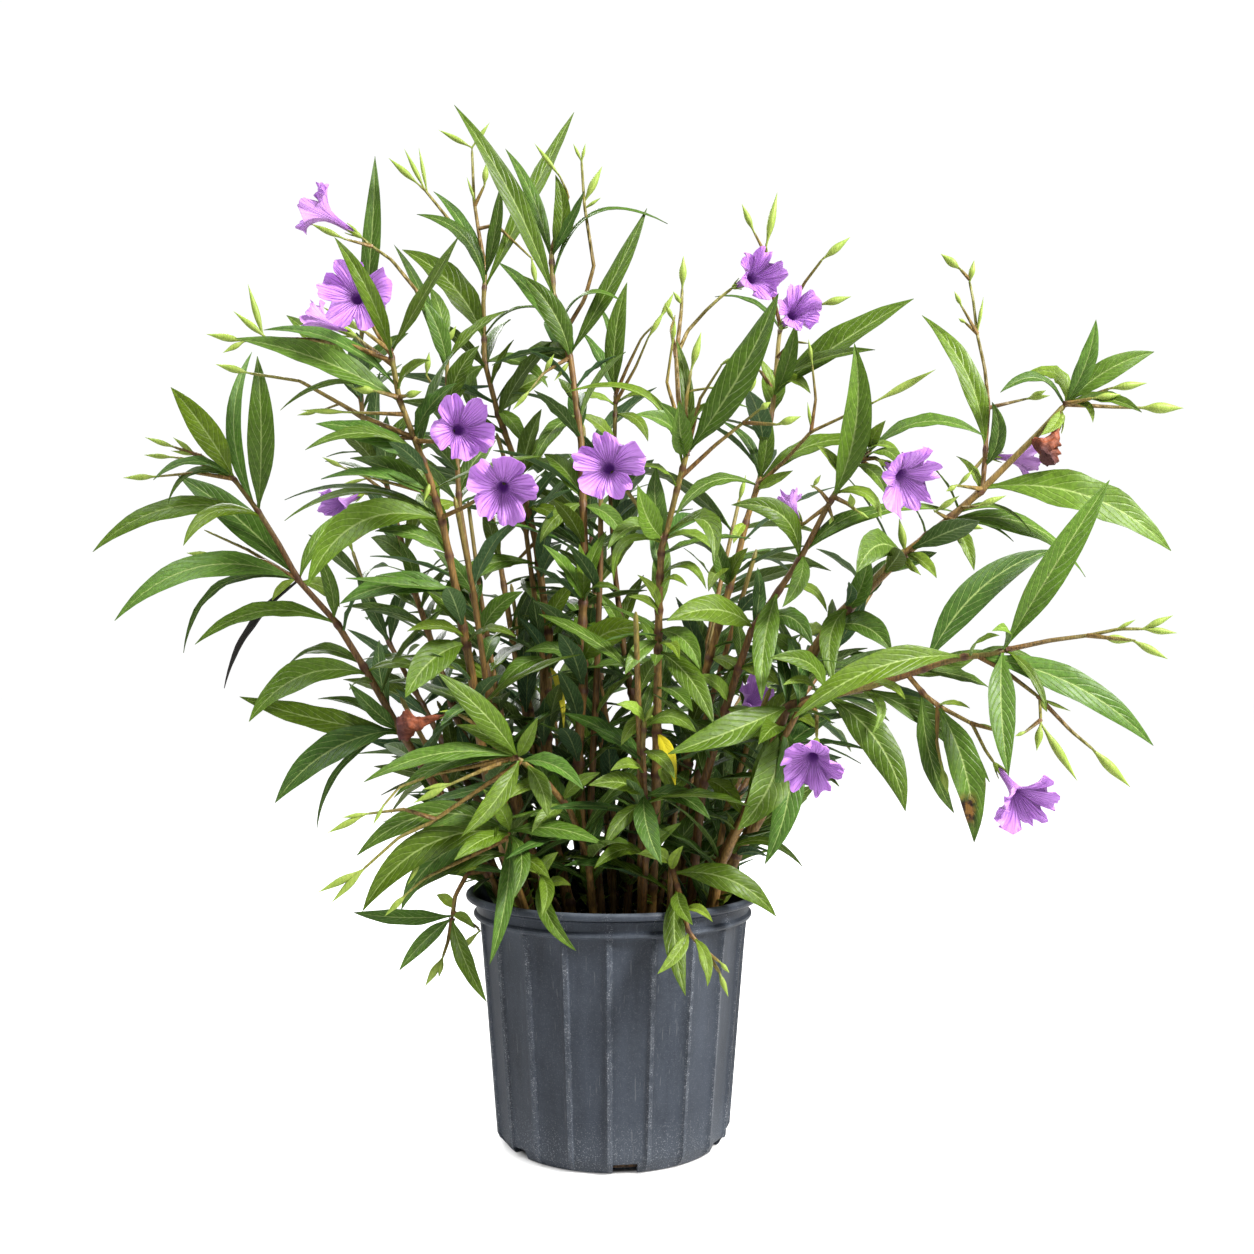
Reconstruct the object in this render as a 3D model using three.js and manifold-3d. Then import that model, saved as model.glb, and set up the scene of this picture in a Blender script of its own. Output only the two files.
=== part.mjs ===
// A flowering ruellia (Mexican petunia) in a three-gallon nursery pot, in millimetres, +Z up.
// The origin is the centre of the pot's underside; the plant is seen from -Y, with +X to the right.
//
// Where a leaf, bud or bloom lies is read as it is seen from one place in front of the pot: how far
// across and how far up it is in the upright plane through the pot's axis, and how much nearer than
// that plane it really is. seen() turns such a reading into a point in space.
import * as THREE from "three";
import { mergeVertices } from "three/addons/utils/BufferGeometryUtils.js";
import Module from "manifold-3d";

// Driving dimensions
const EYE_DISTANCE = 1250;
const EYE_HEIGHT = 435;
const GAP = 0.35;

const POT_HEIGHT = 235;
const LIP_RADIUS = 140;
const LIP_HEIGHT = 8.5;
const COLLAR_RADIUS = 130;
const COLLAR_HEIGHT = 22;
const BODY_TOP_RADIUS = 127;
const BODY_FOOT_RADIUS = 110;
const FOOT_BEVEL = 12;
const BASE_RADIUS = 103;
const WALL = 2.6;
const FLOOR = 4;
const PANELS = 20;
const RIDGE_HEIGHT = 1.3;
const RIDGE_HALF_ANGLE = 1.3;
const FIRST_RIDGE = -1.4;
const DRAINS = 6;
const DRAIN_WIDTH = 19;
const DRAIN_HEIGHT = 7;
const FIRST_DRAIN = -84;

const SOIL_TOP = 200;
const SOIL_CROWN = 6;
const SOIL_SHOULDER = 22;
const HOLE_DEPTH = 25;
const STEM_RISE = 4;

const TWIG_ROOT_RADIUS = 1.4;
const TWIG_TIP_RADIUS = 1.1;
const BLADE_THICKNESS = 1.3;
const BLADE_ARCH = 0.14;
const SHORT_BLADE = 120;
const STRAIGHT_BLADE = 16;
const CUP_LENGTH = 9;
const CUP_RADIUS = 2.8;
const TUBE_RADIUS = 3.2;

const FILL_SPACING = 88;
const FILL_LENGTHS = [92, 142];
const FILL_LEANS = [48, 72];
const FILL_DROOP = 0.2;
const FILL_BREADTH = 0.165;

// Shares of a blade's length, each with its share of the full breadth.
const LONG_BLADE_PLAN = [[0.22, 0.8], [0.5, 1], [0.8, 0.6]];
const SHORT_BLADE_PLAN = [[0.3, 1], [0.7, 0.8]];

// Where a leaf would meet another shoot, its tip is moved nearer or farther by the first of these
// steps that leaves it clear. Seen from the front it stays where it was.
const DEPTH_STEPS = [0, 12, -12, 24, -24, 38, -38, 54, -54, 72, -72];

// A filling leaf tries these turns about its stem, each with a share of its length.
const FILL_STEPS = [[0, 1], [24, 1], [-24, 1], [0, 0.76], [46, 0.9], [-46, 0.9], [24, 0.7], [-24, 0.7]];

const COLORS = { pot: 0x2c3138, soil: 0x1d1612, leaves: 0x4f8a2e, petals: 0xb98ae0, dried: 0x7a3a22 };

// What the plant is made of
// path:   points of the stem (across, up, nearer), from just above the soil to its tip
// foot:   where the stem stands in the soil (across, nearer), and thick its radius there and at the tip
// twigs:  how much nearer the far end is, then the points (across, up)
// buds:   where it starts and where it ends (across, up), and its width
// leaves: where it starts and ends (across, up), how much nearer its tip is, its width, how far the
//         middle bows up (or to the right), and how far its upper face turns up from facing the viewer
// fill:   the stretch of the stem that carries filling pairs of leaves, as shares of its length, and
//         the direction of the first pair in degrees
const SHOOTS = [
  {
    name: "shoot_left_long",
    foot: [-92, 10],
    thick: [3.4, 1.4],
    path: [
      [-127, 262, 20], [-165, 325, 26], [-202, 383, 34], [-236, 443, 42], [-265, 490, 50],
      [-301, 530, 56], [-320, 565, 60], [-338, 594, 64], [-364, 629, 68], [-398, 652, 70],
    ],
    twigs: [
      [12, -303, 531, -335, 550, -384, 554],
    ],
    buds: [
      [-380, 554, -409, 557, 8],
    ],
    leaves: [
      [-360, 630, -424, 716, 20, 24, 3, 20], [-339, 600, -341, 746, 25, 24, 6, 10],
      [-340, 598, -346, 750, -18, 14, -17, 40], [-338, 592, -499, 558, 10, 23, 17, 35],
      [-337, 592, -412, 564, 45, 20, 15, 40], [-303, 533, -417, 631, -40, 28, 4, 20],
      [-302, 530, -478, 492, 30, 30, 24, 30], [-302, 529, -412, 461, -25, 12, 26, 50],
      [-264, 487, -401, 469, 25, 18, 16, 35], [-303, 530, -373, 427, -45, 13, 3, 55],
      [-240, 448, -313, 448, -30, 15, 12, 40], [-236, 441, -349, 395, 35, 30, 17, 30],
      [-203, 384, -358, 419, 15, 24, -8, 25], [-204, 385, -324, 317, 40, 28, 12, 30],
      [-206, 387, -284, 291, -15, 8, 14, 40], [-203, 384, -283, 417, -25, 11, 6, 45],
      [-203, 386, -253, 432, 20, 15, -4, 30], [-362, 630, -441, 627, 24, 13, 12, 45],
      [-361, 629, -427, 605, 12, 11, 14, 45], [-300, 531, -250, 600, -30, 13, 6, 30],
      [-268, 492, -285, 560, 30, 13, 5, 35], [-238, 443, -170, 436, 20, 15, 8, 45],
    ],
    fill: [0.14, 0.44, 60],
  },
  {
    name: "shoot_left_back",
    foot: [-68, -58],
    thick: [3, 1.6],
    path: [
      [-108, 300, -90], [-150, 400, -110], [-190, 520, -126], [-218, 627, -130], [-240, 686, -130],
      [-244, 740, -128], [-238, 790, -125],
    ],
    twigs: [],
    buds: [],
    leaves: [
      [-240, 770, -228, 938, 40, 19, 6, 15], [-243, 705, -313, 785, -10, 27, 4, 30],
      [-243, 722, -196, 768, 10, 18, 3, 30], [-218, 628, -196, 690, -30, 20, 4, 30],
      [-205, 575, -262, 600, 10, 16, 8, 30],
    ],
    fill: [0.2, 0.92, 20],
  },
  {
    name: "shoot_left_front",
    foot: [-76, 50],
    thick: [3.9, 1.6],
    path: [
      [-112, 300, 66], [-125, 365, 78], [-135, 440, 92], [-150, 520, 106], [-163, 585, 118],
      [-175, 627, 128], [-190, 666, 138], [-205, 705, 146], [-213, 751, 152],
    ],
    twigs: [
      [-20, -212, 740, -250, 756, -290, 762, -330, 763, -356, 760],
      [-12, -190, 668, -240, 688, -300, 722, -352, 730], [16, -206, 706, -230, 713],
      [20, -214, 751, -240, 771], [6, -205, 706, -196, 708],
    ],
    buds: [
      [-352, 760, -390, 767, 8], [-348, 730, -381, 738, 8], [-226, 713, -250, 715, 9],
      [-236, 768, -278, 793, 8], [-200, 707, -183, 712, 8],
    ],
    leaves: [
      [-164, 588, -293, 525, 40, 31, 24, 30], [-163, 586, -315, 588, 10, 13, 18, 60],
      [-164, 590, -315, 608, -24, 9, 10, 50], [-170, 606, -280, 628, 20, 18, 6, 45],
      [-172, 612, -252, 648, -8, 20, 2, 30], [-182, 645, -285, 681, 25, 25, 4, 35],
      [-184, 650, -295, 656, 50, 16, 10, 45], [-204, 703, -362, 763, 30, 28, 2, 30],
      [-208, 718, -335, 771, -24, 15, 8, 50], [-206, 705, -319, 694, 10, 8, 12, 50],
      [-212, 745, -267, 860, 60, 18, 6, 15], [-213, 750, -147, 862, 25, 16, -6, 45],
      [-141, 470, -199, 418, 50, 28, 8, 10], [-150, 518, -262, 508, 20, 23, 8, 35],
      [-151, 522, -256, 533, 45, 14, -6, 40], [-190, 666, -150, 720, 20, 18, 3, 30],
      [-157, 555, -228, 578, 10, 17, 5, 35],
    ],
    fill: [0.08, 0.5, 0],
  },
  {
    name: "shoot_left_middle",
    foot: [-60, 4],
    thick: [3.4, 1.4],
    path: [
      [-98, 330, 4], [-118, 427, 4], [-133, 512, 0], [-147, 602, -6], [-150, 660, -12],
      [-158, 710, -20], [-160, 760, -24],
    ],
    twigs: [],
    buds: [],
    leaves: [
      [-158, 722, -210, 853, -30, 12, 6, 30], [-159, 740, -100, 790, -10, 14, 2, 40],
      [-159, 735, -182, 800, 20, 18, 4, 20], [-156, 700, -128, 756, 20, 20, 4, 20],
      [-134, 515, -172, 560, 30, 18, 3, 30], [-148, 612, -112, 665, -20, 18, 4, 30],
      [-127, 475, -86, 520, 20, 20, 6, 30],
    ],
    fill: [0.1, 0.8, 40],
  },
  {
    name: "shoot_upper_left",
    foot: [-40, -34],
    thick: [3.6, 1.6],
    path: [
      [-60, 300, -40], [-63, 400, -46], [-61, 477, -52], [-74, 569, -60], [-88, 630, -68],
      [-110, 690, -76], [-123, 741, -82], [-124, 798, -86], [-122, 830, -88],
    ],
    twigs: [
      [20, -122, 828, -150, 868, -180, 905, -188, 912],
      [0, -122, 829, -128, 862, -133, 895, -135, 946], [10, -132, 890, -122, 912],
    ],
    buds: [
      [-185, 910, -215, 936, 8], [-123, 910, -121, 932, 8],
    ],
    leaves: [
      [-123, 762, -202, 848, 10, 31, 10, 25], [-123, 812, -188, 882, 20, 18, 16, 40],
      [-123, 816, -172, 904, -20, 14, 6, 45], [-122, 822, -107, 912, 30, 14, -4, 20],
      [-123, 810, -37, 980, -30, 20, -6, 30], [-123, 765, -58, 789, 25, 10, 10, 55],
      [-72, 545, -174, 487, 60, 21, 22, 25], [-61, 450, -47, 388, 60, 7, 5, 20],
      [-62, 455, -112, 420, 40, 18, 8, 30], [-122, 740, -62, 716, 20, 20, 10, 35],
      [-110, 690, -62, 726, -16, 22, 6, 25],
    ],
    fill: [0.12, 0.7, 10],
  },
  {
    name: "shoot_centre_tall",
    foot: [-16, -4],
    thick: [3.8, 1.8],
    path: [
      [-30, 300, -4], [-33, 368, -4], [-28, 432, -4], [-29, 481, -4], [-27, 560, -6],
      [-30, 662, -10], [-40, 741, -14], [-47, 768, -16], [-57, 805, -18], [-59, 850, -20],
    ],
    twigs: [
      [14, -46, 766, -27, 800, -18, 832, -27, 890, -30, 936],
    ],
    buds: [
      [-28, 895, -10, 928, 9],
    ],
    leaves: [
      [-57, 800, -152, 987, 40, 22, 4, 25], [-59, 835, -103, 945, -15, 14, 4, 40],
      [-58, 842, -55, 920, 20, 17, 9, 25], [-59, 845, -27, 905, 38, 13, -5, 30],
      [-57, 818, 53, 873, 20, 16, 32, 55], [-41, 748, 33, 888, 15, 18, -8, 30],
      [-41, 742, -86, 823, 20, 23, 6, 25], [-41, 744, -110, 836, -20, 17, 4, 40],
      [-50, 777, 10, 798, 30, 11, 14, 50], [-29, 450, 33, 486, 70, 29, 12, 15],
      [-29, 448, 52, 452, 40, 18, -4, 60], [-29, 508, -67, 565, 40, 16, 3, 30],
      [-28, 512, -6, 578, 8, 14, 3, 30], [-29, 600, 2, 655, -30, 18, 4, 25],
      [-30, 606, -66, 652, -26, 20, 4, 25], [-33, 690, -74, 646, 20, 16, 5, 35],
    ],
    fill: [0.1, 0.62, 70],
  },
  {
    name: "shoot_centre_back",
    foot: [14, -40],
    thick: [3, 1.5],
    path: [
      [20, 300, -54], [22, 400, -66], [10, 470, -74], [2, 540, -82], [-2, 610, -90], [2, 670, -96],
      [3, 712, -98],
    ],
    twigs: [],
    buds: [],
    leaves: [
      [3, 710, 14, 817, 30, 20, -6, 10], [2, 710, -30, 770, -10, 13, 2, 35],
      [3, 711, -15, 797, -30, 9, 7, 40], [8, 480, 30, 536, -20, 13, 3, 30],
    ],
    fill: [0.15, 0.85, 30],
  },
  {
    name: "shoot_centre_front",
    foot: [34, 52],
    thick: [3.8, 1.6],
    path: [
      [41, 300, 76], [42, 341, 86], [43, 420, 104], [44, 480, 118], [45, 526, 130], [47, 562, 140],
      [55, 590, 148], [64, 627, 158], [72, 655, 166],
    ],
    twigs: [
      [-10, 61, 745, 66, 790, 67, 814], [0, 72, 655, 70, 700, 76, 736],
      [24, 65, 630, 98, 660, 128, 684, 144, 697], [14, 124, 682, 161, 680],
    ],
    buds: [
      [66, 810, 68, 842, 8], [75, 732, 85, 769, 8], [157, 680, 181, 688, 8],
    ],
    leaves: [
      [66, 640, -45, 711, 10, 15, 26, 55], [71, 652, 61, 762, -14, 11, 4, 40],
      [72, 654, 159, 806, 40, 29, -8, 20], [68, 644, 22, 690, 30, 19, 10, 30],
      [69, 648, 44, 702, 50, 17, 4, 20], [71, 653, 130, 697, 15, 12, 18, 50],
      [49, 574, 42, 640, 20, 18, -5, 25], [43, 462, 97, 393, 50, 21, 6, 15],
    ],
    fill: [0.04, 0.5, 50],
  },
  {
    name: "shoot_right_middle",
    foot: [56, -8],
    thick: [3.5, 1.5],
    path: [
      [68, 300, -6], [76, 397, -2], [92, 452, 2], [103, 490, 4], [118, 544, 2], [129, 590, 0],
      [141, 627, -4], [148, 663, -8], [154, 700, -12], [159, 757, -18], [161, 775, -20],
    ],
    twigs: [
      [30, 161, 773, 150, 820, 147, 854], [40, 161, 774, 184, 816, 203, 841],
      [16, 161, 774, 190, 792, 202, 796], [70, 140, 622, 166, 646, 190, 673, 220, 687, 254, 703],
      [20, 150, 670, 138, 690, 130, 712],
    ],
    buds: [
      [147, 850, 158, 903, 9], [200, 838, 228, 860, 9], [199, 795, 229, 803, 9],
      [250, 701, 310, 733, 9], [131, 710, 138, 732, 8],
    ],
    leaves: [
      [140, 622, 60, 592, 30, 16, 14, 45], [140, 623, 103, 684, -10, 10, 10, 35],
      [141, 627, 148, 697, 20, 15, 3, 20], [140, 624, 260, 661, 20, 21, 14, 35],
      [155, 712, 289, 801, 40, 29, -2, 25], [154, 708, 176, 778, 35, 17, -4, 20],
      [156, 722, 252, 752, 60, 15, 2, 30], [161, 772, 98, 803, -30, 10, 7, 60],
    ],
    fill: [0.08, 0.5, 0],
  },
  {
    name: "shoot_right_upper",
    foot: [70, 40],
    thick: [3.5, 1.6],
    path: [
      [86, 330, 58], [108, 406, 72], [120, 443, 80], [133, 482, 88], [157, 517, 96],
      [181, 553, 104], [206, 601, 114], [221, 627, 120], [236, 646, 124], [248, 655, 126],
    ],
    twigs: [
      [24, 210, 610, 226, 604, 236, 596],
    ],
    buds: [
      [230, 600, 228, 614, 8],
    ],
    leaves: [
      [178, 550, 114, 603, 25, 22, 18, 25], [182, 555, 265, 600, 10, 15, 6, 45],
      [183, 557, 330, 596, -24, 16, 10, 45], [158, 518, 143, 415, 60, 21, 6, 5],
      [134, 484, 52, 492, 60, 31, 10, 20], [135, 487, 192, 468, 40, 21, 14, 40],
      [246, 654, 357, 669, 24, 17, 14, 45], [209, 608, 232, 758, 40, 25, 10, 10],
    ],
    fill: [0.08, 0.42, 45],
  },
  {
    name: "shoot_right_long",
    foot: [93, 16],
    thick: [4.6, 1.8],
    path: [
      [112, 260, 22], [133, 290, 28], [148, 316, 34], [158, 355, 42], [165, 400, 50],
      [180, 445, 58], [205, 482, 66], [235, 512, 74], [279, 555, 84], [321, 588, 92],
      [354, 617, 98], [408, 671, 106], [435, 700, 108],
    ],
    twigs: [
      [-14, 355, 619, 358, 660, 361, 698, 357, 735, 350, 766, 346, 800, 342, 820],
      [10, 434, 699, 470, 712, 480, 716], [24, 434, 699, 464, 706],
      [6, 434, 699, 480, 697, 512, 696], [10, 343, 820, 332, 831],
    ],
    buds: [
      [334, 829, 315, 844, 9], [475, 715, 513, 720, 9], [460, 706, 488, 709, 8],
      [506, 697, 548, 696, 12], [281, 557, 275, 590, 9],
    ],
    leaves: [
      [358, 655, 297, 785, -20, 21, 10, 15], [357, 640, 364, 702, 16, 14, 8, 20],
      [434, 700, 464, 781, 20, 16, -4, 15], [435, 700, 520, 750, 10, 20, 5, 20],
      [435, 699, 508, 692, 34, 15, 4, 45], [434, 699, 372, 711, 20, 15, 14, 45],
      [358, 619, 536, 559, 30, 37, 16, 15], [326, 593, 402, 577, 10, 11, 12, 50],
      [320, 587, 454, 534, -30, 31, 16, 40], [318, 586, 385, 568, -10, 7, 4, 60],
      [228, 505, 212, 432, 55, 20, 12, 15], [206, 483, 268, 462, 40, 27, 10, 40],
    ],
    fill: [0.1, 0.34, 80],
  },
  {
    name: "shoot_right_low",
    foot: [86, 62],
    thick: [4.2, 1.7],
    path: [
      [104, 262, 76], [126, 304, 92], [150, 360, 110], [168, 410, 122], [200, 419, 132],
      [240, 427, 142], [285, 441, 150], [310, 450, 154], [336, 457, 158], [362, 459, 162],
      [378, 464, 164],
    ],
    twigs: [
      [12, 377, 463, 420, 473, 458, 478, 486, 484, 512, 484], [20, 455, 478, 480, 475, 502, 473],
      [20, 350, 458, 376, 444, 410, 418, 411, 390], [12, 408, 420, 440, 386, 464, 366],
      [0, 311, 410, 311, 376, 316, 350],
    ],
    buds: [
      [498, 473, 533, 455, 8], [468, 477, 500, 472, 9], [411, 394, 446, 338, 9],
      [411, 392, 407, 367, 8], [460, 370, 497, 332, 10], [315, 354, 322, 325, 8],
    ],
    leaves: [
      [335, 457, 173, 398, 30, 25, 12, 25], [168, 411, 53, 364, 50, 28, -4, 20],
      [204, 420, 281, 309, 40, 29, 12, 20], [160, 388, 120, 291, 50, 34, -10, 5],
      [163, 396, 146, 258, 45, 25, 12, 10], [107, 270, 183, 255, 20, 9, 14, 45],
      [298, 446, 423, 560, -20, 27, 17, 15], [376, 463, 477, 627, 20, 25, 2, 15],
      [346, 458, 519, 372, 20, 28, 14, 30], [374, 462, 380, 343, 50, 22, -6, 8],
      [377, 463, 417, 405, 30, 9, 4, 40], [311, 410, 347, 279, 20, 28, 6, 10],
      [298, 424, 328, 307, -20, 18, -10, 15], [240, 427, 362, 337, -30, 25, 6, 30],
      [204, 420, 150, 456, 40, 18, 12, 30], [345, 458, 412, 448, -16, 10, 6, 50],
    ],
    fill: [0.1, 0.3, 20],
  },
  {
    name: "shoot_low_left",
    foot: [-16, 62],
    thick: [2.6, 1.6],
    path: [
      [-24, 270, 84], [-42, 312, 104], [-68, 342, 122], [-92, 361, 136],
    ],
    twigs: [
      [24, -92, 360, -126, 348, -160, 333],
      [24, -88, 358, -135, 325, -175, 298, -205, 284, -242, 251],
    ],
    buds: [
      [-156, 334, -191, 317, 8], [-238, 254, -283, 231, 8], [-237, 254, -270, 221, 8],
    ],
    leaves: [
      [-91, 360, -168, 442, 40, 22, 4, 15], [-92, 361, -239, 337, 30, 18, 8, 40],
      [-90, 359, -145, 285, 40, 18, -6, 15], [-88, 358, -28, 330, 30, 17, 6, 35],
      [-91, 360, -210, 322, 8, 16, 10, 35], [-90, 360, -150, 392, 10, 14, 3, 30],
    ],
    fill: [0.3, 0.8, 30],
  },
  {
    name: "shoot_low_front",
    foot: [-70, 72],
    thick: [2.4, 1.5],
    path: [
      [-92, 240, 96], [-101, 266, 110], [-99, 290, 118],
    ],
    twigs: [],
    buds: [],
    leaves: [
      [-100, 289, -240, 213, 20, 27, 20, 25], [-99, 290, -246, 266, 45, 23, 22, 25],
      [-100, 288, -152, 262, 60, 16, 3, 30], [-99, 288, -118, 162, 50, 15, 6, 15],
      [-99, 289, -8, 277, 30, 20, 4, 45], [-99, 287, -96, 224, 60, 15, 10, 20],
      [-101, 268, -188, 233, 10, 21, 8, 35], [-100, 289, -203, 214, -16, 25, 16, 20],
    ],
    fill: null,
  },
  {
    name: "shoot_over_rim_left",
    foot: [-96, 26],
    thick: [2.2, 1.4],
    path: [
      [-119, 252, 36], [-139, 250, 42], [-151, 228, 46], [-154, 206, 48],
    ],
    twigs: [
      [12, -154, 206, -158, 184, -164, 166],
    ],
    buds: [
      [-163, 169, -180, 141, 9],
    ],
    leaves: [
      [-154, 208, -249, 212, 10, 16, -6, 35], [-154, 207, -205, 156, 30, 14, 2, 20],
      [-154, 207, -121, 126, 60, 16, -3, 10],
    ],
    fill: null,
  },
  {
    name: "shoot_over_rim_front",
    foot: [50, 84],
    thick: [2, 1.2],
    path: [
      [56, 258, 99], [64, 230, 117], [68, 212, 134], [73, 193, 141], [91, 172, 145],
      [104, 152, 146],
    ],
    twigs: [],
    buds: [],
    leaves: [
      [62, 235, 70, 132, 56, 19, -6, 12], [58, 250, 157, 208, 4, 24, 12, 26],
    ],
    fill: null,
  },
  {
    name: "shoot_front_centre",
    foot: [26, 76],
    thick: [2.4, 1.5],
    path: [
      [32, 262, 94], [31, 320, 112], [29, 372, 124], [31, 398, 130],
    ],
    twigs: [],
    buds: [],
    leaves: [
      [31, 322, 94, 301, 30, 17, 8, 35], [31, 325, 47, 258, 50, 20, -5, 10],
      [31, 318, -8, 274, 34, 14, 4, 30],
    ],
    fill: null,
  },
  {
    name: "shoot_front_sprout",
    foot: [-56, 92],
    thick: [2, 1.4],
    path: [
      [-64, 232, 108], [-70, 248, 116],
    ],
    twigs: [],
    buds: [],
    leaves: [
      [-69, 246, -35, 175, 56, 14, -8, 10],
    ],
    fill: null,
  },
  {
    name: "shoot_back_left",
    foot: [-44, -70],
    thick: [3.2, 1.5],
    path: [
      [-70, 330, -110], [-92, 450, -150], [-110, 560, -190], [-126, 650, -225], [-140, 720, -250],
    ],
    twigs: [],
    buds: [],
    leaves: [],
    fill: [0.16, 1, 15],
  },
  {
    name: "shoot_back_centre",
    foot: [2, -86],
    thick: [3.2, 1.5],
    path: [
      [-4, 330, -130], [-12, 450, -180], [-20, 570, -230], [-28, 680, -270],
    ],
    twigs: [],
    buds: [],
    leaves: [],
    fill: [0.16, 1, 50],
  },
  {
    name: "shoot_back_right",
    foot: [46, -70],
    thick: [3.2, 1.5],
    path: [
      [62, 330, -110], [84, 440, -145], [104, 530, -175], [122, 610, -205],
    ],
    twigs: [],
    buds: [],
    leaves: [],
    fill: [0.16, 1, 30],
  },
  {
    name: "shoot_far_right",
    foot: [84, -36],
    thick: [3.2, 1.5],
    path: [
      [108, 300, -70], [146, 370, -105], [190, 430, -140], [232, 490, -175], [262, 545, -200],
    ],
    twigs: [],
    buds: [],
    leaves: [],
    fill: [0.14, 1, 0],
  },
  {
    name: "shoot_far_left",
    foot: [-88, -34],
    thick: [3.2, 1.5],
    path: [
      [-118, 300, -75], [-160, 370, -120], [-198, 440, -165], [-230, 500, -205], [-250, 560, -235],
    ],
    twigs: [],
    buds: [],
    leaves: [],
    fill: [0.14, 1, 60],
  },
  {
    name: "shoot_rear_low",
    foot: [-22, -96],
    thick: [2.8, 1.4],
    path: [
      [-40, 300, -170], [-52, 370, -240], [-60, 430, -300], [-66, 480, -350],
    ],
    twigs: [],
    buds: [],
    leaves: [],
    fill: [0.2, 1, 20],
  },
  {
    name: "shoot_rear_right",
    foot: [26, -96],
    thick: [2.8, 1.4],
    path: [
      [52, 300, -170], [84, 350, -235], [112, 400, -290], [136, 440, -335],
    ],
    twigs: [],
    buds: [],
    leaves: [],
    fill: [0.2, 1, 70],
  },
];

// Blooms: the shoot that bears it, the points its stalk passes (across, up), where the green cup ends
// and the middle of the open mouth (across, up, nearer), the spread of its lobes and its turn.
const BLOOMS = [
  {
    on: "shoot_left_middle",
    stalk: [-159, 757, -186, 806, -212, 838, -232, 852],
    base: [-249, 865, 4], mouth: [-288, 890, 16], spread: 52, turn: 10,
  },
  {
    on: "shoot_left_front",
    stalk: [-213, 748, -226, 768],
    base: [-241, 794, 168], mouth: [-248, 806, 206], spread: 59, turn: 30,
  },
  {
    on: "shoot_left_front",
    stalk: [-211, 738, -236, 756],
    base: [-254, 768, 128], mouth: [-287, 783, 120], spread: 40, turn: 0,
  },
  {
    on: "shoot_left_front",
    stalk: [-189, 663, -170, 664],
    base: [-153, 674, 160], mouth: [-144, 676, 200], spread: 54, turn: 12,
  },
  {
    on: "shoot_left_front",
    stalk: [-164, 590, -140, 602, -118, 616],
    base: [-104, 624, 180], mouth: [-106, 617, 219], spread: 56, turn: 50,
  },
  {
    on: "shoot_centre_front",
    stalk: [48, 570, 32, 592, 14, 616],
    base: [0, 634, 178], mouth: [-6, 641, 217], spread: 58, turn: 0,
  },
  {
    on: "shoot_centre_front",
    stalk: [71, 654, 63, 705, 61, 745, 72, 770, 90, 790, 102, 801],
    base: [113, 811, 128], mouth: [143, 825, 150], spread: 48, turn: 27,
  },
  {
    on: "shoot_right_middle",
    stalk: [160, 768, 162, 772],
    base: [164, 776, 40], mouth: [178, 791, 74], spread: 44, turn: 40,
  },
  {
    on: "shoot_right_upper",
    stalk: [238, 648, 252, 648],
    base: [262, 642, 166], mouth: [287, 625, 196], spread: 58, turn: 10,
  },
  {
    on: "shoot_right_long",
    stalk: [356, 622, 346, 636],
    base: [366, 650, 62], mouth: [402, 645, 66], spread: 42, turn: 8,
  },
  {
    on: "shoot_left_back",
    stalk: [-212, 602, -226, 612],
    base: [-244, 612, -84], mouth: [-268, 600, -60], spread: 40, turn: 30,
  },
  {
    on: "shoot_right_upper",
    stalk: [206, 602, 190, 590],
    base: [178, 588, 96], mouth: [168, 609, 84], spread: 30, turn: 0,
  },
  {
    on: "shoot_right_middle",
    stalk: [80, 410, 104, 398],
    base: [120, 402, 12], mouth: [138, 420, 34], spread: 40, turn: 20,
  },
  {
    on: "shoot_right_low",
    stalk: [186, 416, 196, 404],
    base: [197, 390, 172], mouth: [190, 351, 196], spread: 52, turn: 6,
  },
  {
    on: "shoot_right_low",
    stalk: [284, 441, 299, 421, 313, 410, 345, 393, 358, 367],
    base: [371, 349, 160], mouth: [398, 314, 172], spread: 54, turn: 16,
  },
];
// Dried blooms hang shut: where each starts and ends (across, up, nearer) and its width.
const DRIED = [
  {
    name: "dried_bloom_right",
    on: "shoot_right_long",
    stalk: [431, 690],
    base: [429, 681, 114], tip: [415, 652, 122], width: 22,
  },
  {
    name: "dried_bloom_left",
    on: "shoot_left_front",
    stalk: [-127, 390],
    base: [-158, 402, 88], tip: [-192, 388, 96], width: 24,
  },
];

// The bush as it is seen from the front: filling leaves stay inside this outline (across, up) and
// out of the round gaps (across, up, radius) where the background shows through.
const OUTLINE = [
  [-128, 226], [-160, 236], [-212, 240], [-205, 270], [-228, 300], [-222, 345], [-255, 372],
  [-240, 400], [-262, 440], [-268, 480], [-262, 520], [-296, 560], [-296, 610], [-276, 650],
  [-282, 690], [-276, 720], [-300, 752], [-262, 790], [-226, 840], [-190, 812], [-160, 852],
  [-135, 884], [-108, 872], [-92, 832], [-72, 844], [-58, 880], [-36, 850], [-22, 790],
  [-16, 752], [4, 796], [16, 770], [26, 726], [62, 742], [78, 704], [98, 724], [122, 766],
  [142, 796], [152, 742], [196, 738], [168, 690], [166, 640], [205, 646], [232, 712],
  [240, 664], [300, 676], [350, 650], [336, 606], [400, 604], [430, 592], [404, 566],
  [320, 560], [286, 540], [246, 504], [236, 474], [310, 462], [370, 470], [404, 440],
  [356, 398], [330, 350], [290, 388], [244, 398], [250, 360], [214, 330], [176, 300],
  [158, 262], [132, 238],
];
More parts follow.
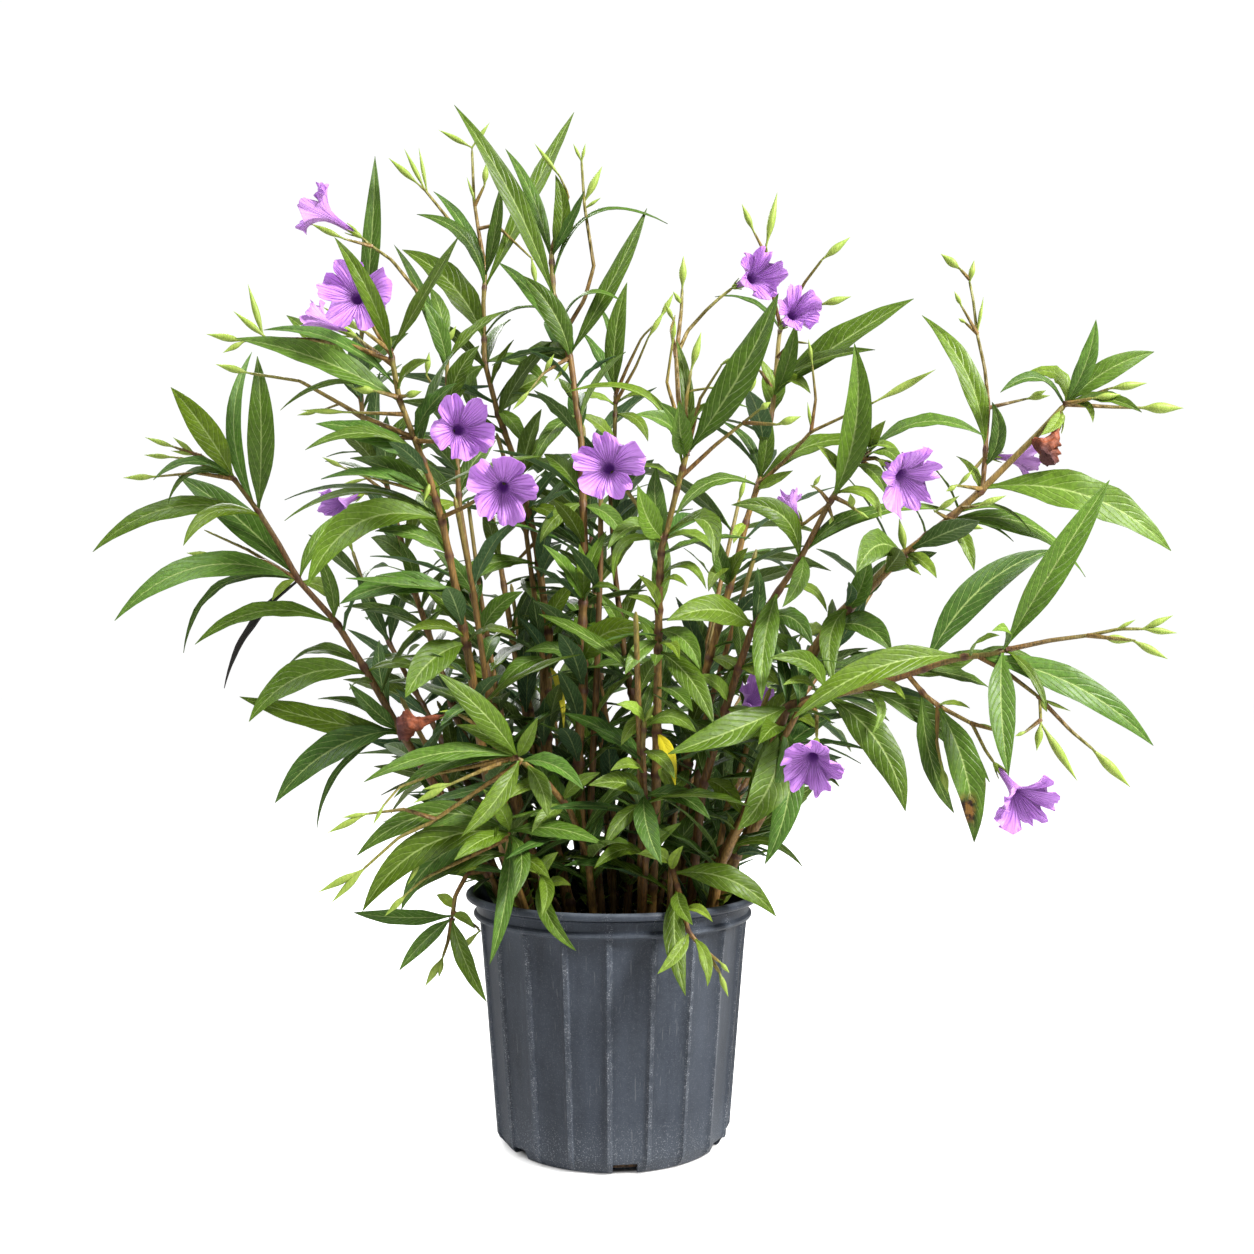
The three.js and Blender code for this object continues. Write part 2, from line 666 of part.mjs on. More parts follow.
const GAPS = [
  [96, 634, 18], [104, 596, 14], [72, 532, 16], [24, 545, 12], [188, 520, 20], [226, 560, 14],
  [-184, 562, 12], [-94, 566, 12], [-200, 622, 10], [10, 418, 9], [-110, 500, 8], [-224, 408, 12],
  [-178, 408, 10], [-245, 570, 8], [-60, 660, 8], [-96, 668, 9], [28, 505, 8], [196, 592, 10],
];

// Readings
const wasm = await Module();
wasm.setup();
const { degToRad, lerp } = THREE.MathUtils;

// A point from where it is seen in the plane through the axis, and how much nearer it is.
function seen(across, up, nearer) {
  const scale = (EYE_DISTANCE - nearer) / EYE_DISTANCE;
  return new THREE.Vector3(across * scale, -nearer, EYE_HEIGHT + (up - EYE_HEIGHT) * scale);
}

// Where a point is seen in that plane.
function sight(point) {
  const scale = EYE_DISTANCE / (EYE_DISTANCE + point.y);
  return [point.x * scale, EYE_HEIGHT + (point.z - EYE_HEIGHT) * scale];
}

// A repeatable number from 0 to 1.
function chance(seed) {
  const x = Math.sin(seed * 12.9898) * 43758.5453;
  return x - Math.floor(x);
}

// Solids
function solidOf(geometry) {
  const bare = geometry.clone();
  bare.deleteAttribute("normal");
  bare.deleteAttribute("uv");
  const merged = mergeVertices(bare, 1e-4);
  return new wasm.Manifold(
    new wasm.Mesh({
      numProp: 3,
      vertProperties: new Float32Array(merged.attributes.position.array),
      triVerts: new Uint32Array(merged.index.array),
    }),
  );
}

function meshOf(name, solid, color, roughness) {
  const made = solid.getMesh();
  const geometry = new THREE.BufferGeometry();
  geometry.setAttribute("position", new THREE.BufferAttribute(Float32Array.from(made.vertProperties), 3));
  geometry.setIndex(new THREE.BufferAttribute(Uint32Array.from(made.triVerts), 1));
  geometry.computeVertexNormals();
  const mesh = new THREE.Mesh(geometry, new THREE.MeshStandardMaterial({ color, roughness, metalness: 0 }));
  mesh.name = name;
  return mesh;
}

// A closed body made of a ball: each row of the ball's points is moved to one ring of the body,
// and its poles to the two ends.
function bodySolid(start, rings, end) {
  const sides = rings[0].length;
  const ball = new THREE.SphereGeometry(1, sides, rings.length + 1);
  const spots = ball.attributes.position;
  const rows = [Array(sides).fill(start), ...rings, Array(sides).fill(end)];
  for (let i = 0; i < spots.count; i++) {
    const row = Math.floor(i / (sides + 1));
    const column = (i % (sides + 1)) % sides;
    spots.setXYZ(i, ...rows[row][column]);
  }
  const solid = solidOf(ball);
  if (solid.volume() <= 0) throw new Error("a body is inside out");
  return solid;
}

// A ring of points about a center, turning from the first direction to the second.
function ringAbout(center, [side, front], radii) {
  return radii.map((radius, k) => {
    const angle = (k / radii.length) * 2 * Math.PI;
    return center.clone()
      .addScaledVector(side, radius * Math.cos(angle))
      .addScaledVector(front, radius * Math.sin(angle));
  });
}

// Two directions square to a given one.
function squareTo(along) {
  const side = new THREE.Vector3(0.25, 1, 0.35).cross(along).normalize();
  return [side, new THREE.Vector3().crossVectors(side, along)];
}

// Pot and soil
function potProfile() {
  const collarFoot = POT_HEIGHT - COLLAR_HEIGHT;
  return [
    [0, 0],
    [BASE_RADIUS, 0],
    [BODY_FOOT_RADIUS, FOOT_BEVEL],
    [BODY_TOP_RADIUS, collarFoot],
    [COLLAR_RADIUS, collarFoot + 3],
    [COLLAR_RADIUS + 1, POT_HEIGHT - LIP_HEIGHT - 1.5],
    [LIP_RADIUS - 2, POT_HEIGHT - LIP_HEIGHT],
    [LIP_RADIUS, POT_HEIGHT - LIP_HEIGHT / 2],
    [LIP_RADIUS - 4, POT_HEIGHT],
    [BODY_TOP_RADIUS - WALL, collarFoot],
    [BASE_RADIUS - 1, FLOOR],
    [0, FLOOR],
  ].map(([radius, height]) => new THREE.Vector2(radius, height));
}

// The wall is made of flat panels with a narrow raised ridge between them: of each three columns
// of points, the first is a ridge's crest and the others are the edges of a panel.
function makePot() {
  const profile = potProfile();
  const turned = new THREE.LatheGeometry(profile, 3 * PANELS);
  const spots = turned.attributes.position;
  const pitch = 360 / PANELS;
  const columns = [0, RIDGE_HALF_ANGLE, pitch - RIDGE_HALF_ANGLE];
  for (let i = 0; i < spots.count; i++) {
    const row = i % profile.length;
    const column = Math.floor(i / profile.length) % (3 * PANELS);
    const onCrest = column % 3 === 0 && (row === 2 || row === 3);
    const radius = profile[row].x + (onCrest ? RIDGE_HEIGHT : 0);
    const angle = degToRad(FIRST_RIDGE + Math.floor(column / 3) * pitch + columns[column % 3]);
    spots.setXYZ(i, radius * Math.cos(angle), radius * Math.sin(angle), profile[row].y);
  }
  let pot = solidOf(turned);
  for (let i = 0; i < DRAINS; i++) {
    const notch = new THREE.BoxGeometry(30, DRAIN_WIDTH, 2 * DRAIN_HEIGHT);
    notch.translate(BODY_FOOT_RADIUS, 0, 0);
    notch.rotateZ(degToRad(FIRST_DRAIN + (i * 360) / DRAINS));
    pot = pot.subtract(solidOf(notch));
  }
  return pot;
}

// The soil fills the pot in flat sides like the pot's own, and the stems stand in its holes.
function makeSoil() {
  const footRadius = BASE_RADIUS - 1;
  const slope = (BODY_TOP_RADIUS - WALL - footRadius) / (POT_HEIGHT - COLLAR_HEIGHT - FLOOR);
  const edgeHeight = SOIL_TOP - SOIL_CROWN;
  const edgeRadius = footRadius + slope * (edgeHeight - FLOOR) - 3 * GAP;
  const profile = [
    [0, FLOOR + GAP],
    [footRadius - 3 * GAP, FLOOR + GAP],
    [edgeRadius, edgeHeight],
    [edgeRadius - SOIL_SHOULDER, SOIL_TOP],
    [0, SOIL_TOP],
  ].map(([radius, height]) => new THREE.Vector2(radius, height));
  const turned = new THREE.LatheGeometry(profile, PANELS);
  turned.rotateX(Math.PI / 2);
  turned.rotateZ(degToRad(FIRST_RIDGE));
  let soil = solidOf(turned);
  for (const { foot, thick } of SHOOTS) {
    const radius = (thick[0] + GAP) / Math.cos(Math.PI / 5);
    const hole = new THREE.CylinderGeometry(radius, radius, 2 * HOLE_DEPTH, 5);
    hole.rotateX(Math.PI / 2);
    hole.translate(foot[0], -foot[1], SOIL_TOP);
    soil = soil.subtract(solidOf(hole));
  }
  return soil;
}

// Limbs and buds
function lineThrough(points) {
  const line = new THREE.CurvePath();
  for (let i = 1; i < points.length; i++) line.add(new THREE.LineCurve3(points[i - 1], points[i]));
  return line;
}

// A limb through the given points, its radius going from one value to the other.
function limbSolid(points, radii, sides) {
  const lengths = [0, ...lineThrough(points).getCurveLengths()];
  const rings = points.map((point, i) => {
    const before = points[Math.max(0, i - 1)];
    const after = points[Math.min(points.length - 1, i + 1)];
    const radius = lerp(radii[0], radii[1], lengths[i] / lengths.at(-1));
    return ringAbout(point, squareTo(after.clone().sub(before).normalize()), Array(sides).fill(radius));
  });
  return bodySolid(points[0], rings, points.at(-1));
}

// A spindle with the given radii at the given shares of its length.
function spindleSolid(start, tip, sides, plan) {
  const square = squareTo(tip.clone().sub(start).normalize());
  const rings = plan.map(([share, radius]) =>
    ringAbout(start.clone().lerp(tip, share), square, Array(sides).fill(radius)),
  );
  return bodySolid(start, rings, tip);
}

// Leaves
// The side of a chord that a face looks to, square to the chord.
function outFrom(chord, face) {
  const along = chord.clone().normalize();
  return face.clone().addScaledVector(along, -face.dot(along)).normalize();
}

// The middle line of a leaf, bowed as seen from the front and arched to the side it faces.
function leafLine(start, tip, bow, face) {
  const chord = tip.clone().sub(start);
  const upward = new THREE.Vector3(-chord.z, 0, chord.x).normalize();
  if (upward.z + 0.2 * upward.x < 0) upward.negate();
  const middle = start.clone().lerp(tip, 0.5);
  middle.addScaledVector(upward, 2 * bow);
  middle.addScaledVector(outFrom(chord, face), BLADE_ARCH * chord.length());
  return new THREE.QuadraticBezierCurve3(start, middle, tip);
}

// A blade with a keel along the middle of its underside, thicker all round where it grows.
function bladeSolid({ start, tip, width, bow, face, plan }, grow = 0) {
  const line = leafLine(start, tip, bow, face);
  const out = outFrom(tip.clone().sub(start), face);
  const rings = plan.map(([share, breadth]) => {
    const spot = line.getPoint(share);
    const side = new THREE.Vector3().crossVectors(line.getTangent(share), out).normalize();
    const half = (breadth * width) / 2 + 2 * grow;
    return [
      spot.clone().addScaledVector(side, -half).addScaledVector(out, grow),
      spot.clone().addScaledVector(out, -BLADE_THICKNESS - grow),
      spot.clone().addScaledVector(side, half).addScaledVector(out, grow),
    ];
  });
  const end = tip.clone().addScaledVector(line.getTangent(1), grow);
  return bodySolid(start, rings, end);
}

// Blooms
// Five broad lobes on a slim funnel, as one thin sheet whose inner rings lie in its throat.
function bloomSolid({ base, mouth, spread, turn }) {
  const start = seen(...base);
  const end = seen(...mouth);
  const along = end.clone().sub(start).normalize();
  const square = squareTo(along).map((way) => way.applyAxisAngle(along, degToRad(turn)));
  const half = spread / 2;
  const ring = (share, lobe, notch) => {
    const radii = Array.from({ length: 15 }, (_, k) => (k % 3 ? lobe : notch));
    return ringAbout(start.clone().lerp(end, share), square, radii);
  };
  const rings = [
    ring(0.45, TUBE_RADIUS, TUBE_RADIUS),
    ring(0.82, 0.62 * half, 0.56 * half),
    ring(1, half, 0.8 * half),
    ring(0.8, 0.34 * half, 0.34 * half),
  ];
  return bodySolid(start.clone().addScaledVector(along, GAP), rings, start.clone().lerp(end, 0.5));
}

function driedSolid({ base, tip, width }) {
  const start = seen(...base);
  const end = seen(...tip);
  const plan = [[0.12, 0.1 * width], [0.6, 0.45 * width], [0.9, 0.36 * width]];
  return spindleSolid(start.clone().lerp(end, GAP / start.distanceTo(end)), end, 7, plan);
}

// Growing
const placed = [];

function place(owner, solid) {
  placed.push({ owner, solid, box: solid.boundingBox() });
}

function boxesMeet(a, b) {
  return [0, 1, 2].every((k) => a.min[k] <= b.max[k] && b.min[k] <= a.max[k]);
}

function isClear(owner, solid) {
  const box = solid.boundingBox();
  const others = placed.filter((other) => other.owner !== owner && boxesMeet(box, other.box));
  return others.every((other) => solid.intersect(other.solid).isEmpty());
}

// A shoot keeps points all along its limbs, so that what grows on it finds its root.
function addLimb(shoot, points, radii, sides) {
  const line = lineThrough(points);
  const count = Math.max(4, Math.ceil(line.getLength() / 3));
  for (let i = 0; i <= count; i++) {
    const point = line.getPoint(i / count);
    shoot.roots.push({ point, sight: sight(point), radius: lerp(radii[0], radii[1], i / count) });
  }
  place(shoot.name, limbSolid(points, radii, sides));
  return line;
}

function rootOn(shoot, across, up) {
  const away = (root) => Math.hypot(root.sight[0] - across, root.sight[1] - up);
  return shoot.roots.reduce((best, root) => (away(root) < away(best) ? root : best));
}

// What grows out of a limb starts on the far side of it, so that its neck is sunk well in.
function rootBehind(point, tip, depth) {
  return point.clone().addScaledVector(tip.clone().sub(point).normalize(), -depth);
}

function growStem(shoot) {
  const [across, nearer] = shoot.foot;
  const rises = [GAP - HOLE_DEPTH, STEM_RISE];
  const points = rises.map((rise) => new THREE.Vector3(across, -nearer, SOIL_TOP + rise));
  points.push(...shoot.path.map((row) => seen(...row)));
  shoot.roots = [];
  shoot.line = addLimb(shoot, points, shoot.thick, 4);
}

function growTwig(shoot, root, points, tipRadius) {
  const start = rootBehind(root.point, points[0], 0.4 * root.radius);
  addLimb(shoot, [start, ...points], [Math.min(TWIG_ROOT_RADIUS, root.radius), tipRadius], 3);
}

function growReadTwig(shoot, [nearer, across, up, ...readings]) {
  const root = rootOn(shoot, across, up);
  const count = readings.length / 2;
  const points = Array.from({ length: count }, (_, i) =>
    seen(readings[2 * i], readings[2 * i + 1], (nearer * (i + 1)) / count - root.point.y),
  );
  growTwig(shoot, root, points, TWIG_TIP_RADIUS);
}

function growBud(shoot, [across, up, tipAcross, tipUp, width]) {
  const root = rootOn(shoot, across, up);
  const tip = seen(tipAcross, tipUp, 4 - root.point.y);
  place(shoot.name, spindleSolid(rootBehind(root.point, tip, 1.2), tip, 4, [[0.45, width / 2]]));
}

function growLeaf(shoot, [across, up, tipAcross, tipUp, nearer, width, bow, faceAngle]) {
  const root = rootOn(shoot, across, up);
  const turn = degToRad(faceAngle);
  const face = new THREE.Vector3(0, -Math.cos(turn), Math.sin(turn));
  for (const step of DEPTH_STEPS) {
    const tip = seen(tipAcross, tipUp, nearer + step - root.point.y);
    const start = rootBehind(root.point, tip, 0.6 * root.radius);
    const isShort = start.distanceTo(tip) < SHORT_BLADE && Math.abs(bow) < STRAIGHT_BLADE;
    const blade = { start, tip, width, bow, face, plan: isShort ? SHORT_BLADE_PLAN : LONG_BLADE_PLAN };
    if (!isClear(shoot.name, bladeSolid(blade, GAP))) continue;
    place(shoot.name, bladeSolid(blade));
    return;
  }
}

function isInBush([across, up]) {
  const crossings = OUTLINE.filter(([x1, y1], i) => {
    const [x2, y2] = OUTLINE[(i + 1) % OUTLINE.length];
    return y1 > up !== y2 > up && across < x1 + ((up - y1) / (y2 - y1)) * (x2 - x1);
  });
  const inGap = GAPS.some(([x, y, radius]) => Math.hypot(x - across, y - up) < radius);
  return crossings.length % 2 === 1 && !inGap;
}

// A filling leaf stands out from its stem at the given turn about it, rises and droops at its tip.
function fillBlade(shoot, share, turn, lean, length) {
  const root = shoot.line.getPoint(share);
  const up = shoot.line.getTangent(share);
  const across = new THREE.Vector3().crossVectors(up, new THREE.Vector3(0, 1, 0)).normalize();
  const toward = new THREE.Vector3().crossVectors(up, across);
  const tip = root.clone()
    .addScaledVector(up, length * Math.cos(lean))
    .addScaledVector(across, length * Math.sin(lean) * Math.cos(turn))
    .addScaledVector(toward, length * Math.sin(lean) * Math.sin(turn));
  const face = outFrom(tip.clone().sub(root), up);
  tip.z -= FILL_DROOP * length;
  const start = rootBehind(root, tip, 0.6 * lerp(...shoot.thick, share));
  return { start, tip, width: FILL_BREADTH * length, bow: 0, face, plan: SHORT_BLADE_PLAN };
}

// Filling leaves stand in opposite pairs, each pair a quarter turn on from the last.
function growFill(shoot, number) {
  const [from, to, first] = shoot.fill;
  const pairs = Math.round((shoot.line.getLength() * (to - from)) / FILL_SPACING);
  for (let k = 0; k < 2 * pairs; k++) {
    const pair = Math.floor(k / 2);
    const seed = number * 100 + k;
    const share = from + ((to - from) * (pair + 0.5)) / pairs;
    const turn = first + pair * 90 + (k % 2) * 180 + lerp(-15, 15, chance(seed));
    const lean = degToRad(lerp(...FILL_LEANS, chance(seed + 0.7)));
    const length = lerp(...FILL_LENGTHS, chance(seed + 0.3));
    for (const [turnStep, shorter] of FILL_STEPS) {
      const blade = fillBlade(shoot, share, degToRad(turn + turnStep), lean, length * shorter);
      const line = leafLine(blade.start, blade.tip, 0, blade.face);
      const inBush = [0.4, 0.7, 0.86, 1].every((part) => isInBush(sight(line.getPoint(part))));
      if (!inBush || !isClear(shoot.name, bladeSolid(blade, GAP))) continue;
      place(shoot.name, bladeSolid(blade));
      break;
    }
  }
}

// The stalk of a bloom ends in a green cup, and the bloom stands a hair off the cup.
function growCup(shoot, [across, up, ...readings], end, onward) {
  const away = onward.clone().sub(end).normalize();
  const cupFoot = end.clone().addScaledVector(away, -CUP_LENGTH);
  const root = rootOn(shoot, across, up);
  const count = readings.length / 2;
  const points = Array.from({ length: count }, (_, i) => {
    const nearer = lerp(-root.point.y, -cupFoot.y, (i + 1) / (count + 1));
    return seen(readings[2 * i], readings[2 * i + 1], nearer);
  });
  growTwig(shoot, root, [...points, cupFoot.clone().addScaledVector(away, 2)], 1.2);
  place(shoot.name, spindleSolid(cupFoot, end, 4, [[0.45, CUP_RADIUS], [0.999, 2]]));
}

// Assembly
const pot = makePot();
const soil = makeSoil();
place("pot", pot);
place("soil", soil);
SHOOTS.forEach(growStem);

const flowers = [
  ...BLOOMS.map((bloom, i) => ({
    ...bloom,
    name: "bloom_" + String(i + 1).padStart(2, "0"),
    tip: bloom.mouth,
    solid: bloomSolid(bloom),
    color: COLORS.petals,
  })),
  ...DRIED.map((bloom) => ({ ...bloom, solid: driedSolid(bloom), color: COLORS.dried })),
];
for (const { name, on, stalk, base, tip, solid } of flowers) {
  const shoot = SHOOTS.find((one) => one.name === on);
  growCup(shoot, stalk, seen(...base), seen(...tip));
  place(name, solid);
}
for (const shoot of SHOOTS) {
  shoot.twigs.forEach((row) => growReadTwig(shoot, row));
  shoot.buds.forEach((row) => growBud(shoot, row));
}
for (const shoot of SHOOTS) shoot.leaves.forEach((row) => growLeaf(shoot, row));
SHOOTS.forEach((shoot, number) => {
  if (shoot.fill) growFill(shoot, number);
});

// The pieces of a shoot as one body. Where limbs cross they can shut in a sliver of empty space,
// and only the outer surface is kept.
function joined(name) {
  const parts = placed.filter(({ owner }) => owner === name).map(({ solid }) => solid);
  const bodies = wasm.Manifold.union(parts).decompose().filter((body) => body.volume() > 0);
  if (bodies.length !== 1) throw new Error(name + " has a loose piece");
  return bodies[0];
}

const plant = new THREE.Group();
plant.add(meshOf("pot", pot, COLORS.pot, 0.55));
plant.add(meshOf("soil", soil, COLORS.soil, 0.95));
for (const { name } of SHOOTS) plant.add(meshOf(name, joined(name), COLORS.leaves, 0.6));
for (const { name, solid, color } of flowers) plant.add(meshOf(name, solid, color, 0.6));

export default plant;
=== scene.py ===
# %% [markdown]
# # A flowering ruellia in its nursery pot
#
# This notebook dresses the solids of a potted Mexican petunia. The solids say where every stem,
# leaf and bloom is; here each of them gets its fine shape and its finish. Lengths are in
# millimetres until a mesh is written, and then in Blender's metres.

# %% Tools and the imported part
import math

import bmesh
import bpy
import numpy as np
from mathutils import Matrix, Vector, kdtree, noise


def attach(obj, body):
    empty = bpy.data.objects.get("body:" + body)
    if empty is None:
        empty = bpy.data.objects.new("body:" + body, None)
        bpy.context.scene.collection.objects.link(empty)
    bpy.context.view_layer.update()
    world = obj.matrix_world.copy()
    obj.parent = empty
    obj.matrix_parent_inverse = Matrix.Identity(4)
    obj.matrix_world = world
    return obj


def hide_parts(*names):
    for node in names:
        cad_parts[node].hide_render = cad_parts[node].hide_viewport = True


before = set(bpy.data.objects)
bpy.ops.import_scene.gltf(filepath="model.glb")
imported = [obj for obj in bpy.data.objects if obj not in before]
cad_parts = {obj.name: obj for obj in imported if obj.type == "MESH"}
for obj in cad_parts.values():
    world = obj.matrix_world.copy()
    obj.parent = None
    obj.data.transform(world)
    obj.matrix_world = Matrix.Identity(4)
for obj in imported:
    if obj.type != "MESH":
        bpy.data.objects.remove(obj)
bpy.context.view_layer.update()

MM = 0.001
EYE_DISTANCE = 1250
EYE_HEIGHT = 435


# %% [markdown]
# ## Where things are seen
#
# The plant was read from the front, so a place is given by how far across and how far up it is
# seen in the upright plane through the pot's axis, and by how much nearer than that plane it is.
# Two small functions turn such a reading into a point in space and back.


# %% From a reading to a point
def seen(across, up, nearer):
    scale = (EYE_DISTANCE - nearer) / EYE_DISTANCE
    return np.array((across * scale, -nearer, EYE_HEIGHT + (up - EYE_HEIGHT) * scale))


def sight(point):
    scale = EYE_DISTANCE / (EYE_DISTANCE + point[1])
    return point[0] * scale, EYE_HEIGHT + (point[2] - EYE_HEIGHT) * scale


def unit(way):
    return way / np.linalg.norm(way)


def lerp(a, b, share):
    return a + (b - a) * share


def chance(seed):
    """A number from 0 to 1 that is the same in every run."""
    x = math.sin(seed * 12.9898) * 43758.5453
    return x - math.floor(x)


print("the eye is", EYE_DISTANCE, "mm from the pot's axis and", EYE_HEIGHT, "mm up")

# %% [markdown]
# ## What the plant is made of
#
# Each shoot is a stem with side twigs, buds and leaves. Its foot is the spot where it leaves the
# soil, thick gives its first and last radius, and fill says from where to where it bears filling
# leaves and which way the first pair points. A path is a list of readings from the soil to the
# tip. A twig says how much nearer its far end is and then where it runs, a bud where it starts and
# ends and how wide it is, and a leaf where it starts and ends, how much nearer its tip is, its
# width, its bow, and how far its upper face is turned up. A table of numbers is the plainest way
# to keep so many small facts, and it lets one function grow every leaf.

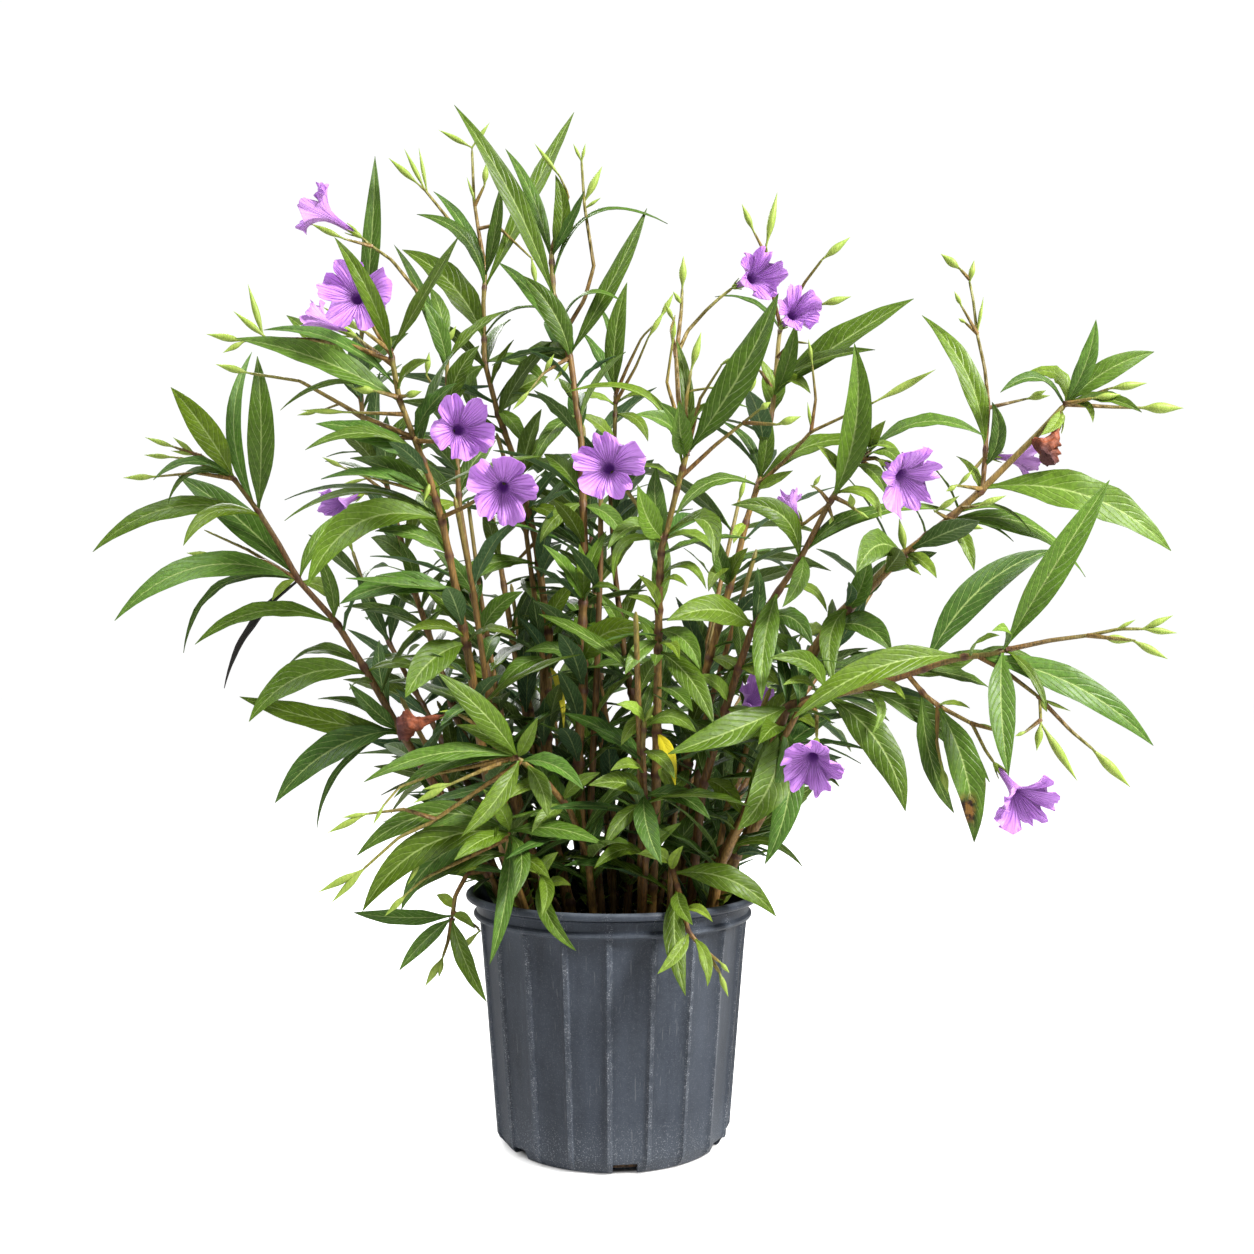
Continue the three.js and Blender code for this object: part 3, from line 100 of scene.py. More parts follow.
# %% The shoots
SHOOTS = {
    "left_long": {"foot": (-92, 10), "thick": (3.4, 1.4), "fill": (0.14, 0.44, 60), "path": [
        (-127, 262, 20), (-165, 325, 26), (-202, 383, 34), (-236, 443, 42), (-265, 490, 50),
        (-301, 530, 56), (-320, 565, 60), (-338, 594, 64), (-364, 629, 68), (-398, 652, 70),
    ], "twigs": [(12, -303, 531, -335, 550, -384, 554)], "buds": [(-380, 554, -409, 557, 8)],
    "leaves": [
        (-360, 630, -424, 716, 20, 24, 3, 20), (-339, 600, -341, 746, 25, 24, 6, 10),
        (-340, 598, -346, 750, -18, 14, -17, 40), (-338, 592, -499, 558, 10, 23, 17, 35),
        (-337, 592, -412, 564, 45, 20, 15, 40), (-303, 533, -417, 631, -40, 28, 4, 20),
        (-302, 530, -478, 492, 30, 30, 24, 30), (-302, 529, -412, 461, -25, 12, 26, 50),
        (-264, 487, -401, 469, 25, 18, 16, 35), (-303, 530, -373, 427, -45, 13, 3, 55),
        (-240, 448, -313, 448, -30, 15, 12, 40), (-236, 441, -349, 395, 35, 30, 17, 30),
        (-203, 384, -358, 419, 15, 24, -8, 25), (-204, 385, -324, 317, 40, 28, 12, 30),
        (-206, 387, -284, 291, -15, 8, 14, 40), (-203, 384, -283, 417, -25, 11, 6, 45),
        (-203, 386, -253, 432, 20, 15, -4, 30), (-362, 630, -441, 627, 24, 13, 12, 45),
        (-361, 629, -427, 605, 12, 11, 14, 45), (-300, 531, -250, 600, -30, 13, 6, 30),
        (-268, 492, -285, 560, 30, 13, 5, 35), (-238, 443, -170, 436, 20, 15, 8, 45),
    ]},
    "left_back": {"foot": (-68, -58), "thick": (3, 1.6), "fill": (0.2, 0.92, 20), "path": [
        (-108, 300, -90), (-150, 400, -110), (-190, 520, -126), (-218, 627, -130),
        (-240, 686, -130), (-244, 740, -128), (-238, 790, -125),
    ], "leaves": [
        (-240, 770, -228, 938, 40, 19, 6, 15), (-243, 705, -313, 785, -10, 27, 4, 30),
        (-243, 722, -196, 768, 10, 18, 3, 30), (-218, 628, -196, 690, -30, 20, 4, 30),
        (-205, 575, -262, 600, 10, 16, 8, 30),
    ]},
    "left_front": {"foot": (-76, 50), "thick": (3.9, 1.6), "fill": (0.08, 0.5, 0), "path": [
        (-112, 300, 66), (-125, 365, 78), (-135, 440, 92), (-150, 520, 106), (-163, 585, 118),
        (-175, 627, 128), (-190, 666, 138), (-205, 705, 146), (-213, 751, 152),
    ], "twigs": [
        (-20, -212, 740, -250, 756, -290, 762, -330, 763, -356, 760),
        (-12, -190, 668, -240, 688, -300, 722, -352, 730), (16, -206, 706, -230, 713),
        (20, -214, 751, -240, 771), (6, -205, 706, -196, 708),
    ], "buds": [
        (-352, 760, -390, 767, 8), (-348, 730, -381, 738, 8), (-226, 713, -250, 715, 9),
        (-236, 768, -278, 793, 8), (-200, 707, -183, 712, 8),
    ], "leaves": [
        (-164, 588, -293, 525, 40, 31, 24, 30), (-163, 586, -315, 588, 10, 13, 18, 60),
        (-164, 590, -315, 608, -24, 9, 10, 50), (-170, 606, -280, 628, 20, 18, 6, 45),
        (-172, 612, -252, 648, -8, 20, 2, 30), (-182, 645, -285, 681, 25, 25, 4, 35),
        (-184, 650, -295, 656, 50, 16, 10, 45), (-204, 703, -362, 763, 30, 28, 2, 30),
        (-208, 718, -335, 771, -24, 15, 8, 50), (-206, 705, -319, 694, 10, 8, 12, 50),
        (-212, 745, -267, 860, 60, 18, 6, 15), (-213, 750, -147, 862, 25, 16, -6, 45),
        (-141, 470, -199, 418, 50, 28, 8, 10), (-150, 518, -262, 508, 20, 23, 8, 35),
        (-151, 522, -256, 533, 45, 14, -6, 40), (-190, 666, -150, 720, 20, 18, 3, 30),
        (-157, 555, -228, 578, 10, 17, 5, 35),
    ]},
    "left_middle": {"foot": (-60, 4), "thick": (3.4, 1.4), "fill": (0.1, 0.8, 40), "path": [
        (-98, 330, 4), (-118, 427, 4), (-133, 512, 0), (-147, 602, -6), (-150, 660, -12),
        (-158, 710, -20), (-160, 760, -24),
    ], "leaves": [
        (-158, 722, -210, 853, -30, 12, 6, 30), (-159, 740, -100, 790, -10, 14, 2, 40),
        (-159, 735, -182, 800, 20, 18, 4, 20), (-156, 700, -128, 756, 20, 20, 4, 20),
        (-134, 515, -172, 560, 30, 18, 3, 30), (-148, 612, -112, 665, -20, 18, 4, 30),
        (-127, 475, -86, 520, 20, 20, 6, 30),
    ]},
    "upper_left": {"foot": (-40, -34), "thick": (3.6, 1.6), "fill": (0.12, 0.7, 10), "path": [
        (-60, 300, -40), (-63, 400, -46), (-61, 477, -52), (-74, 569, -60), (-88, 630, -68),
        (-110, 690, -76), (-123, 741, -82), (-124, 798, -86), (-122, 830, -88),
    ], "twigs": [
        (20, -122, 828, -150, 868, -180, 905, -188, 912),
        (0, -122, 829, -128, 862, -133, 895, -135, 946), (10, -132, 890, -122, 912),
    ], "buds": [(-185, 910, -215, 936, 8), (-123, 910, -121, 932, 8)], "leaves": [
        (-123, 762, -202, 848, 10, 31, 10, 25), (-123, 812, -188, 882, 20, 18, 16, 40),
        (-123, 816, -172, 904, -20, 14, 6, 45), (-122, 822, -107, 912, 30, 14, -4, 20),
        (-123, 810, -37, 980, -30, 20, -6, 30), (-123, 765, -58, 789, 25, 10, 10, 55),
        (-72, 545, -174, 487, 60, 21, 22, 25), (-61, 450, -47, 388, 60, 7, 5, 20),
        (-62, 455, -112, 420, 40, 18, 8, 30), (-122, 740, -62, 716, 20, 20, 10, 35),
        (-110, 690, -62, 726, -16, 22, 6, 25),
    ]},
    "centre_tall": {"foot": (-16, -4), "thick": (3.8, 1.8), "fill": (0.1, 0.62, 70), "path": [
        (-30, 300, -4), (-33, 368, -4), (-28, 432, -4), (-29, 481, -4), (-27, 560, -6),
        (-30, 662, -10), (-40, 741, -14), (-47, 768, -16), (-57, 805, -18), (-59, 850, -20),
    ], "twigs": [(14, -46, 766, -27, 800, -18, 832, -27, 890, -30, 936)], "buds": [
        (-28, 895, -10, 928, 9),
    ], "leaves": [
        (-57, 800, -152, 987, 40, 22, 4, 25), (-59, 835, -103, 945, -15, 14, 4, 40),
        (-58, 842, -55, 920, 20, 17, 9, 25), (-59, 845, -27, 905, 38, 13, -5, 30),
        (-57, 818, 53, 873, 20, 16, 32, 55), (-41, 748, 33, 888, 15, 18, -8, 30),
        (-41, 742, -86, 823, 20, 23, 6, 25), (-41, 744, -110, 836, -20, 17, 4, 40),
        (-50, 777, 10, 798, 30, 11, 14, 50), (-29, 450, 33, 486, 70, 29, 12, 15),
        (-29, 448, 52, 452, 40, 18, -4, 60), (-29, 508, -67, 565, 40, 16, 3, 30),
        (-28, 512, -6, 578, 8, 14, 3, 30), (-29, 600, 2, 655, -30, 18, 4, 25),
        (-30, 606, -66, 652, -26, 20, 4, 25), (-33, 690, -74, 646, 20, 16, 5, 35),
    ]},
    "centre_back": {"foot": (14, -40), "thick": (3, 1.5), "fill": (0.15, 0.85, 30), "path": [
        (20, 300, -54), (22, 400, -66), (10, 470, -74), (2, 540, -82), (-2, 610, -90),
        (2, 670, -96), (3, 712, -98),
    ], "leaves": [
        (3, 710, 14, 817, 30, 20, -6, 10), (2, 710, -30, 770, -10, 13, 2, 35),
        (3, 711, -15, 797, -30, 9, 7, 40), (8, 480, 30, 536, -20, 13, 3, 30),
    ]},
    "centre_front": {"foot": (34, 52), "thick": (3.8, 1.6), "fill": (0.04, 0.5, 50), "path": [
        (41, 300, 76), (42, 341, 86), (43, 420, 104), (44, 480, 118), (45, 526, 130),
        (47, 562, 140), (55, 590, 148), (64, 627, 158), (72, 655, 166),
    ], "twigs": [
        (-10, 61, 745, 66, 790, 67, 814), (0, 72, 655, 70, 700, 76, 736),
        (24, 65, 630, 98, 660, 128, 684, 144, 697), (14, 124, 682, 161, 680),
    ], "buds": [(66, 810, 68, 842, 8), (75, 732, 85, 769, 8), (157, 680, 181, 688, 8)], "leaves": [
        (66, 640, -45, 711, 10, 15, 26, 55), (71, 652, 61, 762, -14, 11, 4, 40),
        (72, 654, 159, 806, 40, 29, -8, 20), (68, 644, 22, 690, 30, 19, 10, 30),
        (69, 648, 44, 702, 50, 17, 4, 20), (71, 653, 130, 697, 15, 12, 18, 50),
        (49, 574, 42, 640, 20, 18, -5, 25), (43, 462, 97, 393, 50, 21, 6, 15),
    ]},
    "right_middle": {"foot": (56, -8), "thick": (3.5, 1.5), "fill": (0.08, 0.5, 0), "path": [
        (68, 300, -6), (76, 397, -2), (92, 452, 2), (103, 490, 4), (118, 544, 2), (129, 590, 0),
        (141, 627, -4), (148, 663, -8), (154, 700, -12), (159, 757, -18), (161, 775, -20),
    ], "twigs": [
        (30, 161, 773, 150, 820, 147, 854), (40, 161, 774, 184, 816, 203, 841),
        (16, 161, 774, 190, 792, 202, 796), (70, 140, 622, 166, 646, 190, 673, 220, 687, 254, 703),
        (20, 150, 670, 138, 690, 130, 712),
    ], "buds": [
        (147, 850, 158, 903, 9), (200, 838, 228, 860, 9), (199, 795, 229, 803, 9),
        (250, 701, 310, 733, 9), (131, 710, 138, 732, 8),
    ], "leaves": [
        (140, 622, 60, 592, 30, 16, 14, 45), (140, 623, 103, 684, -10, 10, 10, 35),
        (141, 627, 148, 697, 20, 15, 3, 20), (140, 624, 260, 661, 20, 21, 14, 35),
        (155, 712, 289, 801, 40, 29, -2, 25), (154, 708, 176, 778, 35, 17, -4, 20),
        (156, 722, 252, 752, 60, 15, 2, 30), (161, 772, 98, 803, -30, 10, 7, 60),
    ]},
    "right_upper": {"foot": (70, 40), "thick": (3.5, 1.6), "fill": (0.08, 0.42, 45), "path": [
        (86, 330, 58), (108, 406, 72), (120, 443, 80), (133, 482, 88), (157, 517, 96),
        (181, 553, 104), (206, 601, 114), (221, 627, 120), (236, 646, 124), (248, 655, 126),
    ], "twigs": [(24, 210, 610, 226, 604, 236, 596)], "buds": [(230, 600, 228, 614, 8)], "leaves": [
        (178, 550, 114, 603, 25, 22, 18, 25), (182, 555, 265, 600, 10, 15, 6, 45),
        (183, 557, 330, 596, -24, 16, 10, 45), (158, 518, 143, 415, 60, 21, 6, 5),
        (134, 484, 52, 492, 60, 31, 10, 20), (135, 487, 192, 468, 40, 21, 14, 40),
        (246, 654, 357, 669, 24, 17, 14, 45), (209, 608, 232, 758, 40, 25, 10, 10),
    ]},
    "right_long": {"foot": (93, 16), "thick": (4.6, 1.8), "fill": (0.1, 0.34, 80), "path": [
        (112, 260, 22), (133, 290, 28), (148, 316, 34), (158, 355, 42), (165, 400, 50),
        (180, 445, 58), (205, 482, 66), (235, 512, 74), (279, 555, 84), (321, 588, 92),
        (354, 617, 98), (408, 671, 106), (435, 700, 108),
    ], "twigs": [
        (-14, 355, 619, 358, 660, 361, 698, 357, 735, 350, 766, 346, 800, 342, 820),
        (10, 434, 699, 470, 712, 480, 716), (24, 434, 699, 464, 706),
        (6, 434, 699, 480, 697, 512, 696), (10, 343, 820, 332, 831),
    ], "buds": [
        (334, 829, 315, 844, 9), (475, 715, 513, 720, 9), (460, 706, 488, 709, 8),
        (506, 697, 548, 696, 12), (281, 557, 275, 590, 9),
    ], "leaves": [
        (358, 655, 297, 785, -20, 21, 10, 15), (357, 640, 364, 702, 16, 14, 8, 20),
        (434, 700, 464, 781, 20, 16, -4, 15), (435, 700, 520, 750, 10, 20, 5, 20),
        (435, 699, 508, 692, 34, 15, 4, 45), (434, 699, 372, 711, 20, 15, 14, 45),
        (358, 619, 536, 559, 30, 37, 16, 15), (326, 593, 402, 577, 10, 11, 12, 50),
        (320, 587, 454, 534, -30, 31, 16, 40), (318, 586, 385, 568, -10, 7, 4, 60),
        (228, 505, 212, 432, 55, 20, 12, 15), (206, 483, 268, 462, 40, 27, 10, 40),
    ]},
    "right_low": {"foot": (86, 62), "thick": (4.2, 1.7), "fill": (0.1, 0.3, 20), "path": [
        (104, 262, 76), (126, 304, 92), (150, 360, 110), (168, 410, 122), (200, 419, 132),
        (240, 427, 142), (285, 441, 150), (310, 450, 154), (336, 457, 158), (362, 459, 162),
        (378, 464, 164),
    ], "twigs": [
        (12, 377, 463, 420, 473, 458, 478, 486, 484, 512, 484), (20, 455, 478, 480, 475, 502, 473),
        (20, 350, 458, 376, 444, 410, 418, 411, 390), (12, 408, 420, 440, 386, 464, 366),
        (0, 311, 410, 311, 376, 316, 350),
    ], "buds": [
        (498, 473, 533, 455, 8), (468, 477, 500, 472, 9), (411, 394, 446, 338, 9),
        (411, 392, 407, 367, 8), (460, 370, 497, 332, 10), (315, 354, 322, 325, 8),
    ], "leaves": [
        (335, 457, 173, 398, 30, 25, 12, 25), (168, 411, 53, 364, 50, 28, -4, 20),
        (204, 420, 281, 309, 40, 29, 12, 20), (160, 388, 120, 291, 50, 34, -10, 5),
        (163, 396, 146, 258, 45, 25, 12, 10), (107, 270, 183, 255, 20, 9, 14, 45),
        (298, 446, 423, 560, -20, 27, 17, 15), (376, 463, 477, 627, 20, 25, 2, 15),
        (346, 458, 519, 372, 20, 27, 9, 30), (374, 462, 380, 343, 50, 22, -6, 8),
        (377, 463, 417, 405, 30, 9, 4, 40), (311, 410, 347, 279, 20, 28, 6, 10),
        (298, 424, 328, 307, -20, 18, -10, 15), (240, 427, 362, 337, -30, 25, 6, 30),
        (204, 420, 150, 456, 40, 18, 12, 30), (345, 458, 412, 448, -16, 10, 6, 50),
    ]},
    "low_left": {"foot": (-16, 62), "thick": (2.6, 1.6), "fill": (0.3, 0.8, 30), "path": [
        (-24, 270, 84), (-42, 312, 104), (-68, 342, 122), (-92, 361, 136),
    ], "twigs": [
        (24, -92, 360, -126, 348, -160, 333),
        (24, -88, 358, -135, 325, -175, 298, -205, 284, -242, 251),
    ], "buds": [(-156, 334, -191, 317, 8), (-238, 254, -283, 231, 8), (-237, 254, -270, 221, 8)],
    "leaves": [
        (-91, 360, -168, 442, 40, 22, 4, 15), (-92, 361, -239, 337, 30, 18, 8, 40),
        (-90, 359, -145, 285, 40, 18, -6, 15), (-88, 358, -28, 330, 30, 17, 6, 35),
        (-91, 360, -210, 322, 8, 16, 10, 35), (-90, 360, -150, 392, 10, 14, 3, 30),
    ]},
    "low_front": {"foot": (-70, 72), "thick": (2.4, 1.5), "fill": None, "path": [
        (-92, 240, 96), (-101, 266, 110), (-99, 290, 118),
    ], "leaves": [
        (-100, 289, -240, 213, 20, 27, 20, 25), (-99, 290, -246, 266, 45, 23, 22, 25),
        (-100, 288, -152, 262, 60, 16, 3, 30), (-99, 288, -118, 162, 50, 15, 6, 15),
        (-99, 289, -8, 277, 30, 20, 4, 45), (-99, 287, -96, 224, 60, 15, 10, 20),
        (-101, 268, -188, 233, 10, 21, 8, 35), (-100, 289, -203, 214, -16, 25, 16, 20),
    ]},
    "over_rim_left": {"foot": (-96, 26), "thick": (2.2, 1.4), "fill": None, "path": [
        (-119, 252, 36), (-139, 250, 42), (-151, 228, 46), (-154, 206, 48),
    ], "twigs": [(12, -154, 206, -158, 184, -164, 166)], "buds": [(-163, 169, -180, 141, 9)],
    "leaves": [
        (-154, 208, -249, 212, 10, 16, -6, 35), (-154, 207, -205, 156, 30, 14, 2, 20),
        (-154, 207, -121, 126, 60, 16, -3, 10),
    ]},
    "over_rim_front": {"foot": (50, 84), "thick": (2, 1.2), "fill": None, "path": [
        (56, 258, 99), (64, 230, 117), (68, 212, 134), (73, 193, 141), (91, 172, 145),
        (104, 152, 146),
    ], "leaves": [(62, 235, 70, 132, 56, 19, -6, 12), (58, 250, 157, 208, 4, 24, 12, 26)]},
    "front_centre": {"foot": (26, 76), "thick": (2.4, 1.5), "fill": None, "path": [
        (32, 262, 94), (31, 320, 112), (29, 372, 124), (31, 398, 130),
    ], "leaves": [
        (31, 322, 94, 301, 30, 17, 8, 35), (31, 325, 47, 258, 50, 20, -5, 10),
        (31, 318, -8, 274, 34, 14, 4, 30),
    ]},
    "front_sprout": {"foot": (-56, 92), "thick": (2, 1.4), "fill": None, "path": [
        (-64, 232, 108), (-70, 248, 116),
    ], "leaves": [(-69, 246, -35, 175, 56, 14, -8, 10)]},
    "back_left": {"foot": (-44, -70), "thick": (3.2, 1.5), "fill": (0.16, 1, 15), "path": [
        (-70, 330, -110), (-92, 450, -150), (-110, 560, -190), (-126, 650, -225), (-140, 720, -250),
    ]},
    "back_centre": {"foot": (2, -86), "thick": (3.2, 1.5), "fill": (0.16, 1, 50), "path": [
        (-4, 330, -130), (-12, 450, -180), (-20, 570, -230), (-28, 680, -270),
    ]},
    "back_right": {"foot": (46, -70), "thick": (3.2, 1.5), "fill": (0.16, 1, 30), "path": [
        (62, 330, -110), (84, 440, -145), (104, 530, -175), (122, 610, -205),
    ]},
    "far_right": {"foot": (84, -36), "thick": (3.2, 1.5), "fill": (0.14, 1, 0), "path": [
        (108, 300, -70), (146, 370, -105), (190, 430, -140), (232, 490, -175), (262, 545, -200),
    ]},
    "far_left": {"foot": (-88, -34), "thick": (3.2, 1.5), "fill": (0.14, 1, 60), "path": [
        (-118, 300, -75), (-160, 370, -120), (-198, 440, -165), (-230, 500, -205),
        (-250, 560, -235),
    ]},
    "rear_low": {"foot": (-22, -96), "thick": (2.8, 1.4), "fill": (0.2, 1, 20), "path": [
        (-40, 300, -170), (-52, 370, -240), (-60, 430, -300), (-66, 480, -350),
    ]},
    "rear_right": {"foot": (26, -96), "thick": (2.8, 1.4), "fill": (0.2, 1, 70), "path": [
        (52, 300, -170), (84, 350, -235), (112, 400, -290), (136, 440, -335),
    ]},
}

# %% Open and withered blooms
BLOOMS = [
    {"on": 'left_middle', "stalk": (-159, 757, -186, 806, -212, 838, -232, 852),
     "base": (-249, 865, 4), "mouth": (-288, 890, 16), "spread": 52, "turn": 10},
    {"on": 'left_front', "stalk": (-213, 748, -226, 768),
     "base": (-241, 794, 160), "mouth": (-248, 806, 198), "spread": 59, "turn": 30},
    {"on": 'left_front', "stalk": (-211, 738, -236, 756),
     "base": (-254, 768, 128), "mouth": (-287, 783, 120), "spread": 30, "turn": 0},
    {"on": 'left_front', "stalk": (-189, 663, -170, 664),
     "base": (-153, 674, 160), "mouth": (-144, 676, 200), "spread": 54, "turn": 12},
    {"on": 'left_front', "stalk": (-164, 590, -140, 602, -118, 616),
     "base": (-104, 624, 180), "mouth": (-106, 617, 219), "spread": 56, "turn": 50},
    {"on": 'centre_front', "stalk": (48, 570, 32, 592, 14, 616),
     "base": (0, 634, 178), "mouth": (-6, 641, 217), "spread": 58, "turn": 0},
    {"on": 'centre_front', "stalk": (71, 654, 63, 705, 61, 745, 72, 770, 90, 790, 102, 801),
     "base": (120, 814, 120), "mouth": (143, 825, 158), "spread": 48, "turn": 27},
    {"on": 'right_middle', "stalk": (160, 768, 162, 772),
     "base": (164, 776, 40), "mouth": (178, 791, 74), "spread": 44, "turn": 40},
    {"on": 'right_upper', "stalk": (238, 648, 252, 648),
     "base": (262, 642, 166), "mouth": (287, 625, 196), "spread": 58, "turn": 10},
    {"on": 'right_long', "stalk": (356, 622, 346, 636),
     "base": (366, 650, 62), "mouth": (402, 645, 66), "spread": 42, "turn": 8},
    {"on": 'left_back', "stalk": (-212, 602, -226, 612),
     "base": (-244, 612, -84), "mouth": (-268, 600, -60), "spread": 40, "turn": 30},
    {"on": 'right_upper', "stalk": (206, 602, 190, 590),
     "base": (178, 588, 96), "mouth": (168, 609, 84), "spread": 30, "turn": 0},
    {"on": 'right_middle', "stalk": (80, 410, 104, 398),
     "base": (120, 402, 12), "mouth": (138, 420, 34), "spread": 40, "turn": 20},
    {"on": 'right_low', "stalk": (186, 416, 196, 404),
     "base": (195, 374, 160), "mouth": (190, 351, 196), "spread": 52, "turn": 6},
    {"on": 'right_low', "stalk": (284, 441, 299, 421, 313, 410, 345, 393, 358, 367),
     "base": (371, 349, 152), "mouth": (398, 314, 190), "spread": 54, "turn": 16},
]
WITHERED = {
    "dried_bloom_right": {"on": 'right_long', "stalk": (431, 690),
     "base": (429, 681, 114), "tip": (415, 652, 122), "width": 22},
    "dried_bloom_left": {"on": 'left_front', "stalk": (-127, 390),
     "base": (-158, 402, 88), "tip": (-206, 390, 96), "width": 20},
}

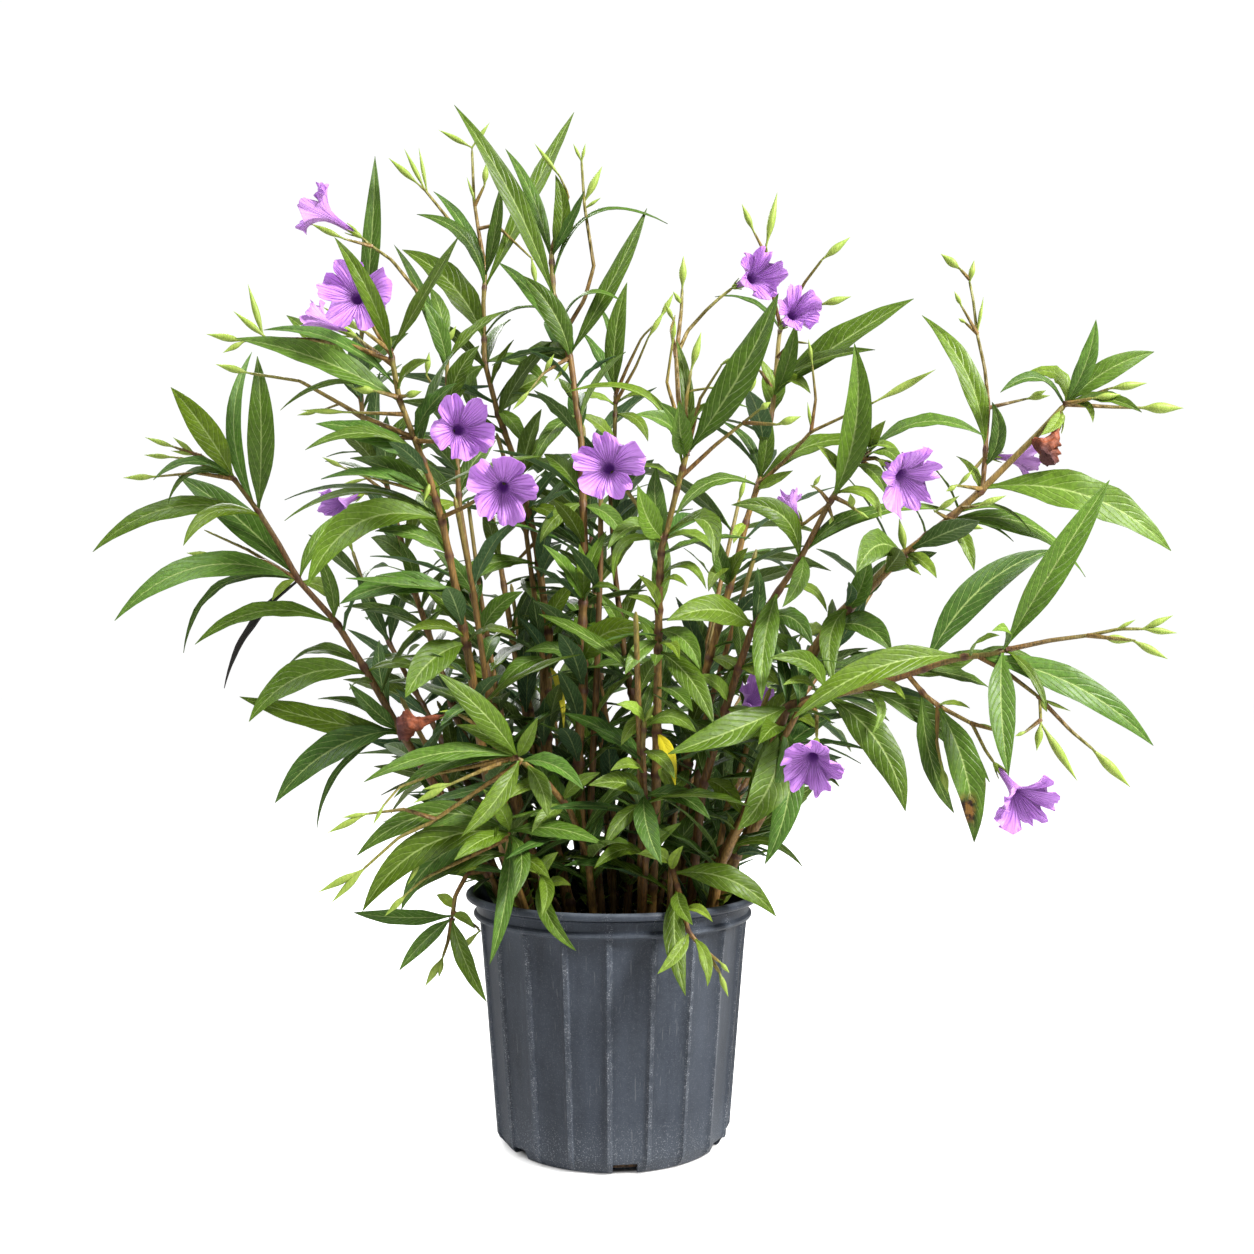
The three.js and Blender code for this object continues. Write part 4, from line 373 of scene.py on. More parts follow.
# %% Fine growth, too small for the solids
FINE = {
    "left_long": {"twigs": [
        (6, -395, 650, -425, 660), (-8, -362, 629, -405, 647, -424, 649),
        (14, -362, 629, -400, 634, -440, 630), (-16, -300, 533, -350, 560, -392, 579),
    ], "buds": [
        (-420, 658, -449, 668, 6), (-402, 653, -422, 668, 6), (-420, 649, -450, 651, 6),
        (-436, 631, -470, 629, 7), (-398, 651, -424, 655, 5),
    ], "leaves": [(-303, 531, -327, 511, 20, 8, 2, 30), (-299, 529, -262, 505, -30, 18, 6, 30)]},
    "left_back": {"twigs": [
        (30, -214, 612, -240, 632, -262, 640), (-20, -238, 686, -262, 700, -284, 692),
    ], "buds": [(-258, 639, -279, 649, 6), (-280, 693, -303, 689, 6), (-235, 628, -262, 622, 5)],
    "leaves": [
        (-220, 630, -168, 640, 20, 18, 6, 35), (-196, 545, -232, 572, -20, 20, 5, 30),
        (-190, 522, -205, 570, 30, 16, 4, 30),
    ]},
    "left_front": {"twigs": [
        (8, -200, 690, -256, 692), (10, -172, 612, -205, 622, -236, 630),
        (-14, -190, 668, -230, 668, -252, 672),
    ], "buds": [
        (-335, 765, -350, 815, 7), (-333, 764, -364, 789, 7), (-353, 759, -374, 749, 6),
        (-252, 692, -299, 694, 6), (-232, 629, -256, 640, 6), (-250, 672, -268, 671, 6),
        (-214, 750, -216, 770, 7), (-176, 627, -181, 606, 6),
    ], "leaves": [
        (-142, 474, -197, 482, 60, 16, 4, 30), (-142, 470, -92, 476, 30, 15, 8, 50),
        (-207, 712, -176, 742, 30, 14, 3, 30),
    ]},
    "left_middle": {"twigs": [(20, -230, 851, -260, 859), (0, -156, 700, -172, 716, -180, 730)],
    "buds": [
        (-256, 858, -290, 873, 7), (-180, 728, -176, 750, 7), (-160, 757, -150, 775, 7),
    ], "leaves": [
        (-160, 758, -175, 812, -20, 16, 3, 30), (-147, 602, -178, 585, 20, 16, 6, 40),
        (-120, 432, -162, 448, 30, 18, 4, 40),
    ]},
    "upper_left": {"twigs": [
        (14, -129, 868, -112, 872, -76, 838), (10, -74, 569, -96, 545, -122, 541),
    ], "buds": [
        (-180, 905, -200, 945, 6), (-178, 903, -186, 946, 5), (-135, 945, -167, 963, 7),
        (-135, 945, -118, 970, 6), (-78, 840, -73, 813, 7), (-132, 892, -140, 918, 4),
        (-118, 541, -142, 534, 7),
    ], "leaves": [
        (-63, 480, -35, 530, 20, 17, 4, 30), (-121, 738, -150, 700, 20, 17, 6, 30),
        (-112, 694, -84, 660, 20, 16, 3, 35), (-88, 630, -50, 672, 10, 20, 4, 30),
        (-80, 600, -46, 580, 30, 17, 5, 35),
    ]},
    "centre_tall": {"twigs": [
        (24, -58, 848, -42, 900, -52, 921), (18, -41, 745, -66, 730, -80, 712),
    ], "buds": [
        (-30, 934, -38, 950, 4), (-30, 934, -26, 950, 4), (-50, 918, -75, 950, 6),
        (-27, 888, -11, 898, 4), (-78, 714, -96, 694, 6), (-41, 742, -56, 722, 6),
        (-66, 730, -56, 748, 6),
    ], "leaves": [
        (-29, 507, 8, 520, 40, 13, 10, 45), (-28, 510, -32, 566, 26, 14, 2, 20),
        (-30, 604, -70, 566, 20, 18, 6, 30), (-30, 602, 12, 566, 24, 17, 8, 30),
        (-29, 448, -84, 462, 20, 18, 8, 35), (-41, 738, -84, 750, -30, 20, 4, 30),
    ]},
    "centre_back": {"twigs": [
        (30, 3, 708, 14, 735, 28, 764, 47, 783), (40, 4, 700, 22, 735, 36, 768),
        (20, -1, 600, 8, 625, 22, 640),
    ], "buds": [(44, 782, 59, 807, 7), (34, 764, 50, 790, 7)], "leaves": [
        (3, 700, 45, 703, 20, 10, 4, 50), (3, 698, -38, 706, 16, 11, 4, 45),
        (2, 690, 34, 664, 26, 14, 8, 35), (1, 660, -32, 690, 20, 16, 4, 30),
        (2, 548, 32, 592, 14, 13, 3, 30), (9, 476, -16, 520, 20, 13, 3, 30),
    ]},
    "centre_front": {"twigs": [
        (20, 71, 653, 84, 705, 107, 741), (16, 72, 655, 52, 720, 58, 763),
        (0, 70, 650, 72, 712, 97, 716), (-30, 60, 745, 56, 772, 60, 785),
    ], "buds": [
        (104, 738, 116, 745, 4), (140, 695, 152, 702, 7), (56, 758, 60, 780, 5),
        (58, 780, 50, 797, 5), (66, 796, 58, 808, 5), (94, 715, 108, 714, 4),
    ], "leaves": [
        (71, 650, 64, 703, 60, 18, -4, 10), (62, 620, 22, 640, 30, 15, 6, 50),
        (46, 566, 1, 530, 20, 11, 18, 45), (46, 568, -5, 560, 36, 16, 14, 35),
        (47, 572, 24, 622, 50, 23, -6, 15), (50, 572, 98, 548, 50, 21, 24, 35),
        (49, 570, 100, 556, 16, 15, 7, 60), (46, 535, 90, 522, 25, 9, 14, 45),
        (45, 520, 72, 525, 30, 8, 8, 40), (44, 500, 24, 536, 25, 10, 3, 30),
        (44, 495, 15, 515, 34, 9, 4, 30), (44, 483, 84, 445, 30, 18, 8, 25),
        (43, 470, 64, 455, 44, 11, 5, 30), (43, 474, 12, 440, 36, 15, 4, 30),
        (43, 385, 60, 334, 56, 12, 3, 10), (43, 400, 8, 372, 30, 15, 6, 30),
        (42, 350, 58, 322, 30, 12, 4, 20),
    ]},
    "right_middle": {"twigs": [
        (10, 149, 840, 134, 868), (24, 154, 712, 140, 734, 128, 728),
        (10, 191, 674, 195, 705, 191, 742), (24, 158, 745, 172, 760, 188, 758),
    ], "buds": [
        (134, 866, 124, 892, 7), (131, 728, 128, 708, 6), (191, 738, 188, 762, 5),
        (220, 687, 240, 706, 4), (190, 676, 187, 702, 4),
    ], "leaves": [
        (141, 617, 173, 636, 30, 11, -2, 20), (154, 702, 140, 745, 0, 11, 3, 35),
        (155, 706, 190, 710, 25, 15, 12, 40), (112, 525, 97, 577, 26, 16, -4, 30),
        (113, 528, 130, 562, 24, 14, 3, 35), (118, 548, 92, 520, 26, 14, 6, 35),
        (128, 585, 116, 566, 20, 10, 2, 30), (75, 390, 120, 360, 30, 17, 8, 35),
        (84, 428, 56, 470, 24, 16, 4, 30), (93, 455, 128, 430, 24, 16, 6, 35),
        (103, 488, 76, 512, 20, 14, 3, 30), (72, 352, 48, 325, 44, 12, -4, 15),
    ]},
    "right_upper": {"twigs": [
        (-20, 206, 602, 182, 584, 176, 592), (10, 208, 606, 198, 618, 190, 622),
        (20, 236, 646, 262, 630, 270, 612), (14, 206, 603, 212, 588),
    ], "buds": [
        (192, 621, 200, 632, 5), (234, 597, 246, 590, 4), (266, 616, 262, 598, 6),
        (210, 592, 208, 584, 4),
    ], "leaves": [
        (182, 555, 163, 505, 40, 15, -6, 30), (160, 521, 206, 500, 10, 10, 10, 50),
        (238, 648, 276, 640, 60, 17, 8, 25), (236, 646, 276, 652, 36, 13, 8, 40),
        (232, 642, 263, 612, 40, 13, 4, 30), (213, 614, 258, 590, 20, 15, 10, 45),
        (109, 408, 142, 378, 40, 18, 6, 30), (110, 412, 82, 440, 30, 16, 3, 30),
        (121, 445, 160, 430, 26, 16, 5, 35), (247, 655, 262, 684, 30, 12, 3, 20),
        (221, 627, 196, 660, 20, 11, 2, 30), (88, 338, 124, 305, 36, 17, 5, 30),
    ]},
    "right_long": {"twigs": [
        (10, 349, 768, 333, 797), (-8, 361, 697, 385, 702, 402, 706), (12, 321, 589, 308, 598),
        (26, 354, 618, 328, 622), (30, 335, 601, 352, 602), (26, 322, 590, 342, 584),
        (-6, 350, 768, 336, 780),
    ], "buds": [
        (342, 818, 347, 838, 7), (334, 795, 328, 808, 5), (350, 768, 356, 803, 4),
        (398, 705, 416, 713, 7), (396, 706, 420, 708, 6), (310, 597, 333, 612, 7),
        (331, 621, 346, 637, 5), (330, 621, 320, 616, 6), (349, 602, 378, 612, 7),
        (339, 585, 356, 580, 7), (338, 779, 332, 782, 4),
    ], "leaves": [
        (435, 700, 396, 729, -10, 16, 14, 40), (434, 698, 461, 682, 20, 8, 9, 45),
        (430, 694, 411, 670, 16, 11, -4, 30), (322, 588, 347, 540, 20, 13, 2, 30),
        (278, 555, 234, 538, 50, 29, 14, 20), (280, 556, 311, 533, 30, 14, 2, 30),
        (279, 555, 296, 536, 10, 9, -3, 40), (226, 503, 246, 556, 40, 19, -4, 20),
        (206, 482, 178, 470, -20, 17, 6, 35), (181, 447, 150, 480, 20, 18, 3, 30),
        (352, 615, 330, 650, -20, 9, 4, 40), (165, 402, 196, 388, 24, 14, 4, 35),
    ]},
    "right_low": {"twigs": [(12, 345, 393, 372, 385), (8, 411, 396, 392, 382)], "buds": [
        (508, 484, 538, 497, 7), (510, 484, 542, 480, 7), (482, 483, 502, 493, 4),
        (368, 386, 382, 384, 4), (410, 418, 440, 405, 4), (410, 416, 417, 404, 5),
        (396, 384, 386, 381, 4), (346, 393, 368, 389, 4),
    ], "leaves": [
        (375, 463, 364, 482, 40, 11, 10, 30), (342, 457, 371, 478, 40, 13, 4, 40),
        (312, 410, 343, 408, 20, 6, 2, 40), (242, 428, 281, 416, 30, 10, 6, 50),
        (232, 425, 249, 383, 30, 9, 14, 40), (198, 419, 163, 430, 30, 10, 8, 40),
    ]},
    "low_left": {"twigs": [
        (10, -170, 301, -200, 311, -240, 306), (30, -92, 360, -170, 345, -205, 332, -222, 312),
    ], "buds": [
        (-154, 335, -183, 330, 6), (-236, 307, -274, 288, 7), (-234, 308, -260, 303, 5),
        (-220, 314, -230, 296, 4),
    ], "leaves": [
        (-91, 360, -72, 399, 30, 12, -2, 20), (-84, 354, -62, 303, 24, 17, 4, 25),
        (-60, 334, -98, 322, 34, 14, 4, 35), (-48, 320, -12, 346, 24, 13, 3, 30),
        (-45, 315, -78, 285, 30, 14, 4, 30),
    ]},
    "low_front": {"twigs": [
        (30, -100, 284, -140, 264, -180, 245, -202, 226), (20, -100, 288, -160, 276, -186, 262),
    ], "buds": [(-198, 230, -219, 208, 7), (-184, 263, -197, 238, 5)], "leaves": [
        (-99, 290, -124, 330, 30, 15, 3, 25), (-101, 262, -60, 244, 40, 14, 6, 30),
    ]},
    "over_rim_left": {"twigs": [(26, -152, 212, -130, 198, -127, 193)], "buds": [
        (-163, 168, -167, 149, 6), (-128, 194, -153, 170, 7),
    ], "leaves": [
        (-153, 214, -169, 229, -10, 10, 2, 30), (-154, 210, -132, 196, 26, 9, 3, 30),
        (-140, 250, -160, 276, 10, 12, 3, 30), (-120, 252, -150, 248, 30, 10, 5, 40),
    ]},
    "over_rim_front": {"twigs": [(6, 88, 175, 106, 162)], "buds": [
        (102, 155, 111, 131, 6), (104, 163, 112, 154, 5), (82, 182, 90, 150, 6),
    ], "leaves": [
        (63, 233, 77, 200, 48, 14, -4, 10), (73, 193, 43, 153, 26, 11, -3, 15),
        (78, 188, 91, 141, 26, 10, 5, 25), (68, 212, 96, 203, 25, 9, 5, 40),
        (58, 252, 68, 276, 12, 9, 3, 20), (56, 257, 24, 268, 20, 13, 4, 30),
    ]},
    "front_centre": {"buds": [(32, 396, 40, 412, 6)], "leaves": [
        (31, 323, -23, 334, 40, 19, 6, 25), (32, 268, -18, 254, 40, 16, 8, 35),
        (30, 388, 81, 384, 30, 16, 10, 40), (30, 345, -2, 348, 34, 13, 5, 40),
        (32, 264, 66, 298, 20, 11, 3, 30), (30, 394, 4, 412, 24, 13, 4, 30),
        (30, 365, 60, 340, 40, 13, 4, 30),
    ]},
    "front_sprout": {"leaves": [
        (-70, 247, -68, 208, 46, 13, 6, 20), (-69, 246, -52, 270, 24, 11, 3, 20),
        (-70, 247, -96, 262, 20, 11, 3, 30), (-66, 236, -40, 238, 24, 10, 4, 35),
    ]},
    "back_left": {"buds": [(-139, 716, -146, 742, 7)]},
    "back_centre": {"buds": [(-28, 676, -34, 704, 7)]},
    "back_right": {"buds": [(122, 606, 128, 632, 7)]},
    "far_right": {"buds": [(261, 541, 272, 566, 7)]},
    "far_left": {"buds": [(-249, 556, -258, 582, 7)]},
    "rear_low": {"buds": [(-66, 476, -72, 498, 7)]},
    "rear_right": {"buds": [(135, 436, 144, 456, 7)]},
}

# %% The bush as it is seen from the front, and the bright gaps in it
OUTLINE = [
    (-128, 226), (-160, 236), (-212, 240), (-205, 270), (-228, 300), (-222, 345), (-255, 372),
    (-240, 400), (-262, 440), (-268, 480), (-262, 520), (-296, 560), (-296, 610), (-276, 650),
    (-282, 690), (-276, 720), (-300, 752), (-262, 790), (-226, 840), (-190, 812), (-160, 852),
    (-135, 884), (-108, 872), (-92, 832), (-72, 844), (-58, 880), (-36, 850), (-22, 790),
    (-16, 752), (4, 796), (16, 770), (26, 726), (62, 742), (78, 704), (98, 724), (122, 766),
    (142, 796), (152, 742), (196, 738), (168, 690), (166, 640), (205, 646), (232, 712), (240, 664),
    (300, 676), (350, 650), (336, 606), (400, 604), (430, 592), (404, 566), (320, 560), (286, 540),
    (246, 504), (236, 474), (310, 462), (370, 470), (404, 440), (356, 398), (330, 350), (290, 388),
    (244, 398), (250, 360), (214, 330), (176, 300), (158, 262), (132, 238),
]
GAPS = [
    (96, 634, 18), (104, 596, 14), (72, 532, 16), (24, 545, 12), (188, 520, 20), (226, 560, 14),
    (-184, 562, 12), (-94, 566, 12), (-200, 622, 10), (10, 418, 9), (-110, 500, 8), (-224, 408, 12),
    (-178, 408, 10), (-245, 570, 8), (-60, 660, 8), (-96, 668, 9), (28, 505, 8), (196, 592, 10),
]
print("readings:", sum(len(shoot.get("leaves", ())) for shoot in SHOOTS.values()), "large leaves,",
      sum(len(fine.get("leaves", ())) for fine in FINE.values()), "small ones,",
      len(BLOOMS), "open blooms")

# %% [markdown]
# ## Limbs that remember where they are
#
# Stems and twigs run straight from one reading to the next, as a ruellia's do from joint to joint.
# A shoot keeps points all along its limbs, so that a leaf or a bud finds the spot it grows from:
# the one that is seen nearest to the reading. The same sums made the solids, so what grows here
# starts and ends where theirs does.


# %% Lines and roots
JOINT_SPACING = 14
ROOT_SPACING = 3


def corner_marks(points):
    """How far along a line each of its corners is."""
    steps = [np.linalg.norm(b - a) for a, b in zip(points, points[1:])]
    return np.concatenate([[0], np.cumsum(steps)])


def spot_on(points, marks, share):
    """The point at a share of a line's length."""
    reach = min(max(share, 0), 1) * marks[-1]
    i = min(max(int(np.searchsorted(marks, reach)), 1), len(points) - 1)
    step = max(marks[i] - marks[i - 1], 1e-9)
    return lerp(points[i - 1], points[i], (reach - marks[i - 1]) / step)


def way_on(points, marks, share):
    step = 1e-4
    return unit(spot_on(points, marks, share + step) - spot_on(points, marks, share - step))


def add_limb(shoot, points, radii, kind):
    """Adds a limb, and with it the spots where leaves, buds and twigs can grow out of it."""
    marks = corner_marks(points)
    limb = {"points": points, "marks": marks, "radii": radii, "kind": kind, "joints": []}
    count = max(4, math.ceil(marks[-1] / ROOT_SPACING))
    for i in range(count + 1):
        point = spot_on(points, marks, i / count)
        radius = lerp(radii[0], radii[1], i / count)
        shoot["roots"].append((point, sight(point), radius, limb, marks[-1] * i / count))
    shoot["limbs"].append(limb)
    return limb


def root_on(shoot, across, up):
    return min(shoot["roots"], key=lambda root: math.hypot(root[1][0] - across, root[1][1] - up))


def mark_joint(limb, reach):
    """Remembers where leaves leave a limb, once for each pair of them."""
    if all(abs(reach - other) > JOINT_SPACING for other in limb["joints"]):
        limb["joints"].append(reach)


def root_behind(point, tip, depth):
    """What grows out of a limb starts a little behind it, so that its neck is sunk in."""
    return point - depth * unit(tip - point)


# %% Stems, twigs, buds and cups
SOIL_TOP = 200
STEM_FOOT = -24.65
STEM_RISE = 4
TWIG_RADII = (1.4, 1.1)
TWIG_SINK, LEAF_SINK = 0.4, 0.6
BUD_SINK = 1.2
BUD_NEARER = 4
STALK_TIP_RADIUS = 1.2
STALK_INTO_CUP = 2
CUP_LENGTH = 9


def grow_stem(name, number):
    row = SHOOTS[name]
    across, nearer = row["foot"]
    points = [np.array((across, -nearer, SOIL_TOP + rise), float)
              for rise in (STEM_FOOT, STEM_RISE)]
    points += [seen(*reading) for reading in row["path"]]
    shoot = {"number": number, "row": row, "roots": [], "limbs": [], "blades": [], "buds": [],
             "cups": []}
    shoot["stem"] = add_limb(shoot, points, row["thick"], "stem")
    return shoot


def add_twig(shoot, root, points, tip_radius, kind="twig"):
    start = root_behind(root[0], points[0], TWIG_SINK * root[2])
    add_limb(shoot, [start, *points], (min(TWIG_RADII[0], root[2]), tip_radius), kind)


def grow_twig(shoot, row, slim=1.0):
    nearer, readings = row[0], np.reshape(row[1:], (-1, 2))
    root = root_on(shoot, *readings[0])
    count = len(readings) - 1
    points = [seen(*spot, nearer * (i + 1) / count - root[0][1])
              for i, spot in enumerate(readings[1:])]
    add_twig(shoot, root, points, TWIG_RADII[1] * slim)


def grow_bud(shoot, row):
    across, up, tip_across, tip_up, width = row
    root = root_on(shoot, across, up)
    tip = seen(tip_across, tip_up, BUD_NEARER - root[0][1])
    shoot["buds"].append({"start": root_behind(root[0], tip, BUD_SINK), "tip": tip, "width": width})


def grow_cup(shoot, stalk, end, onward):
    """The green cup that holds a bloom, and the stalk that leads to it."""
    away = unit(onward - end)
    foot = end - CUP_LENGTH * away
    readings = np.reshape(stalk, (-1, 2))
    root = root_on(shoot, *readings[0])
    count = len(readings) - 1
    points = [seen(*spot, lerp(-root[0][1], -foot[1], (i + 1) / (count + 1)))
              for i, spot in enumerate(readings[1:])]
    add_twig(shoot, root, [*points, foot + STALK_INTO_CUP * away], STALK_TIP_RADIUS, "stalk")
    shoot["cups"].append({"start": foot, "tip": end, "away": away})


shoots = {name: grow_stem(name, number) for number, name in enumerate(SHOOTS)}
for bloom in [*BLOOMS, *WITHERED.values()]:
    onward = bloom["mouth"] if "mouth" in bloom else bloom["tip"]
    grow_cup(shoots[bloom["on"]], bloom["stalk"], seen(*bloom["base"]), seen(*onward))
for shoot in shoots.values():
    for row in shoot["row"].get("twigs", ()):
        grow_twig(shoot, row)
    for row in shoot["row"].get("buds", ()):
        grow_bud(shoot, row)
print("limbs so far:", sum(len(shoot["limbs"]) for shoot in shoots.values()))

# %% [markdown]
# ## Leaves where the solids have them
#
# When the solids grew, a leaf that met another shoot moved a step nearer or farther, and a filling
# leaf tried a few turns. Its tip is a corner of its shoot's solid, so the step that was taken is
# found by looking which tip is there. Small leaves that no solid has stay at their first step.
#
# A few leaves stand out in the photograph, and each is known by the reading of its tip: two have
# yellowed, one is scorched, one is near black, and one lies over a bloom. Yellow counts
# from 0 to 1, and -1 stands for scorched.

# %% Large leaves
DEPTH_STEPS = (0, 12, -12, 24, -24, 38, -38, 54, -54, 72, -72)
BLADE_ARCH = 0.14
SAME_SPOT = 0.2
YELLOWED = {(60, 334): 0.95, (-47, 388): 0.6, (347, 279): -1}
BLACK_TIP = (-373, 427)
BLACK_BOW, BLACK_BREADTH = 0.3, 1.4
LAID_OVER_TIP = (-267, 860)
LAID_OVER_READINGS = ((-228, 811, 285), (-267, 860, 235))
LAID_OVER_BREADTH = 0.8


def corners_of(node):
    """The corners of a node's solid, in a tree that finds the nearest one."""
    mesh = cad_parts[node].data
    tree = kdtree.KDTree(len(mesh.vertices))
    for corner in mesh.vertices:
        tree.insert(corner.co / MM, corner.index)
    tree.balance()
    return tree


def is_corner(tree, point):
    return tree.find(Vector(point))[2] < SAME_SPOT


def out_from(chord, face):
    """The part of a direction that is square to a chord."""
    along = unit(chord)
    return unit(face - along * face.dot(along))


def leaf_line(start, tip, bow, face):
    """The three points that bend a leaf's middle line."""
    chord = tip - start
    upward = unit(np.array((-chord[2], 0, chord[0])))
    if upward[2] + 0.2 * upward[0] < 0:
        upward = -upward
    middle = lerp(start, tip, 0.5) + 2 * bow * upward
    return start, middle + BLADE_ARCH * np.linalg.norm(chord) * out_from(chord, face), tip


def add_blade(shoot, start, tip, width, bow, face, kind):
    number = len(shoot["blades"]) + 100 * shoot["number"]
    blade = {"line": leaf_line(start, tip, bow, face), "out": out_from(tip - start, face),
             "width": width, "kind": kind, "number": number, "yellow": 0}
    shoot["blades"].append(blade)
    return blade


def grow_leaf(shoot, row, tree, kind):
    across, up, tip_across, tip_up, nearer, width, bow, face_angle = row
    root = root_on(shoot, across, up)
    turn = math.radians(face_angle)
    face = np.array((0, -math.cos(turn), math.sin(turn)))
    tips = [seen(tip_across, tip_up, nearer + step - root[0][1]) for step in DEPTH_STEPS]
    tip = next((one for one in tips if tree and is_corner(tree, one)), tips[0])
    mark_joint(root[3], root[4])
    start = root_behind(root[0], tip, LEAF_SINK * root[2])
    blade = add_blade(shoot, start, tip, width, bow, face, kind)
    blade["yellow"] = YELLOWED.get((tip_across, tip_up), 0)
    blade["black"] = (tip_across, tip_up) == BLACK_TIP
    if blade["black"]:
        blade["line"] = leaf_line(start, tip, BLACK_BOW * bow, face)
        blade["width"] = BLACK_BREADTH * width
    if (tip_across, tip_up) == LAID_OVER_TIP:
        middle, tip = (seen(*spot) for spot in LAID_OVER_READINGS)
        blade["line"], blade["out"] = (start, middle, tip), out_from(tip - start, face)
        blade["width"] = LAID_OVER_BREADTH * width


trees = {name: corners_of("shoot_" + name) for name in shoots}
for name, shoot in shoots.items():
    for row in shoot["row"].get("leaves", ()):
        grow_leaf(shoot, row, trees[name], "large")

# %% Filling leaves of the solids
FILL_SPACING = 88
FILL_LENGTHS = (92, 142)
FILL_LEANS = (48, 72)
FILL_DROOP = 0.2
FILL_BREADTH = 0.165
FILL_TURNS = (-15, 15)
FILL_STEPS = ((0, 1), (24, 1), (-24, 1), (0, 0.76), (46, 0.9), (-46, 0.9), (24, 0.7), (-24, 0.7))


def fill_blade(stem, share, turn, lean, length):
    """Root, tip and face of a leaf that leaves a stem at a turn about it and a lean from it."""
    root = spot_on(stem["points"], stem["marks"], share)
    up = way_on(stem["points"], stem["marks"], share)
    across = unit(np.cross(up, (0, 1, 0)))
    toward = np.cross(up, across)
    turn, lean = math.radians(turn), math.radians(lean)
    reach = across * math.cos(turn) + toward * math.sin(turn)
    tip = root + length * (up * math.cos(lean) + reach * math.sin(lean))
    face = out_from(tip - root, up)
    tip[2] -= FILL_DROOP * length
    return root_behind(root, tip, LEAF_SINK * lerp(*stem["radii"], share)), tip, face


def grow_fill(shoot, tree):
    """Tries each filling leaf as the solids did, and keeps the one whose tip the solid has."""
    start, end, first = shoot["row"]["fill"]
    pairs = math.floor(shoot["stem"]["marks"][-1] * (end - start) / FILL_SPACING + 0.5)
    for k in range(2 * pairs):
        pair, seed = k // 2, shoot["number"] * 100 + k
        share = start + (end - start) * (pair + 0.5) / pairs
        turn = first + pair * 90 + (k % 2) * 180 + lerp(*FILL_TURNS, chance(seed))
        lean = lerp(*FILL_LEANS, chance(seed + 0.7))
        length = lerp(*FILL_LENGTHS, chance(seed + 0.3))
        for step, shorter in FILL_STEPS:
            root, tip, face = fill_blade(shoot["stem"], share, turn + step, lean, length * shorter)
            if is_corner(tree, tip):
                add_blade(shoot, root, tip, FILL_BREADTH * length * shorter, 0, face, "fill")
                mark_joint(shoot["stem"], share * shoot["stem"]["marks"][-1])
                break


for name, shoot in shoots.items():
    if shoot["row"]["fill"]:
        grow_fill(shoot, trees[name])
print("leaves of the solids:", sum(len(shoot["blades"]) for shoot in shoots.values()))

# %% [markdown]
# ## The small growth
#
# Young sprays at the top, thin twigs and the leaves of the dense middle are too fine for the
# solids. The sprays were read like the rest. The middle is filled by rule: short leaves in pairs
# along each stem, kept inside the bush's outline, off its bright gaps and out of the blooms' way.

# %% Small leaves, twigs and buds
FINE_TWIG_SLIMNESS = 0.75

for name, fine in FINE.items():
    shoot = shoots[name]
    for row in fine.get("twigs", ()):
        grow_twig(shoot, row, FINE_TWIG_SLIMNESS)
    for row in fine.get("leaves", ()):
        grow_leaf(shoot, row, None, "young")
    for row in fine.get("buds", ()):
        grow_bud(shoot, row)
print("with the small growth:", sum(len(shoot["blades"]) for shoot in shoots.values()), "leaves,",
      sum(len(shoot["buds"]) for shoot in shoots.values()), "buds")

# %% The dense middle
MIDDLE_SPACING = 17
MIDDLE_LENGTHS = (58, 132)
MIDDLE_LEANS = (34, 78)
MIDDLE_REACH = (0.05, 0.86)
MIDDLE_TURNS = (-30, 30)
MIDDLE_BREADTHS = (0.14, 0.2)
CHECKED_PARTS = (0.35, 0.65, 0.85, 1)
GAP_MARGIN = 4
BLOOM_CLEARANCE = 0.6
BLOOM_DEPTH = 30
YELLOW_SPOTS = [(58, 348, 120, 24), (-52, 412, 100, 22)]
STEM_CLEARANCE = 6
STEM_DEPTH = 3
STEM_STEP, STEM_PART = 8, 0.9
BARE_SHARE = 0.8


def in_bush(across, up):
    """Whether a place is seen inside the outline and off the bright gaps."""
    crossings = 0
    for (x1, y1), (x2, y2) in zip(OUTLINE, OUTLINE[1:] + OUTLINE[:1]):
        if (y1 > up) != (y2 > up) and across < x1 + (up - y1) / (y2 - y1) * (x2 - x1):
            crossings += 1
    in_gap = any(math.hypot(x - across, y - up) < radius + GAP_MARGIN for x, y, radius in GAPS)
    return crossings % 2 == 1 and not in_gap


KEPT_CLEAR = [(*bloom["mouth"], BLOOM_CLEARANCE * bloom["spread"]) for bloom in BLOOMS]
KEPT_CLEAR += YELLOW_SPOTS


def hides_bloom(point):
    """Whether a point is seen in front of a bloom or of one of the two yellow leaves."""
    across, up = sight(point)
    return any(-point[1] > nearer - BLOOM_DEPTH and math.hypot(x - across, y - up) < radius
               for x, y, nearer, radius in KEPT_CLEAR)


def stem_sights():
    """Where the lower part of each stem is seen, step by step: across, up, nearer."""
    spots = []
    for shoot in shoots.values():
        stem = shoot["stem"]
        count = int(stem["marks"][-1] / STEM_STEP)
        for k in range(count):
            spot = spot_on(stem["points"], stem["marks"], STEM_PART * k / count)
            spots.append((*sight(spot), -spot[1]))
    return np.array(spots)


STEM_SIGHTS = stem_sights()


def hides_stem(point):
    across, up = sight(point)
    close = np.hypot(STEM_SIGHTS[:, 0] - across, STEM_SIGHTS[:, 1] - up) < STEM_CLEARANCE
    return bool((close & (STEM_SIGHTS[:, 2] < -point[1] - STEM_DEPTH)).any())


def bend(line, share):
    """A point on the curve that three points draw."""
    start, middle, tip = line
    return (1 - share) ** 2 * start + 2 * (1 - share) * share * middle + share**2 * tip


